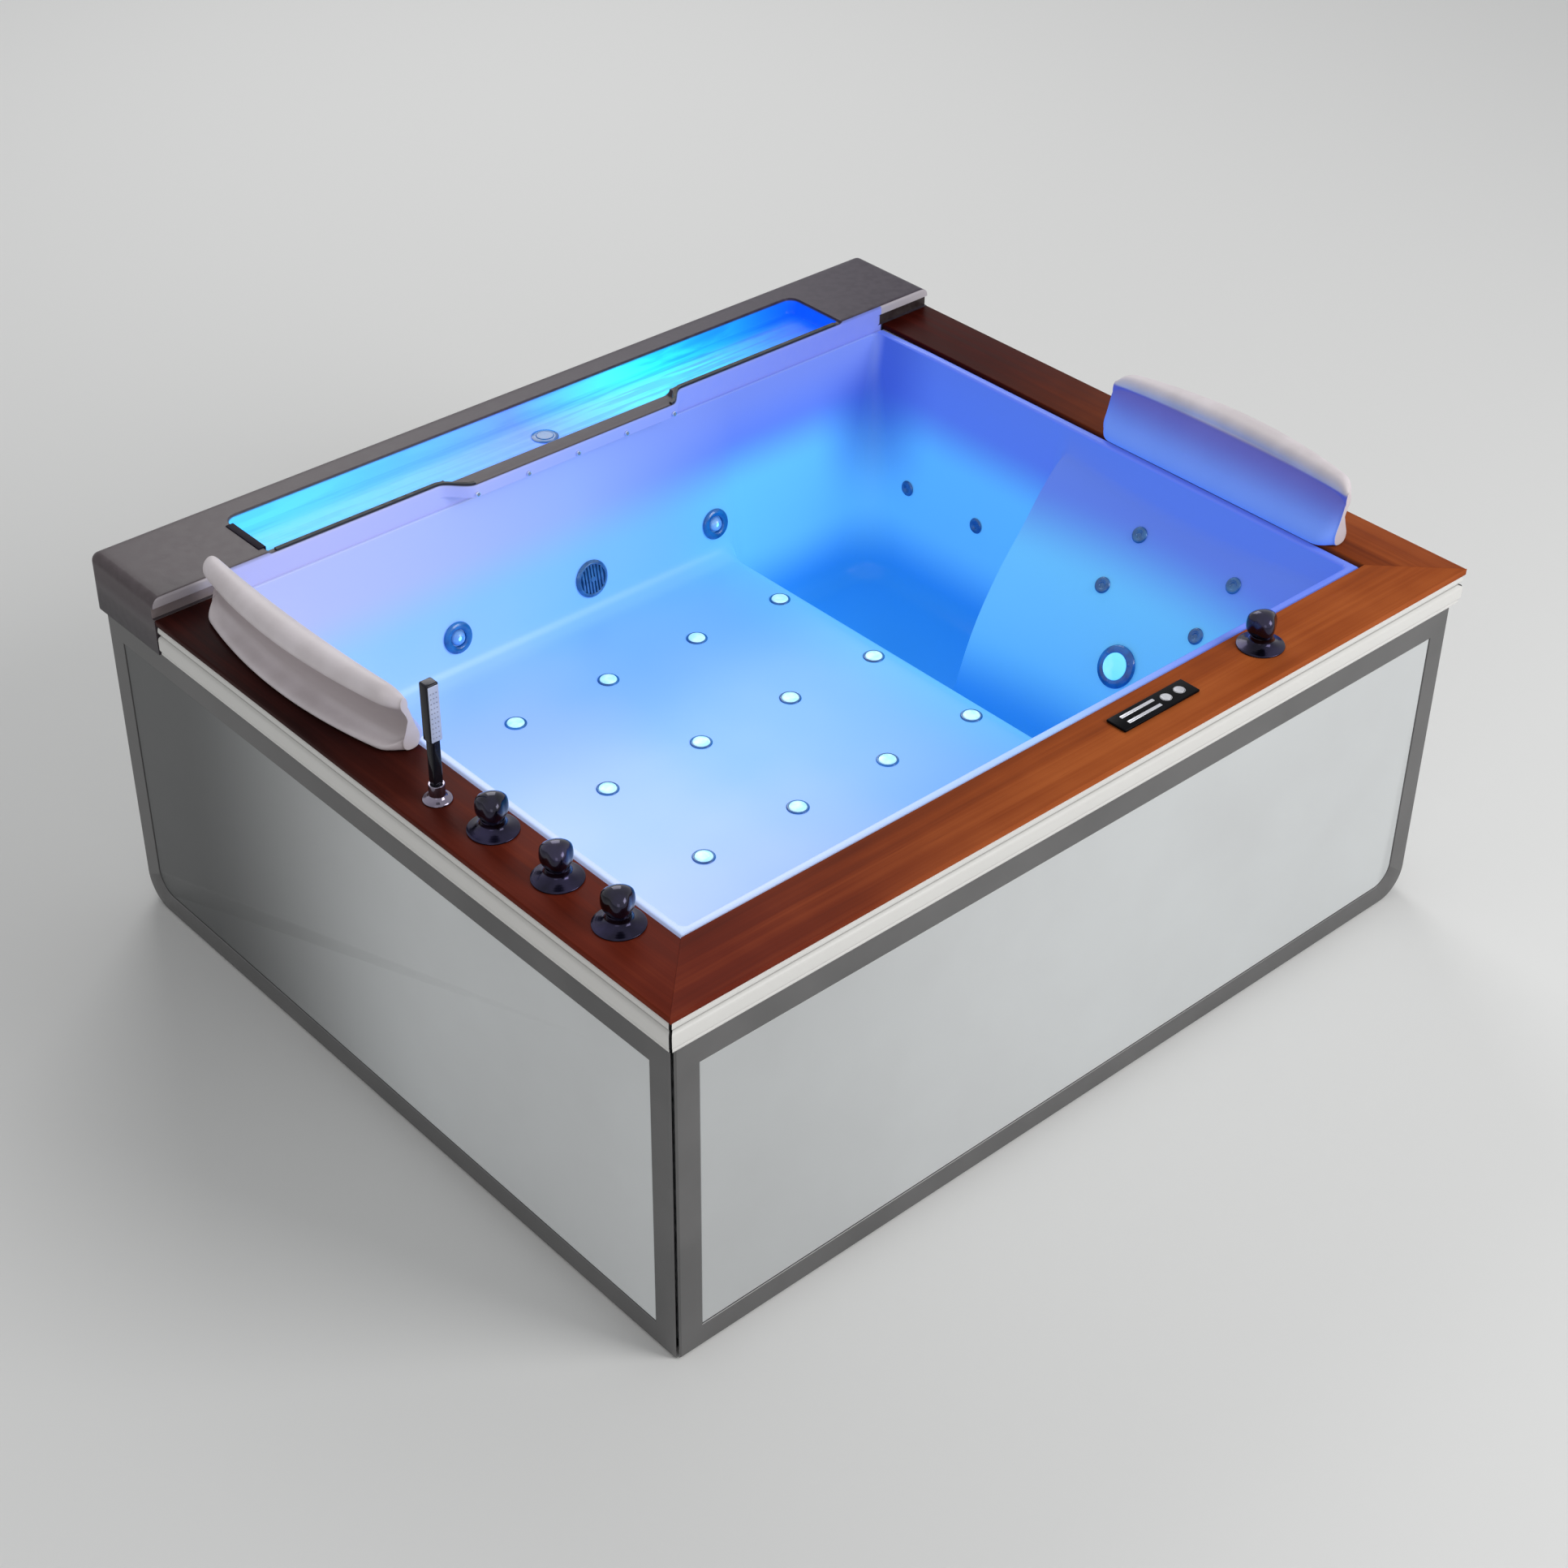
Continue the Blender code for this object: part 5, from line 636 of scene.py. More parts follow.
# Painted light: the trough is painted as glowing cyan light, with rippled streaks of deep blue that grow
# toward the right.
stretched = deck_skin.add("Mapping", Vector=deck_skin.spot, Scale=RIPPLE_SCALE).outputs["Vector"]
ripple = deck_skin.noise(3.0, 4.0, stretched, Distortion=0.4)
streak = deck_skin.times(deck_skin.between(ripple, *RIPPLED), deck_skin.patch(STREAKED))
glow = deck_skin.mixed(streak, deck_skin.ramp(along, TROUGH_STOPS, TROUGH_LIGHT_TONES), TROUGH_LIGHT_TONES[-1])
wet = deck_skin.patch(*TROUGH_PATCH)
face_glow = deck_skin.times(front_face, deck_skin.between(over_board, 0, 1, FACE_GLOW, 0),
                            deck_skin.patch(UNDER_EDGE))
deck_skin.give(Base_Color=deck_skin.mixed(wet, deck_light_and_shade, glow), Specular_IOR_Level=DECK_SHINE,
               Emission_Color=deck_skin.mixed(front_face, glow, lit_inner_face),
               Emission_Strength=deck_skin.plus(deck_skin.times(wet, TROUGH_GLOW), face_glow),
               Roughness=deck_skin.between(fleck, *CLOUDY, *DECK_ROUGH))

fall_deck = piece("fall_deck", deck_mesh(), "tub", "acrylic", deck_skin, fibreglass, nodes=["waterfall_deck"],
                  sharp=50)
wall = fall_deck.modifiers.new("wall", "SOLIDIFY")
wall.thickness, wall.offset, wall.material_offset = SHEET, -1, 1

# The overflow slot at the trough's left end lies in shadow: a flat near-black plate on the end wall stands
# for it, and its black is painted shade.
SLOT_SHADE_TONES, SLOT_SHADE_OUT, SLOT_SHADE_IN = ((0.004, 0.002, 0.007), (0.010, 0.005, 0.016)), 0.012, 0.0035
slot_shade_finish = Finish("slot_shade_finish")
slot_shade_finish.give(Base_Color=slot_shade_finish.ramp(slot_shade_finish.noise(90.0, 3.0), (0.3, 0.7), SLOT_SHADE_TONES), Roughness=0.5,
               Specular_IOR_Level=0.06)
shadow_plate = slab((-TROUGH_HALF - SLOT_SHADE_OUT, SLOT_Y - SLOT_LONG / 2, SLOT_LEVEL - SLOT_HIGH / 2),
             (SLOT_SHADE_IN - TROUGH_HALF, SLOT_Y + SLOT_LONG / 2, SLOT_LEVEL + SLOT_HIGH / 2), 0.0012)
piece("slot_shadow_plate", shadow_plate, "tub", "black", slot_shade_finish)

# Deck boards: three oiled hardwood boards round the basin, mitred at the two front corners. The grain runs
# along each board, and each has its own run of the grain.
BOARD_WIDE, BOARD_LOW, BOARD_TOP, BOARD_SOFT, SEAM = 0.125, 0.6963, 0.7080, 0.0028, 0.0002
BOARD_BACK = DECK_FRONT - 0.0003
GRAIN_LONG, GRAIN_ACROSS, WOOD_SHINE = 0.7, 30.0, 0.025
LIT_ORANGE_WOOD = ((0.200, 0.040, 0.010), (0.330, 0.072, 0.016), (0.450, 0.115, 0.028))
HALF_LIT_RUSSET_WOOD = ((0.100, 0.014, 0.007), (0.150, 0.022, 0.011), (0.230, 0.042, 0.018))
SHADED_DUSKY_WOOD = ((0.014, 0.004, 0.004), (0.030, 0.007, 0.006), (0.065, 0.013, 0.010))
SHADED_MAROON_WOOD = ((0.024, 0.002, 0.001), (0.044, 0.004, 0.002), (0.078, 0.009, 0.006))
LIT_AMBER_WOOD = ((0.150, 0.028, 0.007), (0.240, 0.048, 0.011), (0.340, 0.080, 0.020))
PORES, PORE_SHARE, WOOD_ROUGH, SEED_STEP = (0.62, 0.76), (0, 0.35), (0.36, 0.50), 3.1


def mitred(edge):
    """Whether an edge lies on the cut where two boards meet."""
    return all(abs((HALF_LONG - abs(one.co.x)) - (one.co.y + HALF_WIDE)) < 0.001 for one in edge.verts)


def prism(outline, low, high, soft):
    """An upright block with that outline, its edges rounded except on the mitres."""
    bm = bmesh.new()
    foot = bm.faces.new([bm.verts.new((x, y, low)) for x, y in outline])
    grown = bmesh.ops.extrude_face_region(bm, geom=[foot])["geom"]
    bmesh.ops.translate(bm, verts=[one for one in grown if isinstance(one, bmesh.types.BMVert)],
                        vec=(0, 0, high - low))
    bmesh.ops.recalc_face_normals(bm, faces=bm.faces)
    sharp = [one for one in bm.edges if one.calc_face_angle(0) > math.radians(30) and not mitred(one)]
    return softened(bm, sharp, soft, 3)


def wood(name, first, second, along, seed):
    """Oiled wood whose tones drift along the board from the first set to the second, as painted light and
    shade.
    """
    made = Finish(name)
    stretch = [GRAIN_LONG if axis == along[0] else GRAIN_ACROSS for axis in "xyz"]
    laid = made.add("Mapping", Vector=made.spot, Location=(seed, seed * 1.7, seed), Scale=stretch)
    laid = laid.outputs["Vector"]
    fibre = made.noise(1.0, 9.0, laid, Roughness=0.62, Distortion=0.35)
    pores = made.noise(9.0, 3.0, laid, Roughness=0.7)
    share = made.plus(made.times(fibre, 0.75), made.times(made.noise(7.0, 2.0), 0.25))
    tones = [made.ramp(share, (0.34, 0.50, 0.66), woods) for woods in (first, second)]
    tone = made.mixed(made.patch(along), *tones)
    made.give(Base_Color=made.mixed(made.between(pores, *PORES, *PORE_SHARE), tone, first[0]),
              Roughness=made.between(fibre, *CLOUDY, *WOOD_ROUGH), Normal=made.bump(pores, 0.25, 0.0006),
              Specular_IOR_Level=WOOD_SHINE)
    return made


inner, front = HALF_LONG - BOARD_WIDE, BOARD_WIDE - HALF_WIDE
left_outline = ((-HALF_LONG, SEAM - HALF_WIDE), (-inner - SEAM, front), (-inner - SEAM, BOARD_BACK),
                (-HALF_LONG, BOARD_BACK))
right_outline = [(-x, y) for x, y in reversed(left_outline)]
front_outline = ((SEAM - HALF_LONG, -HALF_WIDE), (HALF_LONG - SEAM, -HALF_WIDE), (inner - SEAM, front),
                 (SEAM - inner, front))
# Painted light and shade: each board runs from a shaded tone set to a lit one, darker toward the back on the
# side boards and toward the left corner on the front board.
BOARDS = (
    ("board_left", left_outline, SHADED_DUSKY_WOOD, HALF_LIT_RUSSET_WOOD, ("y", 0.16, -0.42)),
    ("board_right", right_outline, SHADED_MAROON_WOOD, LIT_AMBER_WOOD, ("y", 0.40, -0.50)),
    ("board_front", front_outline, HALF_LIT_RUSSET_WOOD, LIT_ORANGE_WOOD, ("x", -0.80, 0.05)),
)
for number, (name, outline, *look) in enumerate(BOARDS):
    piece(name, prism(outline, BOARD_LOW, BOARD_TOP, BOARD_SOFT), "tub", "wood",
          wood(name + "_wood", *look, SEED_STEP * number), nodes=["deck_" + name])

# Skirts: a bevelled frame on each side, rounded at its lower corners, and a flat panel set into it.
SKIRT_IN, SKIRT_LOW, SKIRT_HIGH, FRAME_SIDE, FRAME_THICK = 0.0098, 0.003, 0.654, 0.045, 0.014
FRAME_SILL, FRAME_HEAD, FRAME_LEDGE, FRAME_BEVEL, FRAME_GAP = 0.048, 0.585, 0.008, 0.003, 0.006
FRAME_CORNER, CORNER_STEPS, PANEL_SET, PANEL_THICK = 0.060, 12, 0.0015, 0.006
FRAME_LIP, PANEL_SOFT = 0.0008, 0.001
PLATE_EDGES = ((0.0018, 0), (0.0006, 0.0012), (0.0004, PANEL_THICK))
FRAME_TONES = (0.120, 0.118, 0.118), (0.150, 0.147, 0.147)
EDGE_HIGHLIGHT_TONES = (0.34, 0.32, 0.31), (0.42, 0.39, 0.38)
PANEL_TONES = (0.580, 0.595, 0.600), (0.615, 0.635, 0.640)
PANEL_FADES = {"front": ("x", -0.80, -0.10, 0.80, 1), "left": ("y", -0.22, 0.56, 1.16, 0.16)}


def skirt_loop(long, low, high, corners, depth):
    """An upright outline with its two lower corners rounded."""
    points = [(-long / 2, high)]
    for side, radius in zip((-1, 1), corners):
        centre = side * (long / 2 - radius), low + radius
        for step in range(CORNER_STEPS + 1):
            angle = math.pi / 2 * (step / CORNER_STEPS + (2 if side < 0 else 3))
            points.append((centre[0] + radius * math.cos(angle), centre[1] + radius * math.sin(angle)))
    points.append((long / 2, high))
    return [(x, depth, z) for x, z in points]


def joined(loops, ring=False):
    """Bridges outlines in turn. A ring closes on itself, and anything else gets two end faces."""
    bm = bmesh.new()
    rows = [[bm.verts.new(point) for point in loop] for loop in loops]
    count = len(rows[0])
    pairs = list(zip(rows, rows[1:])) + ([(rows[-1], rows[0])] if ring else [])
    for first, second in pairs:
        for step in range(count):
            after = (step + 1) % count
            bm.faces.new((first[step], first[after], second[after], second[step]))
    if not ring:
        bm.faces.new(rows[0])
        bm.faces.new(list(reversed(rows[-1])))
    bmesh.ops.remove_doubles(bm, verts=bm.verts, dist=WELD)
    bmesh.ops.recalc_face_normals(bm, faces=bm.faces)
    return bm


def moved(x=0, y=0, z=0):
    return Matrix.Translation((x, y, z))


def shifted(bm, place):
    bm.transform(place)
    return bm


def shrunk(radii, by):
    return [max(radius - by, 0) for radius in radii]


def painted(name, tones, rough, metal=0.0, scale=40.0, bump=0.0, coat=0.0):
    """A finish whose colour and roughness drift slightly over the piece."""
    made = Finish(name)
    drift = made.noise(scale, 6.0)
    made.give(Base_Color=made.ramp(drift, (0.35, 0.65), tones), Metallic=metal, Coat_Weight=coat,
              Roughness=made.between(drift, *CLOUDY, *rough))
    if bump:
        made.give(Normal=made.bump(drift, bump, 0.0005))
    return made


def shaded(made, span):
    """Dims a finish along one axis, the way the light falls off along that side."""
    base = made.end.inputs["Base Color"].links[0].from_socket
    settings = {"data_type": "RGBA", "blend_type": "MULTIPLY"}
    made.give(Base_Color=made.add("Mix", settings, i0=1.0, i6=base, i7=made.patch(span)).outputs[2])


brushed = painted("skirt_aluminium", FRAME_TONES, (0.30, 0.40), 0.35, 6.0)
# Painted highlight: the lighter finish on the frame's outer bevel.
edge_highlight = painted("skirt_edge_highlight", EDGE_HIGHLIGHT_TONES, (0.28, 0.36), 0.5, 6.0)
long, wide = 2 * (HALF_LONG - SKIRT_IN), 2 * (HALF_WIDE - SKIRT_IN)
quarter = math.pi / 2
seat_at = PANEL_SET + PANEL_THICK + SEAM
for side, run, turn, out, rounds in (
        ("front", long, 0, wide / 2, (0, 1)), ("right", wide, quarter, long / 2, (1, 1)),
        ("rear", long, 2 * quarter, wide / 2, (1, 1)), ("left", wide, -quarter, long / 2, (1, 0))):
    full = run - 2 * FRAME_GAP
    inside = full - 2 * FRAME_SIDE
    corners = [FRAME_CORNER * flag for flag in rounds]
    opening = [radius * 2 / 3 for radius in corners]
    ledge = (inside - 2 * FRAME_LEDGE, FRAME_SILL + FRAME_LEDGE, FRAME_HEAD - FRAME_LEDGE,
             shrunk(opening, FRAME_LEDGE))
    loops = [skirt_loop(*row) for row in (
        (full, SKIRT_LOW, SKIRT_HIGH, corners, FRAME_BEVEL),
        (full - 2 * FRAME_BEVEL, SKIRT_LOW + FRAME_BEVEL, SKIRT_HIGH - FRAME_BEVEL,
         shrunk(corners, FRAME_BEVEL), 0),
        (inside + 2 * FRAME_LIP, FRAME_SILL - FRAME_LIP, FRAME_HEAD + FRAME_LIP, opening, 0),
        (inside, FRAME_SILL, FRAME_HEAD, opening, FRAME_LIP),
        (inside, FRAME_SILL, FRAME_HEAD, opening, seat_at),
        (*ledge, seat_at),
        (*ledge, FRAME_THICK),
        (full - 2 * FRAME_THICK, SKIRT_LOW, SKIRT_HIGH, corners, FRAME_THICK),
    )]
    place = Matrix.Rotation(turn, 4, "Z") @ moved(y=-out)
    frame_piece = joined(loops, ring=True)
    # Faces of the outer bevel take the lighter finish, a painted highlight.
    for face in frame_piece.faces:
        middle = face.calc_center_median()
        outer_side = abs(middle.x) > full / 2 - FRAME_BEVEL and corners[int(middle.x > 0)]
        if middle.y < FRAME_BEVEL and (outer_side or middle.z < SKIRT_LOW + FRAME_BEVEL):
            face.material_index = 1
    piece(f"{side}_frame", shifted(frame_piece, place), "tub", "frame", brushed, edge_highlight,
          nodes=[f"{side}_skirt_frame"])
    panel_paint = painted(f"{side}_gloss", PANEL_TONES, (0.36, 0.44), 0.0, 3.0)
    if side in PANEL_FADES:
        shaded(panel_paint, PANEL_FADES[side])
    soft = shrunk(opening, PANEL_SOFT)
    plate = [skirt_loop(inside - 2 * share, FRAME_SILL + share, FRAME_HEAD - share, soft, PANEL_SET + depth)
             for share, depth in PLATE_EDGES]
    piece(f"{side}_plate", shifted(joined(plate), place), "front_panel" if side == "front" else "tub",
          "panel", panel_paint, nodes=[f"{side}_panel"])

# Valves and knobs: a flared violet-black chrome base on the board, and over it a domed knob with three soft
# lobes. Each knob turns with its own joint.
VALVE_X, VALVE_YS, AIR_VALVE = -0.822, (-0.268, -0.425, -0.568), (0.442, -0.697)
FLARE_FOOT, FLARE_WIDE, FLARE_HIGH, NECK, SPINDLE = 0.7083, 0.041, 0.022, 0.019, 0.005
SPINDLE_UP, NECK_DROP, FLARE_EDGE, FLARE_STEPS, FLARE_OUT, FLARE_FALL = 0.012, 0.004, 0.0065, 7, 1.8, 0.62
VALVE_STEM, VALVE_BODY, VALVE_UNDER, VALVE_FOOT = 0.012, 0.018, 0.6904, 0.6454
KNOB_FOOT, KNOB_WIDE, KNOB_HIGH, KNOB_LOBE, KNOB_LOBES = 0.7311, 0.0245, 0.043, 0.0035, 3
KNOB_CURVE = ((0, 0.80), (0.05, 0.87), (0.16, 0.96), (0.30, 0.995), (0.45, 1.00), (0.60, 0.975), (0.72, 0.92),
              (0.82, 0.81), (0.90, 0.66), (0.96, 0.46), (0.99, 0.26), (1.0, 0.10))
KNOB_STEPS, LOBE_STEEP, LOBE_END = 72, 4, 1.02
VIOLET_TONES = (0.007, 0.006, 0.014), (0.026, 0.022, 0.056)

violet_chrome = painted("violet_chrome", VIOLET_TONES, (0.12, 0.22), 0.9, 18.0, coat=0.10)
violet_knob = painted("violet_knob", VIOLET_TONES, (0.12, 0.24), 0.85, 24.0, coat=0.35)


def under_board(foot):
    """The line of a fitting's stem through the board and of its body under the rim."""
    return [(VALVE_STEM, FLARE_FOOT), (VALVE_STEM, VALVE_UNDER), (VALVE_BODY, VALVE_UNDER),
            (VALVE_BODY, foot), (0, foot)]


def flared_base(place):
    top = FLARE_FOOT + FLARE_HIGH
    line = [(0, top + SPINDLE_UP), (SPINDLE, top + SPINDLE_UP), (SPINDLE, top), (NECK, top),
            (NECK, top - NECK_DROP)]
    for step in range(1, FLARE_STEPS + 1):
        share = step / FLARE_STEPS
        line.append((NECK + (FLARE_WIDE - NECK) * share ** FLARE_OUT,
                     top - NECK_DROP - (FLARE_HIGH - FLARE_EDGE) * share ** FLARE_FALL))
    return lathe([*line, (FLARE_WIDE, FLARE_FOOT), *under_board(VALVE_FOOT)], 64, place, 0.0012, 3)


def lobed_knob(x, y):
    loops = []
    for height, share in KNOB_CURVE:
        loop = []
        for step in range(KNOB_STEPS):
            turn = math.tau * step / KNOB_STEPS
            lobe = KNOB_LOBE * share * math.cos(KNOB_LOBES * turn) * min(1, LOBE_STEEP * (LOBE_END - height))
            reach = KNOB_WIDE * share + lobe
            loop.append((x + reach * math.cos(turn), y + reach * math.sin(turn),
                         KNOB_FOOT + KNOB_HIGH * height))
        loops.append(loop)
    return joined(loops)


for name, x, y in (*zip(("hot", "cold", "diverter"), [VALVE_X] * 3, VALVE_YS), ("air", *AIR_VALVE)):
    piece(f"{name}_base", flared_base(moved(x, y)), "tub", "dark_chrome", violet_chrome,
          nodes=[f"{name}_valve"])
    piece(f"{name}_cap", lobed_knob(x, y), f"{name}_knob", "dark_chrome", violet_knob, nodes=[f"{name}_knob"])

# Hand shower: a flat bar handset that stands in a flared holder on the left board and lifts straight out.
SHOWER_X, SHOWER_Y = -0.840, -0.151
HOLDER_WIDE, HOLDER_HIGH, SLEEVE, SHOWER_BORE, HOLDER_FOOT = 0.024, 0.030, 0.013, 0.0089, 0.0225
BAR_FOOT, GRIP_TALL, BAR_TALL, STEM_WIDE, HEAD_SOFT = 0.7391, 0.080, 0.105, 0.0085, 0.0028
GRIP_SIZE, HEAD_SIZE = (0.0170, 0.0160), (0.0225, 0.0205)
FACE_EDGE, FACE_OUT, SPRAY_ROWS, SPRAY_PITCH, SPRAY_GAP = 0.0022, 0.0008, 10, 0.0088, 0.0052
OVERLAP, SPRAY_START, SPRAY_OUT, SPRAY_SIZE = 0.003, 0.010, 0.0011, (0.0012, 0.0009, 0.0008)

polished = painted("polished_chrome", ((0.72, 0.73, 0.76), (0.82, 0.83, 0.86)), (0.05, 0.10), 1.0, 12.0)
smoked = painted("smoked_chrome", ((0.006, 0.006, 0.009), (0.018, 0.018, 0.026)), (0.10, 0.16), 0.3, 12.0,
                 coat=0.10)
smoked.give(Specular_IOR_Level=0.15)
spray_grey = painted("spray_face", ((0.24, 0.27, 0.36), (0.32, 0.35, 0.46)), (0.40, 0.50), 0.0, 60.0)
spray_pale = painted("spray_plate", ((0.44, 0.50, 0.68), (0.54, 0.60, 0.78)), (0.16, 0.26), 0.0, 30.0,
                     coat=0.2)
holder_chrome = painted("holder_chrome", ((0.16, 0.14, 0.19), (0.30, 0.27, 0.34)), (0.10, 0.18), 0.95, 14.0)


def block(x, y, long, wide, low, high, soft, steps=3):
    """An upright block about a place, its edges rounded."""
    return slab((x - long / 2, y - wide / 2, low), (x + long / 2, y + wide / 2, high), soft, steps)


turned = moved(SHOWER_X, SHOWER_Y)
cup = [(SLEEVE, 1), (SLEEVE, 0.34), (SLEEVE * 1.25, 0.20), (HOLDER_WIDE * 0.92, 0.13), (HOLDER_WIDE, 0.06)]
line = [(0, FLARE_FOOT + 0.001), (SHOWER_BORE, FLARE_FOOT + 0.001), (SHOWER_BORE, FLARE_FOOT + HOLDER_HIGH),
        *((radius, FLARE_FOOT + HOLDER_HIGH * share) for radius, share in cup), (HOLDER_WIDE, FLARE_FOOT),
        *under_board(VALVE_FOOT + HOLDER_FOOT)]
piece("holder_cup", lathe(line, 56, turned, 0.0010, 3), "tub", "chrome", holder_chrome,
      nodes=["shower_holder"])
grip_top = BAR_FOOT + GRIP_TALL
head_top = grip_top + BAR_TALL
piece("shower_grip", shifted(block(0, 0, *GRIP_SIZE, BAR_FOOT, grip_top + OVERLAP, HEAD_SOFT, 4), turned),
      "hand_shower", "chrome", smoked)
piece("shower_head", shifted(block(0, 0, *HEAD_SIZE, grip_top, head_top, HEAD_SOFT, 4), turned),
      "hand_shower", "chrome", smoked, nodes=["hand_shower"])
peg = [(0, FLARE_FOOT + 0.0015), (STEM_WIDE, FLARE_FOOT + 0.0015), (STEM_WIDE, BAR_FOOT + 0.002),
       (0, BAR_FOOT + 0.002)]
piece("shower_peg", lathe(peg, 40, turned), "hand_shower", "chrome", smoked)
half_head, face_y = HEAD_SIZE[0] / 2, -HEAD_SIZE[1] / 2
plate = slab((FACE_EDGE - half_head, face_y - FACE_OUT, grip_top + FACE_EDGE),
             (half_head - FACE_EDGE / 2, face_y + 0.002, head_top - FACE_EDGE * 1.5), 0.0007)
piece("spray_plate", shifted(plate, turned), "hand_shower", "chrome", spray_pale)
spray = bmesh.new()
for row in range(SPRAY_ROWS):
    for column in (-1, 0, 1):
        at = moved(SPRAY_GAP * column, face_y - SPRAY_OUT, grip_top + SPRAY_START + SPRAY_PITCH * row)
        bmesh.ops.create_cone(spray, cap_ends=True, segments=12, radius1=SPRAY_SIZE[0], radius2=SPRAY_SIZE[1],
                              depth=SPRAY_SIZE[2], matrix=at @ Matrix.Rotation(quarter, 4, "X"))
piece("spray_nozzles", shifted(spray, turned), "hand_shower", "black", spray_grey)

# Control panel: a black gloss plate on the front board with two long and two round keys, each on its own
# slide. Nothing is written on it.
PANEL_AT, PLATE_LONG, PLATE_WIDE, PLATE_FOOT, PLATE_TOP = (0.172, -0.702), 0.178, 0.042, 0.7083, 0.7133
KEY_TOP, KEY_DEEP, KEY_DISH = 0.7145, 0.004, 0.0001
LONG_KEY, LONG_KEY_AT, ROUND_KEY, ROUND_KEYS_AT = (0.078, 0.0065), (-0.030, 0.0085), 0.0085, (0.030, 0.062)
COLLAR_IN, COLLAR_OUT, COLLAR_HALF = 0.0006, 0.0016, 0.0005

black_gloss = painted("black_gloss", ((0.002, 0.002, 0.003), (0.005, 0.005, 0.007)), (0.16, 0.24), 0.0, 20.0)
black_gloss.give(Specular_IOR_Level=0.04)
key_silver = painted("key_silver", ((0.50, 0.50, 0.54), (0.62, 0.62, 0.66)), (0.22, 0.30), 0.7, 30.0)
piece("panel_plate", block(*PANEL_AT, PLATE_LONG, PLATE_WIDE, PLATE_FOOT, PLATE_TOP, 0.0018, 4), "tub",
      "black", black_gloss, nodes=["control_panel"])
for name, side in (("air_key", 1), ("jet_key", -1)):
    x, y = PANEL_AT[0] + LONG_KEY_AT[0], PANEL_AT[1] + side * LONG_KEY_AT[1]
    piece(name + "_bar", block(x, y, *LONG_KEY, KEY_TOP - KEY_DEEP, KEY_TOP, 0.0008), name, "silver",
          key_silver, nodes=[name])
for name, offset in zip(("light_key", "power_key"), ROUND_KEYS_AT):
    at = moved(PANEL_AT[0] + offset, PANEL_AT[1])
    button = [(0, KEY_TOP - KEY_DISH), (ROUND_KEY * 0.6, KEY_TOP - KEY_DISH / 2), (ROUND_KEY, KEY_TOP),
              (ROUND_KEY, KEY_TOP - KEY_DEEP), (0, KEY_TOP - KEY_DEEP)]
    piece(name + "_cap", lathe(button, 36, at, 0.0006, 3), name, "silver", key_silver, nodes=[name])
    collar = [(ROUND_KEY + out, PLATE_TOP + up * COLLAR_HALF)
              for out, up in ((COLLAR_IN, -1), (COLLAR_IN, 1), (COLLAR_OUT, 1), (COLLAR_OUT, -1))]
    piece(name + "_ring", lathe(collar, 36, at), "tub", "silver", key_silver)

# Headrests: two moulded foam rests with a roll along the top, a hollow front and a thin foot on the board.
REST_TALL, REST_DEEP, REST_FOOT, HEADREST_LONG = 0.127, 0.108, 0.7086, 0.550
REST_SECTION = (
    (-0.15, 0), (-0.18, 0.03), (-0.18, 0.09), (-0.13, 0.19), (-0.03, 0.33), (0.08, 0.48), (0.19, 0.62),
    (0.29, 0.725), (0.36, 0.765), (0.345, 0.80), (0.33, 0.86), (0.37, 0.93), (0.45, 0.98), (0.57, 1),
    (0.70, 0.98), (0.80, 0.92), (0.84, 0.83), (0.80, 0.745), (0.72, 0.71), (0.62, 0.66), (0.50, 0.55),
    (0.42, 0.42), (0.40, 0.28), (0.46, 0.17), (0.60, 0.115), (0.80, 0.10), (0.86, 0.05), (0.82, 0),
)
REST_SPOTS = (("right", 1, -0.305), ("left", -1, 0.2547))
REST_STATIONS, REST_SQUEEZE, REST_FALL, REST_MID, END_START, END_CLOSE = 44, 0.42, 0.07, 0.30, 0.88, 0.20
REST_TONES, REST_NECK_SHADE = ((0.66, 0.60, 0.62), (0.76, 0.70, 0.73)), (0.50, 0.44, 0.455)
REST_BASIN_LIGHT, REST_GLOW, REST_ROUGH = ((0.045, 0.060, 0.48), (0.10, 0.28, 0.92)), 0.25, (0.42, 0.52)
NECK_SHADE_PATCH = ("z", 0.800, 0.788), ("z", 0.724, 0.734)
BLUE_RUN, LOW_FRONT = ("z", 0.800, 0.730), ("z", 0.808, 0.802)
STRONGER_LIGHT_RIGHT, OUTWARD, INWARD = ("x", -0.2, 0.2, 0.35, 0.85), (0.0, 0.4), (-0.05, -0.35)


def headrest_mesh(side, y):
    """Sections along the rest, drawn in toward its two round ends."""
    loops = []
    for station in range(REST_STATIONS + 1):
        along = -math.cos(math.pi * station / REST_STATIONS)
        squeeze = 1 - REST_SQUEEZE * along ** 2
        close = max(abs(along) - END_START, 0) / (1 - END_START)
        close = math.sqrt(max(1 - close ** 2, END_CLOSE))
        tall = REST_TALL * (1 - REST_FALL * along ** 2)
        middle = REST_DEEP * REST_MID * squeeze
        loop = []
        for out, up in REST_SECTION:
            reach = REST_DEEP * out * (squeeze if out > 0 else 1)
            reach = middle + (reach - middle) * close
            height = tall * (0.5 + (up - 0.5) * (0.5 + close / 2)) if up > 0 else 0
            loop.append((side * (HALF_LONG - BOARD_WIDE + reach), y + side * HEADREST_LONG / 2 * along,
                         REST_FOOT + height))
        loops.append(loop)
    return joined(loops)


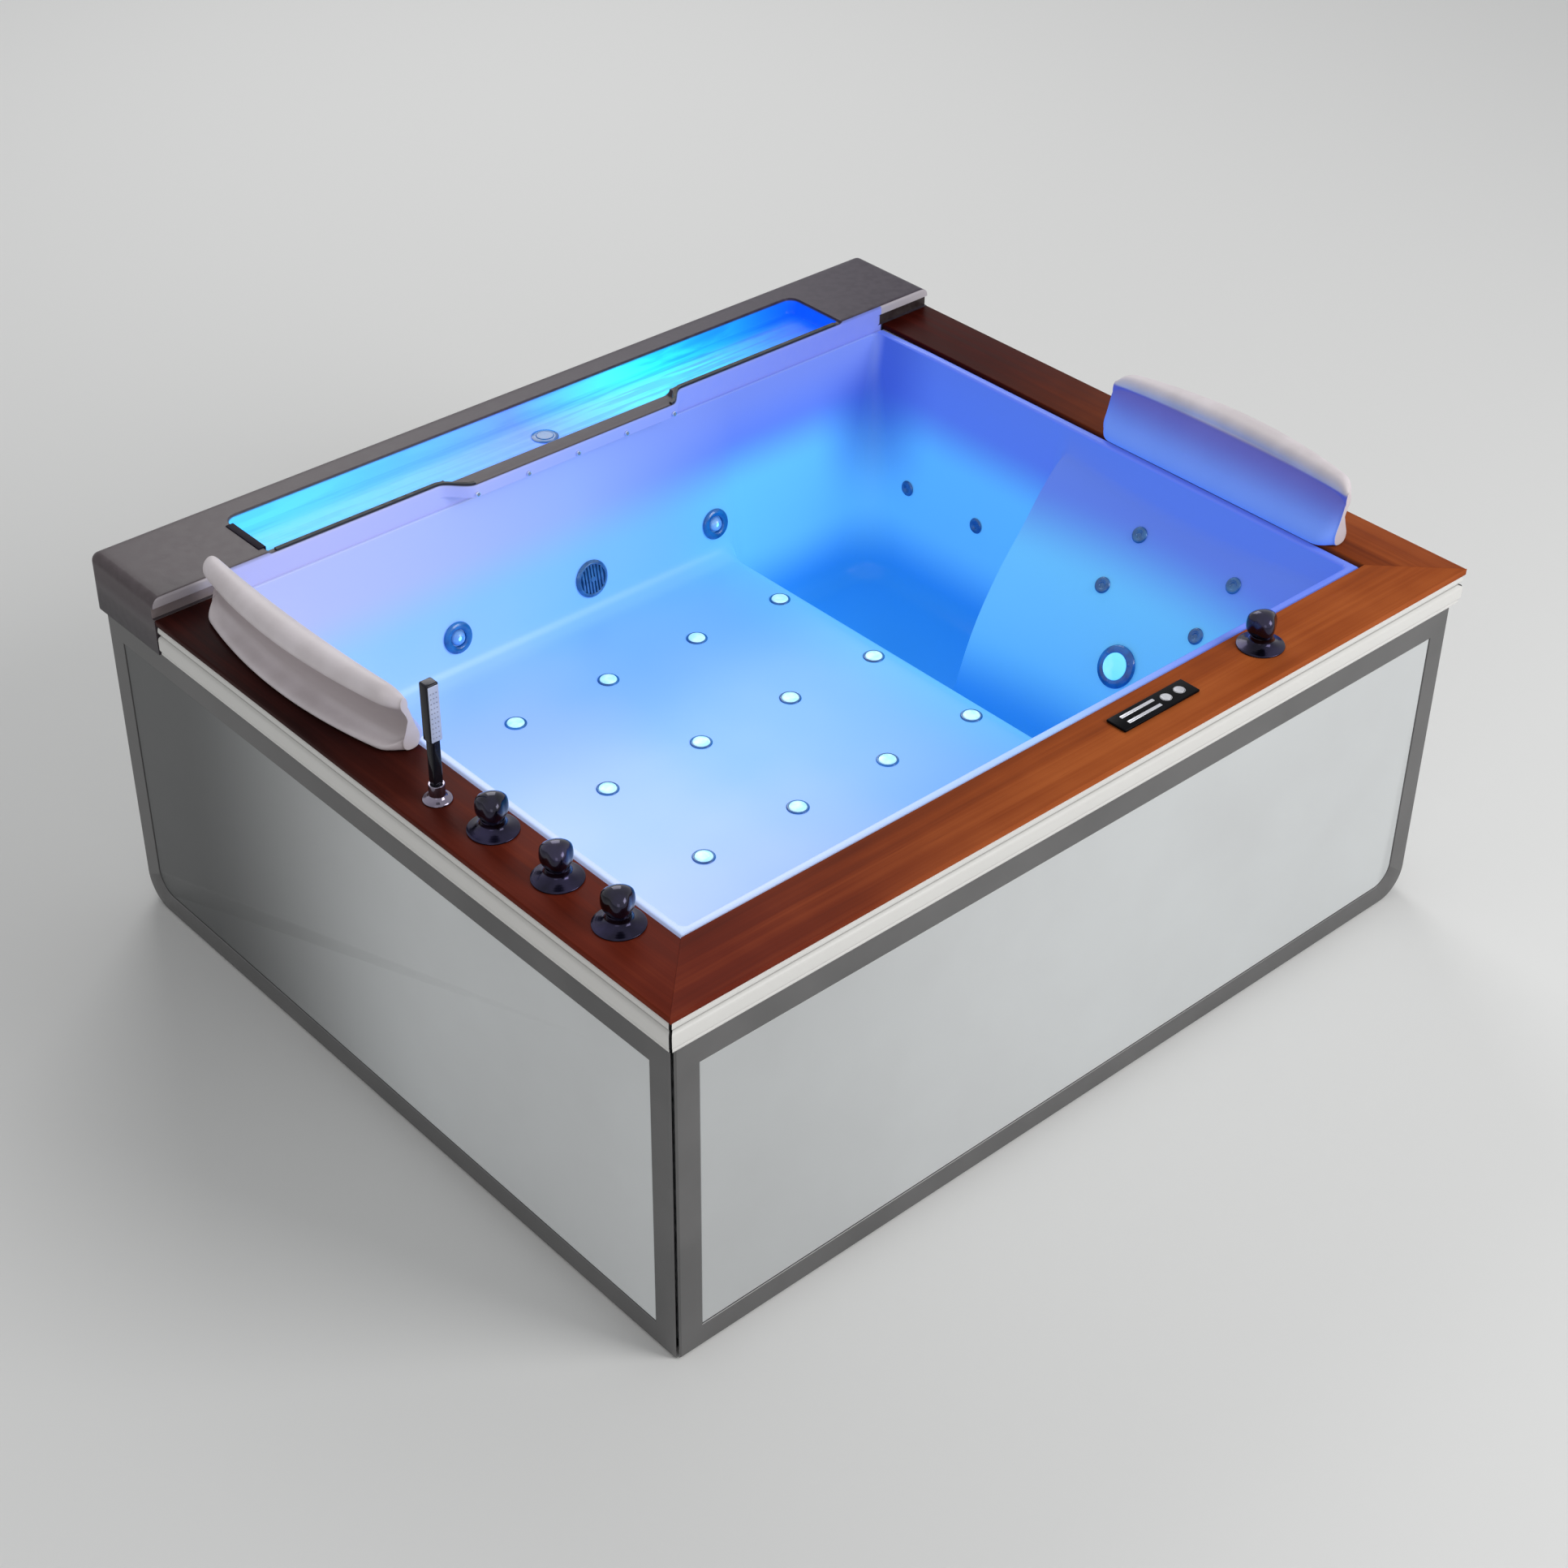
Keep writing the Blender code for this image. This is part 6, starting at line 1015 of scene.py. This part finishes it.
foam = Finish("headrest_skin")
leather = foam.add("TexVoronoi", Vector=foam.spot, Scale=420.0).outputs["Distance"]
soil = foam.noise(14.0, 4.0)
pale = foam.mixed(foam.between(soil, *CLOUDY), *REST_TONES)
outward = foam.maths("MULTIPLY", foam.facing(0), foam.axis("x"))
# Painted shade: the outward face under the roll is a darker brown-grey.
neck_shade = foam.times(foam.patch(*NECK_SHADE_PATCH), foam.between(outward, *OUTWARD))
pale = foam.mixed(neck_shade, pale, REST_NECK_SHADE)
# Painted light: the faces turned to the basin below the roll take the basin's blue light, with a glow,
# stronger on the right rest; just under the roll the blue is darker, as painted shade.
blue = foam.mixed(foam.patch(BLUE_RUN), *REST_BASIN_LIGHT)
basin_light_share = foam.times(foam.patch(LOW_FRONT), foam.between(outward, *INWARD), foam.patch(STRONGER_LIGHT_RIGHT))
foam.give(Base_Color=foam.mixed(basin_light_share, pale, blue), Emission_Strength=REST_GLOW,
          Emission_Color=foam.mixed(basin_light_share, (0, 0, 0), blue),
          Roughness=foam.between(soil, *CLOUDY, *REST_ROUGH), Normal=foam.bump(leather, 0.15, 0.0004))
for name, side, y in REST_SPOTS:
    rest = piece(f"rest_{name}", headrest_mesh(side, y), f"headrest_{name}", "foam", foam,
                 nodes=[f"headrest_{name}"], sharp=120)
    smooth = rest.modifiers.new("smooth", "SUBSURF")
    smooth.levels = smooth.render_levels = 2

# Fittings on the basin's wall and floor, each set square to the wall where a line from inside meets it:
# two massage jets with swivelling nozzles, a suction grille, small jets for feet and backs, and a lamp.
RING_XS, GRILLE_X, RING_HEIGHT = (-0.330, 0.289), -0.018, 0.455
FOOT_JETS, FOOT_HEIGHT = (0.227, 0.422), 0.413
BACK_JETS = ((-0.410, 0.500), (-0.180, 0.500), (-0.430, 0.590), (-0.200, 0.590))
LIGHT_AT, LIGHT_HEIGHT, DRAIN_AT = (0.302, -0.287), 0.400, (0.432, -0.270)
AIR_XS, AIR_YS, AIR_LEVEL = (-0.354, -0.141, 0.072, 0.281), (-0.203, 0.054, 0.317), 0.3803
SEAT_LIFT, LIGHT_LIFT = 0.0012, 0.0024
RING_WIDE, RING_BODY, RING_HIGH, RING_TAIL = 0.031, 0.0215, 0.007, 0.042
BALL, BALL_AT, BALL_GAP, BALL_EYE, BALL_STEPS = 0.0155, -0.0032, 0.0008, 0.36, 14
GRILLE_WIDE, GRILLE_BODY, GRILLE_HIGH, GRILLE_TAIL = 0.037, 0.020, 0.006, 0.050
GRILLE_BARS, GRILLE_MOUTH, GRILLE_FLOOR, GRILLE_HUB, BAR_SHARE = 7, 0.78, 0.001, 0.0055, 0.32
SMALL_WIDE, SMALL_BODY, SMALL_HIGH, SMALL_TAIL, SMALL_PIPE = 0.016, 0.009, 0.004, 0.036, 0.011
LIGHT_WIDE, LIGHT_BODY, LIGHT_HIGH, LIGHT_TAIL, LENS_WIDE = 0.041, 0.024, 0.008, 0.040, 0.026
CAP_WIDE, CAP_HIGH, CAP_STEM = 0.0205, 0.004, 0.007
AIR_PIPE, AIR_PIPE_LEVEL, AIR_TRUNK_X = 0.013, 0.338, -0.250
CAP_SHAPE = (0, 1), (0.50, 0.96), (0.74, 0.76), (0.80, 0.1)
COLLAR_SHAPE = (0.77, 0.15), (0.82, 0.60), (0.93, 0.5), (1, 0.2), (1, 0)


def wall_seat(start, direction, lift=SEAT_LIFT):
    """The place where a line meets the basin, with its Z out of the wall."""
    spot, normal, _, _ = basin_wall.ray_cast(Vector(start), Vector(direction))
    if normal.dot(Vector(direction)) > 0:
        normal = -normal
    return Matrix.Translation(spot + normal * lift) @ normal.to_track_quat("Z", "Y").to_matrix().to_4x4()


def gathered(meshes):
    """One bmesh of several."""
    whole = bmesh.new()
    for one in meshes:
        store = bpy.data.meshes.new("part")
        one.to_mesh(store)
        one.free()
        whole.from_mesh(store)
        bpy.data.meshes.remove(store)
    return whole


def tube(start, end, radius, around=28, soft=0.0006):
    """A straight round bar between two points, its ends slightly rounded."""
    start, end = Vector(start), Vector(end)
    span = end - start
    place = Matrix.Translation(start) @ span.to_track_quat("Z", "Y").to_matrix().to_4x4()
    return lathe([(0, 0), (radius, 0), (radius, span.length), (0, span.length)], around, place, soft)


def lit(name, tones, strength, scale=60.0):
    """A glowing lens, paler where its cloudiness is thin."""
    made = Finish(name)
    tone = made.ramp(made.noise(scale, 2.0), (0.35, 0.62), tones)
    made.give(Base_Color=tone, Emission_Color=tone, Emission_Strength=strength, Roughness=0.15)
    return made


def sized(wide, high, shape):
    return [(wide * out, high * up) for out, up in shape]


def fitting(wide, high, shape, body, tail):
    """The line of a fitting: its flange by shares of width and height, then its body behind the wall."""
    return [*sized(wide, high, shape), (wide, 0), (body, 0), (body, -tail), (0, -tail)]


def ringed(count, radius, height, start):
    """Places evenly round a circle."""
    turns = [math.tau * step / count + start for step in range(count)]
    return [moved(radius * math.cos(turn), radius * math.sin(turn), height) for turn in turns]


# The blue and teal of the ring, jet face and small-jet finishes are the basin's blue light, painted into
# their colours.
blue_ring = painted("blue_ring", ((0.006, 0.095, 0.31), (0.012, 0.23, 0.62)), (0.16, 0.26), 0.0, 30.0,
                    coat=0.2)
jet_face = painted("jet_face", ((0.16, 0.42, 0.90), (0.30, 0.62, 0.97)), (0.18, 0.28), 0.0, 40.0, coat=0.4)
basin_lit_teal = painted("basin_lit_teal", ((0.020, 0.105, 0.27), (0.045, 0.19, 0.42)), (0.20, 0.34), 0.2, 50.0, coat=0.3)
pipe_grey = painted("pipe_grey", ((0.22, 0.23, 0.24), (0.30, 0.31, 0.32)), (0.38, 0.52), 0.0, 25.0)
lamp_lens = lit("lamp_lens", ((0.18, 0.72, 0.94), (0.34, 0.84, 0.98)), 0.65, 18.0)
air_lens = lit("air_lens", ((0.42, 0.84, 0.94), (0.62, 0.93, 0.97)), 0.45)

ring_shape = (0.62, 0.86), (0.78, 1), (0.93, 0.72), (1, 0.3)
start = math.asin(BALL_EYE)
turns = [start + (math.pi - start) * step / BALL_STEPS for step in range(1, BALL_STEPS + 1)]
for name, x in zip(("left", "right"), RING_XS):
    seat = wall_seat((x, MIDDLE_Y, RING_HEIGHT), (0, 1, 0))
    line = [(BALL + BALL_GAP, -0.018), (BALL + BALL_GAP, 0.0036),
            *fitting(RING_WIDE, RING_HIGH, ring_shape, RING_BODY, RING_TAIL)]
    piece(f"massage_ring_{name}", lathe(line, 56, seat, 0.0012, 3), "tub", "chrome", blue_ring,
          nodes=[f"ring_jet_{name}"])
    ball = sized(BALL, BALL, ((0, 0.62), (0.28, 0.64), (BALL_EYE, 0.92)))
    ball += [(BALL * math.sin(turn), BALL * math.cos(turn)) for turn in turns]
    centre = seat @ moved(z=BALL_AT)
    piece(f"massage_nozzle_{name}", lathe(ball, 48, centre), f"ring_nozzle_{name}", "lens", jet_face,
          nodes=[f"ring_nozzle_{name}"])
    eye = lathe(sized(BALL, BALL, ((0, 0.63), (0.27, 0.655), (0.30, 0.63))), 32, centre)
    piece(f"nozzle_eye_{name}", eye, f"ring_nozzle_{name}", "lens", lamp_lens)

mouth = GRILLE_WIDE * GRILLE_MOUTH
line = [(0, 0.0012), (mouth, 0.0012), *fitting(GRILLE_WIDE, GRILLE_HIGH, (
    (GRILLE_MOUTH, 0.92), (0.86, 1), (1, 0.3)), GRILLE_BODY, GRILLE_TAIL)]
grille = [lathe(line, 64, soft=0.0009, arcs=3)]
pitch = 2 * mouth / (GRILLE_BARS + 1)
for step in range(GRILLE_BARS):
    off = pitch * (step - (GRILLE_BARS - 1) / 2)
    reach = math.sqrt(mouth ** 2 - off * off)
    grille.append(slab((off - pitch * BAR_SHARE, -reach, GRILLE_FLOOR),
                       (off + pitch * BAR_SHARE, reach, GRILLE_HIGH * 0.9), 0.0007, 2))
hub = [(0, GRILLE_HIGH), (GRILLE_HUB, GRILLE_HIGH), (GRILLE_HUB, GRILLE_FLOOR)]
grille.append(lathe(hub, 24, soft=0.0008))
seat = wall_seat((GRILLE_X, MIDDLE_Y, RING_HEIGHT), (0, 1, 0))
piece("suction_face", shifted(gathered(grille), seat), "tub", "grey", basin_lit_teal, nodes=["suction_grille"])

small_line = [(0, 0.0014), (SMALL_WIDE * 0.30, 0.0014), (SMALL_WIDE * 0.36, 0.0030),
              (SMALL_WIDE * 0.50, 0.0030),
              *fitting(SMALL_WIDE, SMALL_HIGH, ((0.56, 1), (0.84, 0.9), (1, 0.25)), SMALL_BODY, SMALL_TAIL)]
half_turn = moved(y=MIDDLE_Y) @ Matrix.Rotation(math.pi, 4, "Z") @ moved(y=-MIDDLE_Y)
foot_seats = [wall_seat((0, y, FOOT_HEIGHT), (1, 0, 0)) for y in FOOT_JETS]
back_seats = [wall_seat((0, y, z), (1, 0, 0)) for y, z in BACK_JETS]
far_seats = [half_turn @ seat for seat in back_seats]
back_links = ((0, 1), (2, 3), (0, 2))
for name, seats, links, node in (
        ("foot_nozzles", foot_seats, ((0, 1),), "foot_jets"),
        ("back_nozzles_right", back_seats, back_links, "back_jets_right"),
        ("back_nozzles_left", far_seats, back_links, "back_jets_left")):
    piece(name, gathered([lathe(small_line, 36, seat, 0.0007) for seat in seats]), "tub", "grey", basin_lit_teal)
    tails = [seat @ Vector((0, 0, SMALL_PIPE * 0.6 - SMALL_TAIL)) for seat in seats]
    pipes = [tube(tails[first], tails[second], SMALL_PIPE) for first, second in links]
    piece(name + "_pipes", gathered(pipes), "tub", "grey", pipe_grey, nodes=[node])

seat = wall_seat((*LIGHT_AT, LIGHT_HEIGHT), (1, 0, 0), LIGHT_LIFT)
line = [(LENS_WIDE, LIGHT_HIGH - 0.005), (LENS_WIDE, LIGHT_HIGH),
        *fitting(LIGHT_WIDE, LIGHT_HIGH, ((0.80, 1), (0.94, 0.72), (1, 0.3)), LIGHT_BODY, LIGHT_TAIL)]
bezel = [lathe(line, 64, soft=0.0010, arcs=3)]
bezel += [lathe([(0, 0.0014), (0.0018, 0.0014), (0.0028, 0.0008), (0.0030, 0)], 20, at, 0.0003)
          for at in ringed(3, LIGHT_WIDE * 0.74, LIGHT_HIGH - 0.0006, 0.5)]
piece("lamp_bezel", shifted(gathered(bezel), seat), "tub", "blue", blue_ring, nodes=["underwater_light"])
rim = LENS_WIDE - 0.0003
glass = [(0, LIGHT_HIGH + 0.0030), (rim * 0.35, LIGHT_HIGH + 0.0028), (rim * 0.7, LIGHT_HIGH + 0.0018),
         (rim, LIGHT_HIGH), (rim, LIGHT_HIGH - 0.0047), (0, LIGHT_HIGH - 0.0047)]
piece("lamp_glass", lathe(glass, 64, seat, 0.004, 4), "tub", "lens", lamp_lens, nodes=["underwater_lens"])

caps, collars, stems = [], [], []
for y in AIR_YS:
    for x in AIR_XS:
        at = moved(x, y, AIR_LEVEL)
        caps.append(lathe(sized(CAP_WIDE, CAP_HIGH, CAP_SHAPE), 32, at, 0.0006, 3))
        collars.append(lathe(sized(CAP_WIDE, CAP_HIGH, COLLAR_SHAPE), 32, at, 0.0004))
        stems.append(tube((x, y, AIR_PIPE_LEVEL), (x, y, AIR_LEVEL), CAP_STEM, 20))
left_end, right_end = AIR_XS[0] - 2 * AIR_PIPE, AIR_XS[-1] + 1.5 * AIR_PIPE
for y in AIR_YS:
    stems.append(tube((left_end, y, AIR_PIPE_LEVEL), (right_end, y, AIR_PIPE_LEVEL), AIR_PIPE))
trunk_level = AIR_PIPE_LEVEL - AIR_PIPE / 4
stems.append(tube((AIR_TRUNK_X, AIR_YS[0] - 2 * AIR_PIPE, trunk_level),
                  (AIR_TRUNK_X, AIR_YS[-1] + 2 * AIR_PIPE, trunk_level), AIR_PIPE * 1.1))
piece("air_caps", gathered(caps), "tub", "lens", air_lens)
piece("air_collars", gathered(collars), "tub", "blue", blue_ring)
piece("air_pipes", gathered(stems), "tub", "grey", pipe_grey, nodes=["air_jet_manifold"])

# Drain in the footwell and its stopper, which lifts on a short stem.
DRAIN_WIDE, DRAIN_BODY, DRAIN_HIGH, DRAIN_BORE, DRAIN_LONG = 0.030, 0.020, 0.004, 0.015, 0.070
STOPPER_WIDE, STOPPER_HIGH, STOPPER_STEM, STOPPER_GAP = 0.022, 0.005, 0.012, 0.0003
seat = wall_seat((*DRAIN_AT, BOARD_TOP), (0, 0, -1))
floor_at = -DRAIN_LONG * 0.6
line = [(0, floor_at), (DRAIN_BORE, floor_at), (DRAIN_BORE, 0),
        *fitting(DRAIN_WIDE, DRAIN_HIGH, ((0.78, 1), (0.9, 0.85), (1, 0.3)), DRAIN_BODY, DRAIN_LONG)]
piece("drain_flange", lathe(line, 56, seat, 0.0008, 3), "tub", "chrome", polished, nodes=["drain_body"])
foot = DRAIN_HIGH + STOPPER_GAP
line = [(radius, foot + height) for radius, height in sized(STOPPER_WIDE, STOPPER_HIGH, (
    (0, 1), (0.5, 0.94), (0.85, 0.7), (1, 0.25), (1, 0)))]
line += [(STOPPER_STEM, foot), (STOPPER_STEM, floor_at + 0.0005), (0, floor_at + 0.0005)]
piece("stopper_dome", lathe(line, 56, seat, 0.0012, 3), "drain_stopper", "chrome", polished,
      nodes=["drain_stopper"])

# Spout nozzles and the cap over the trough's feed: five small lit nozzles in a row on the spout's face.
NOZZLES, NOZZLE_PITCH, NOZZLE_LEVEL = 5, 0.114, 0.7255
NOZZLE_WIDE, NOZZLE_OUT, TIP_OVER = 0.0045, 0.004, 0.0004
INLET_AT, INLET_WIDE, INLET_HIGH, INLET_BODY, INLET_TAIL = (-0.030, 0.627, 0.7173), 0.026, 0.004, 0.014, 0.040
tip = [(NOZZLE_WIDE * 0.7, NOZZLE_OUT), (NOZZLE_WIDE, NOZZLE_OUT + TIP_OVER),
       (NOZZLE_WIDE + TIP_OVER, NOZZLE_OUT * 0.6), (NOZZLE_WIDE + TIP_OVER, -0.001)]
spout_dots, spout_rims = [], []
for step in range(NOZZLES):
    x = SPOUT_MIDDLE + NOZZLE_PITCH * (step - (NOZZLES - 1) / 2)
    at = moved(x, DECK_FRONT - spout_reach(x), NOZZLE_LEVEL) @ Matrix.Rotation(quarter, 4, "X")
    spout_rims.append(lathe(tip, 24, at, 0.0003))
    spout_dots.append(lathe(sized(NOZZLE_WIDE, NOZZLE_OUT, ((0, 0.95), (0.5, 0.9), (0.72, 0.6))), 24, at))
piece("spout_lamps", gathered(spout_dots), "tub", "lens", air_lens)
piece("spout_tips", gathered(spout_rims), "tub", "chrome", polished)
cap_shape = (0, 1), (0.5, 0.96), (0.62, 0.9), (0.66, 0.6), (0.74, 0.6), (1, 0.25)
line = fitting(INLET_WIDE, INLET_HIGH, cap_shape, INLET_BODY, INLET_TAIL)
piece("inlet_cap", lathe(line, 56, moved(*INLET_AT), 0.0006, 3), "tub", "blue", blue_ring,
      nodes=["trough_inlet"])

# Service side: galvanised cradle, feet, pump, blower, control box and pipes. Only the service openings and
# the underside show them.
galvanised = painted("galvanised", ((0.36, 0.38, 0.40), (0.52, 0.54, 0.56)), (0.35, 0.55), 0.85, 55.0, 0.1)
black_rubber = painted("black_rubber", ((0.012, 0.012, 0.013), (0.030, 0.030, 0.032)), (0.55, 0.75), 0.0,
                       70.0, 0.2)
cast_grey = painted("cast_grey", ((0.17, 0.19, 0.22), (0.26, 0.28, 0.32)), (0.40, 0.55), 0.3, 60.0, 0.25)
motor_blue = painted("motor_paint", ((0.020, 0.060, 0.15), (0.035, 0.090, 0.21)), (0.30, 0.42), 0.1,
                     45.0, 0.15)
box_grey = painted("box_grey", ((0.36, 0.38, 0.41), (0.44, 0.46, 0.49)), (0.35, 0.45), 0.0, 80.0, 0.15)
black_pipe = painted("black_pipe", ((0.010, 0.010, 0.011), (0.028, 0.028, 0.030)), (0.30, 0.42), 0.0, 35.0)
# The weir strips along the top of the trough's front dam are made black, as a dark line along it.
for finish, names in (
        (galvanised, ("steel_cradle",)), (black_rubber, ("weir_strip_left", "weir_strip_right")),
        (black_pipe, ("suction_pipe", "pressure_pipe", "air_pipe")),
        (pipe_grey, ("jet_header", "spout_nozzles"))):
    for name in names:
        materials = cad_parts[name].data.materials
        materials.clear()
        materials.append(finish.holder)


def hexagon(radius, deep, soft, place):
    bm = bmesh.new()
    bmesh.ops.create_cone(bm, cap_ends=True, segments=6, radius1=radius, radius2=radius, depth=deep,
                          matrix=place)
    return softened(bm, bm.edges[:], soft, 2)


CRADLE_HALF, RAIL_TOP, FOOT_SIDE = (0.8759, 0.7509), 0.0603, 0.0225
FOOT_WIDE, FOOT_PAD, FOOT_STEM, FOOT_TOP = 0.021, 0.008, 0.006, 0.0295
NUT_WIDE, NUT_HIGH, NUT_LEVEL = 0.0105, 0.007, 0.0258
THREADS, THREAD_FOOT, THREAD_PITCH, THREAD_DEEP = 6, 0.011, 0.0030, 0.0007
stem = [(0, 0), (FOOT_WIDE, 0), (FOOT_WIDE, FOOT_PAD * 0.5), (FOOT_STEM + 0.002, FOOT_PAD),
        (FOOT_STEM, FOOT_PAD + 0.001)]
for step in range(THREADS):
    level = THREAD_FOOT + THREAD_PITCH * step
    stem += [(FOOT_STEM, level), (FOOT_STEM - THREAD_DEEP, level + 0.0014)]
stem += [(FOOT_STEM, FOOT_TOP), (0, FOOT_TOP)]
for number, (x_side, y_side) in enumerate(((-1, -1), (1, -1), (-1, 1), (1, 1)), 1):
    at = moved(x_side * (CRADLE_HALF[0] - FOOT_SIDE), y_side * (CRADLE_HALF[1] - FOOT_SIDE))
    piece(f"foot_pad_{number}", lathe(stem, 32, at, 0.0005), "tub", "rubber", black_rubber,
          nodes=[f"levelling_foot_{number}"])
    nut = hexagon(NUT_WIDE, NUT_HIGH, 0.0008, moved(z=NUT_LEVEL))
    piece(f"foot_nut_{number}", shifted(nut, at), "tub", "steel", galvanised)

PUMP_AT, MOTOR_WIDE, MOTOR_LONG, VOLUTE_WIDE, VOLUTE_LONG = (-0.500, -0.300), 0.062, 0.200, 0.075, 0.070
PORT, PORT_OUT, FIN_DEEP, FINS, PLINTH_WIDE, PLINTH_HIGH = 0.022, 0.040, 0.004, 9, 0.150, 0.014
pump_low, pump_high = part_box("circulation_pump")
pump_x, pump_y = PUMP_AT
plinth_top = pump_low[2] + PLINTH_HIGH
axis_z = pump_high[2] - PORT_OUT - VOLUTE_WIDE
lying = moved(*PUMP_AT, axis_z) @ Matrix.Rotation(quarter, 4, "X")
core = MOTOR_WIDE - FIN_DEEP
volute = sized(VOLUTE_WIDE, -VOLUTE_LONG, ((0, 1), (0.55, 1), (0.92, 0.86), (1, 0.60), (1, 0.16), (0.97, 0)))
volute.append((core * 0.9, 0))
motor = [(core * 0.9, 0), (core, 0.004)]
pitch = MOTOR_LONG * 0.74 / FINS
for step in range(FINS):
    level = 0.012 + pitch * step
    motor += [(core, level), (MOTOR_WIDE, level + 0.0008), (MOTOR_WIDE, level + pitch * 0.34),
              (core, level + pitch * 0.42)]
motor += [(core, MOTOR_LONG * 0.82), *sized(MOTOR_WIDE, MOTOR_LONG, (
    (0.98, 0.83), (0.98, 0.97), (0.85, 1), (0, 1)))]
bolts = [hexagon(0.0048, 0.005, 0.0004, at) for at in ringed(8, VOLUTE_WIDE * 0.86, 0.002, math.tau / 16)]
casing = shifted(gathered([lathe(volute, 56, soft=0.003, arcs=4), *bolts]), lying)
face_y, port_y = pump_y + VOLUTE_LONG, pump_y + VOLUTE_LONG * 0.55
ports = [tube((pump_x, face_y - PORT_OUT, axis_z), (pump_x, face_y + PORT_OUT, axis_z), PORT, 36, 0.001),
         tube((pump_x, port_y, axis_z), (pump_x, port_y, axis_z + VOLUTE_WIDE + PORT_OUT), PORT, 36, 0.001)]
shoe = slab((pump_x - PLINTH_WIDE / 2, pump_y - MOTOR_LONG * 0.7, pump_low[2]),
            (pump_x + PLINTH_WIDE / 2, pump_y + VOLUTE_LONG / 2, plinth_top), 0.002)
web = slab((pump_x - PORT, pump_y - MOTOR_LONG * 0.6, plinth_top - PLINTH_HIGH / 2),
           (pump_x + PORT, pump_y + VOLUTE_LONG / 3, axis_z - core * 0.6), 0.002, 2)
piece("pump_volute", gathered([casing, *ports]), "tub", "pump", cast_grey, nodes=["circulation_pump"])
piece("pump_motor", lathe(motor, 56, lying, 0.0006), "tub", "pump", motor_blue)
piece("pump_shoe", gathered([shoe, web]), "tub", "pump", black_rubber)

BLOWER_AT, BLOWER_WIDE, BLOWER_HIGH, BLOWER_NECK, NECK_HIGH = (-0.500, 0.240), 0.080, 0.150, 0.022, 0.030
vents, vent_pitch, waist = 5, 0.065, BLOWER_WIDE * 0.85
line = sized(BLOWER_WIDE, BLOWER_HIGH, ((0, 0), (0.8, 0), (1, 0.15), (1, 0.5), (0.85, 0.55)))
for step in range(vents):
    level = BLOWER_HIGH * (0.59 + vent_pitch * step)
    line += [(waist, level), (BLOWER_WIDE * 0.81, level + 0.0015), (BLOWER_WIDE * 0.81, level + 0.0045),
             (waist, level + 0.006)]
line += [(waist, BLOWER_HIGH * 0.93), (BLOWER_WIDE * 0.7, BLOWER_HIGH), (BLOWER_NECK, BLOWER_HIGH),
         (BLOWER_NECK, BLOWER_HIGH + NECK_HIGH), (0, BLOWER_HIGH + NECK_HIGH)]
piece("blower_case", lathe(line, 56, moved(*BLOWER_AT, RAIL_TOP), 0.0015, 3), "tub", "black", black_pipe,
      nodes=["air_blower"])

LID_DEEP, LID_LAP, SCREW_IN, SCREW_SINK = 0.012, 0.0005, 0.010, 0.0012
box_low, box_high = [Vector(corner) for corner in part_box("control_box")]
case = slab(box_low, box_high - Vector((0, 0, LID_DEEP)), 0.005, 4)
lid = slab((box_low.x, box_low.y, box_high.z - LID_DEEP - LID_LAP), tuple(box_high), 0.003)
screws = []
for x in (box_low.x + SCREW_IN, box_high.x - SCREW_IN):
    for y in (box_low.y + SCREW_IN, box_high.y - SCREW_IN):
        at = moved(x, y, box_high.z - SCREW_SINK)
        screws.append(lathe([(0, 0.0011), (0.0026, 0.0011), (0.0034, 0)], 20, at))
piece("box_case", gathered([case, lid]), "tub", "grey", box_grey, nodes=["control_box"])
piece("box_screws", gathered(screws), "tub", "steel", galvanised)
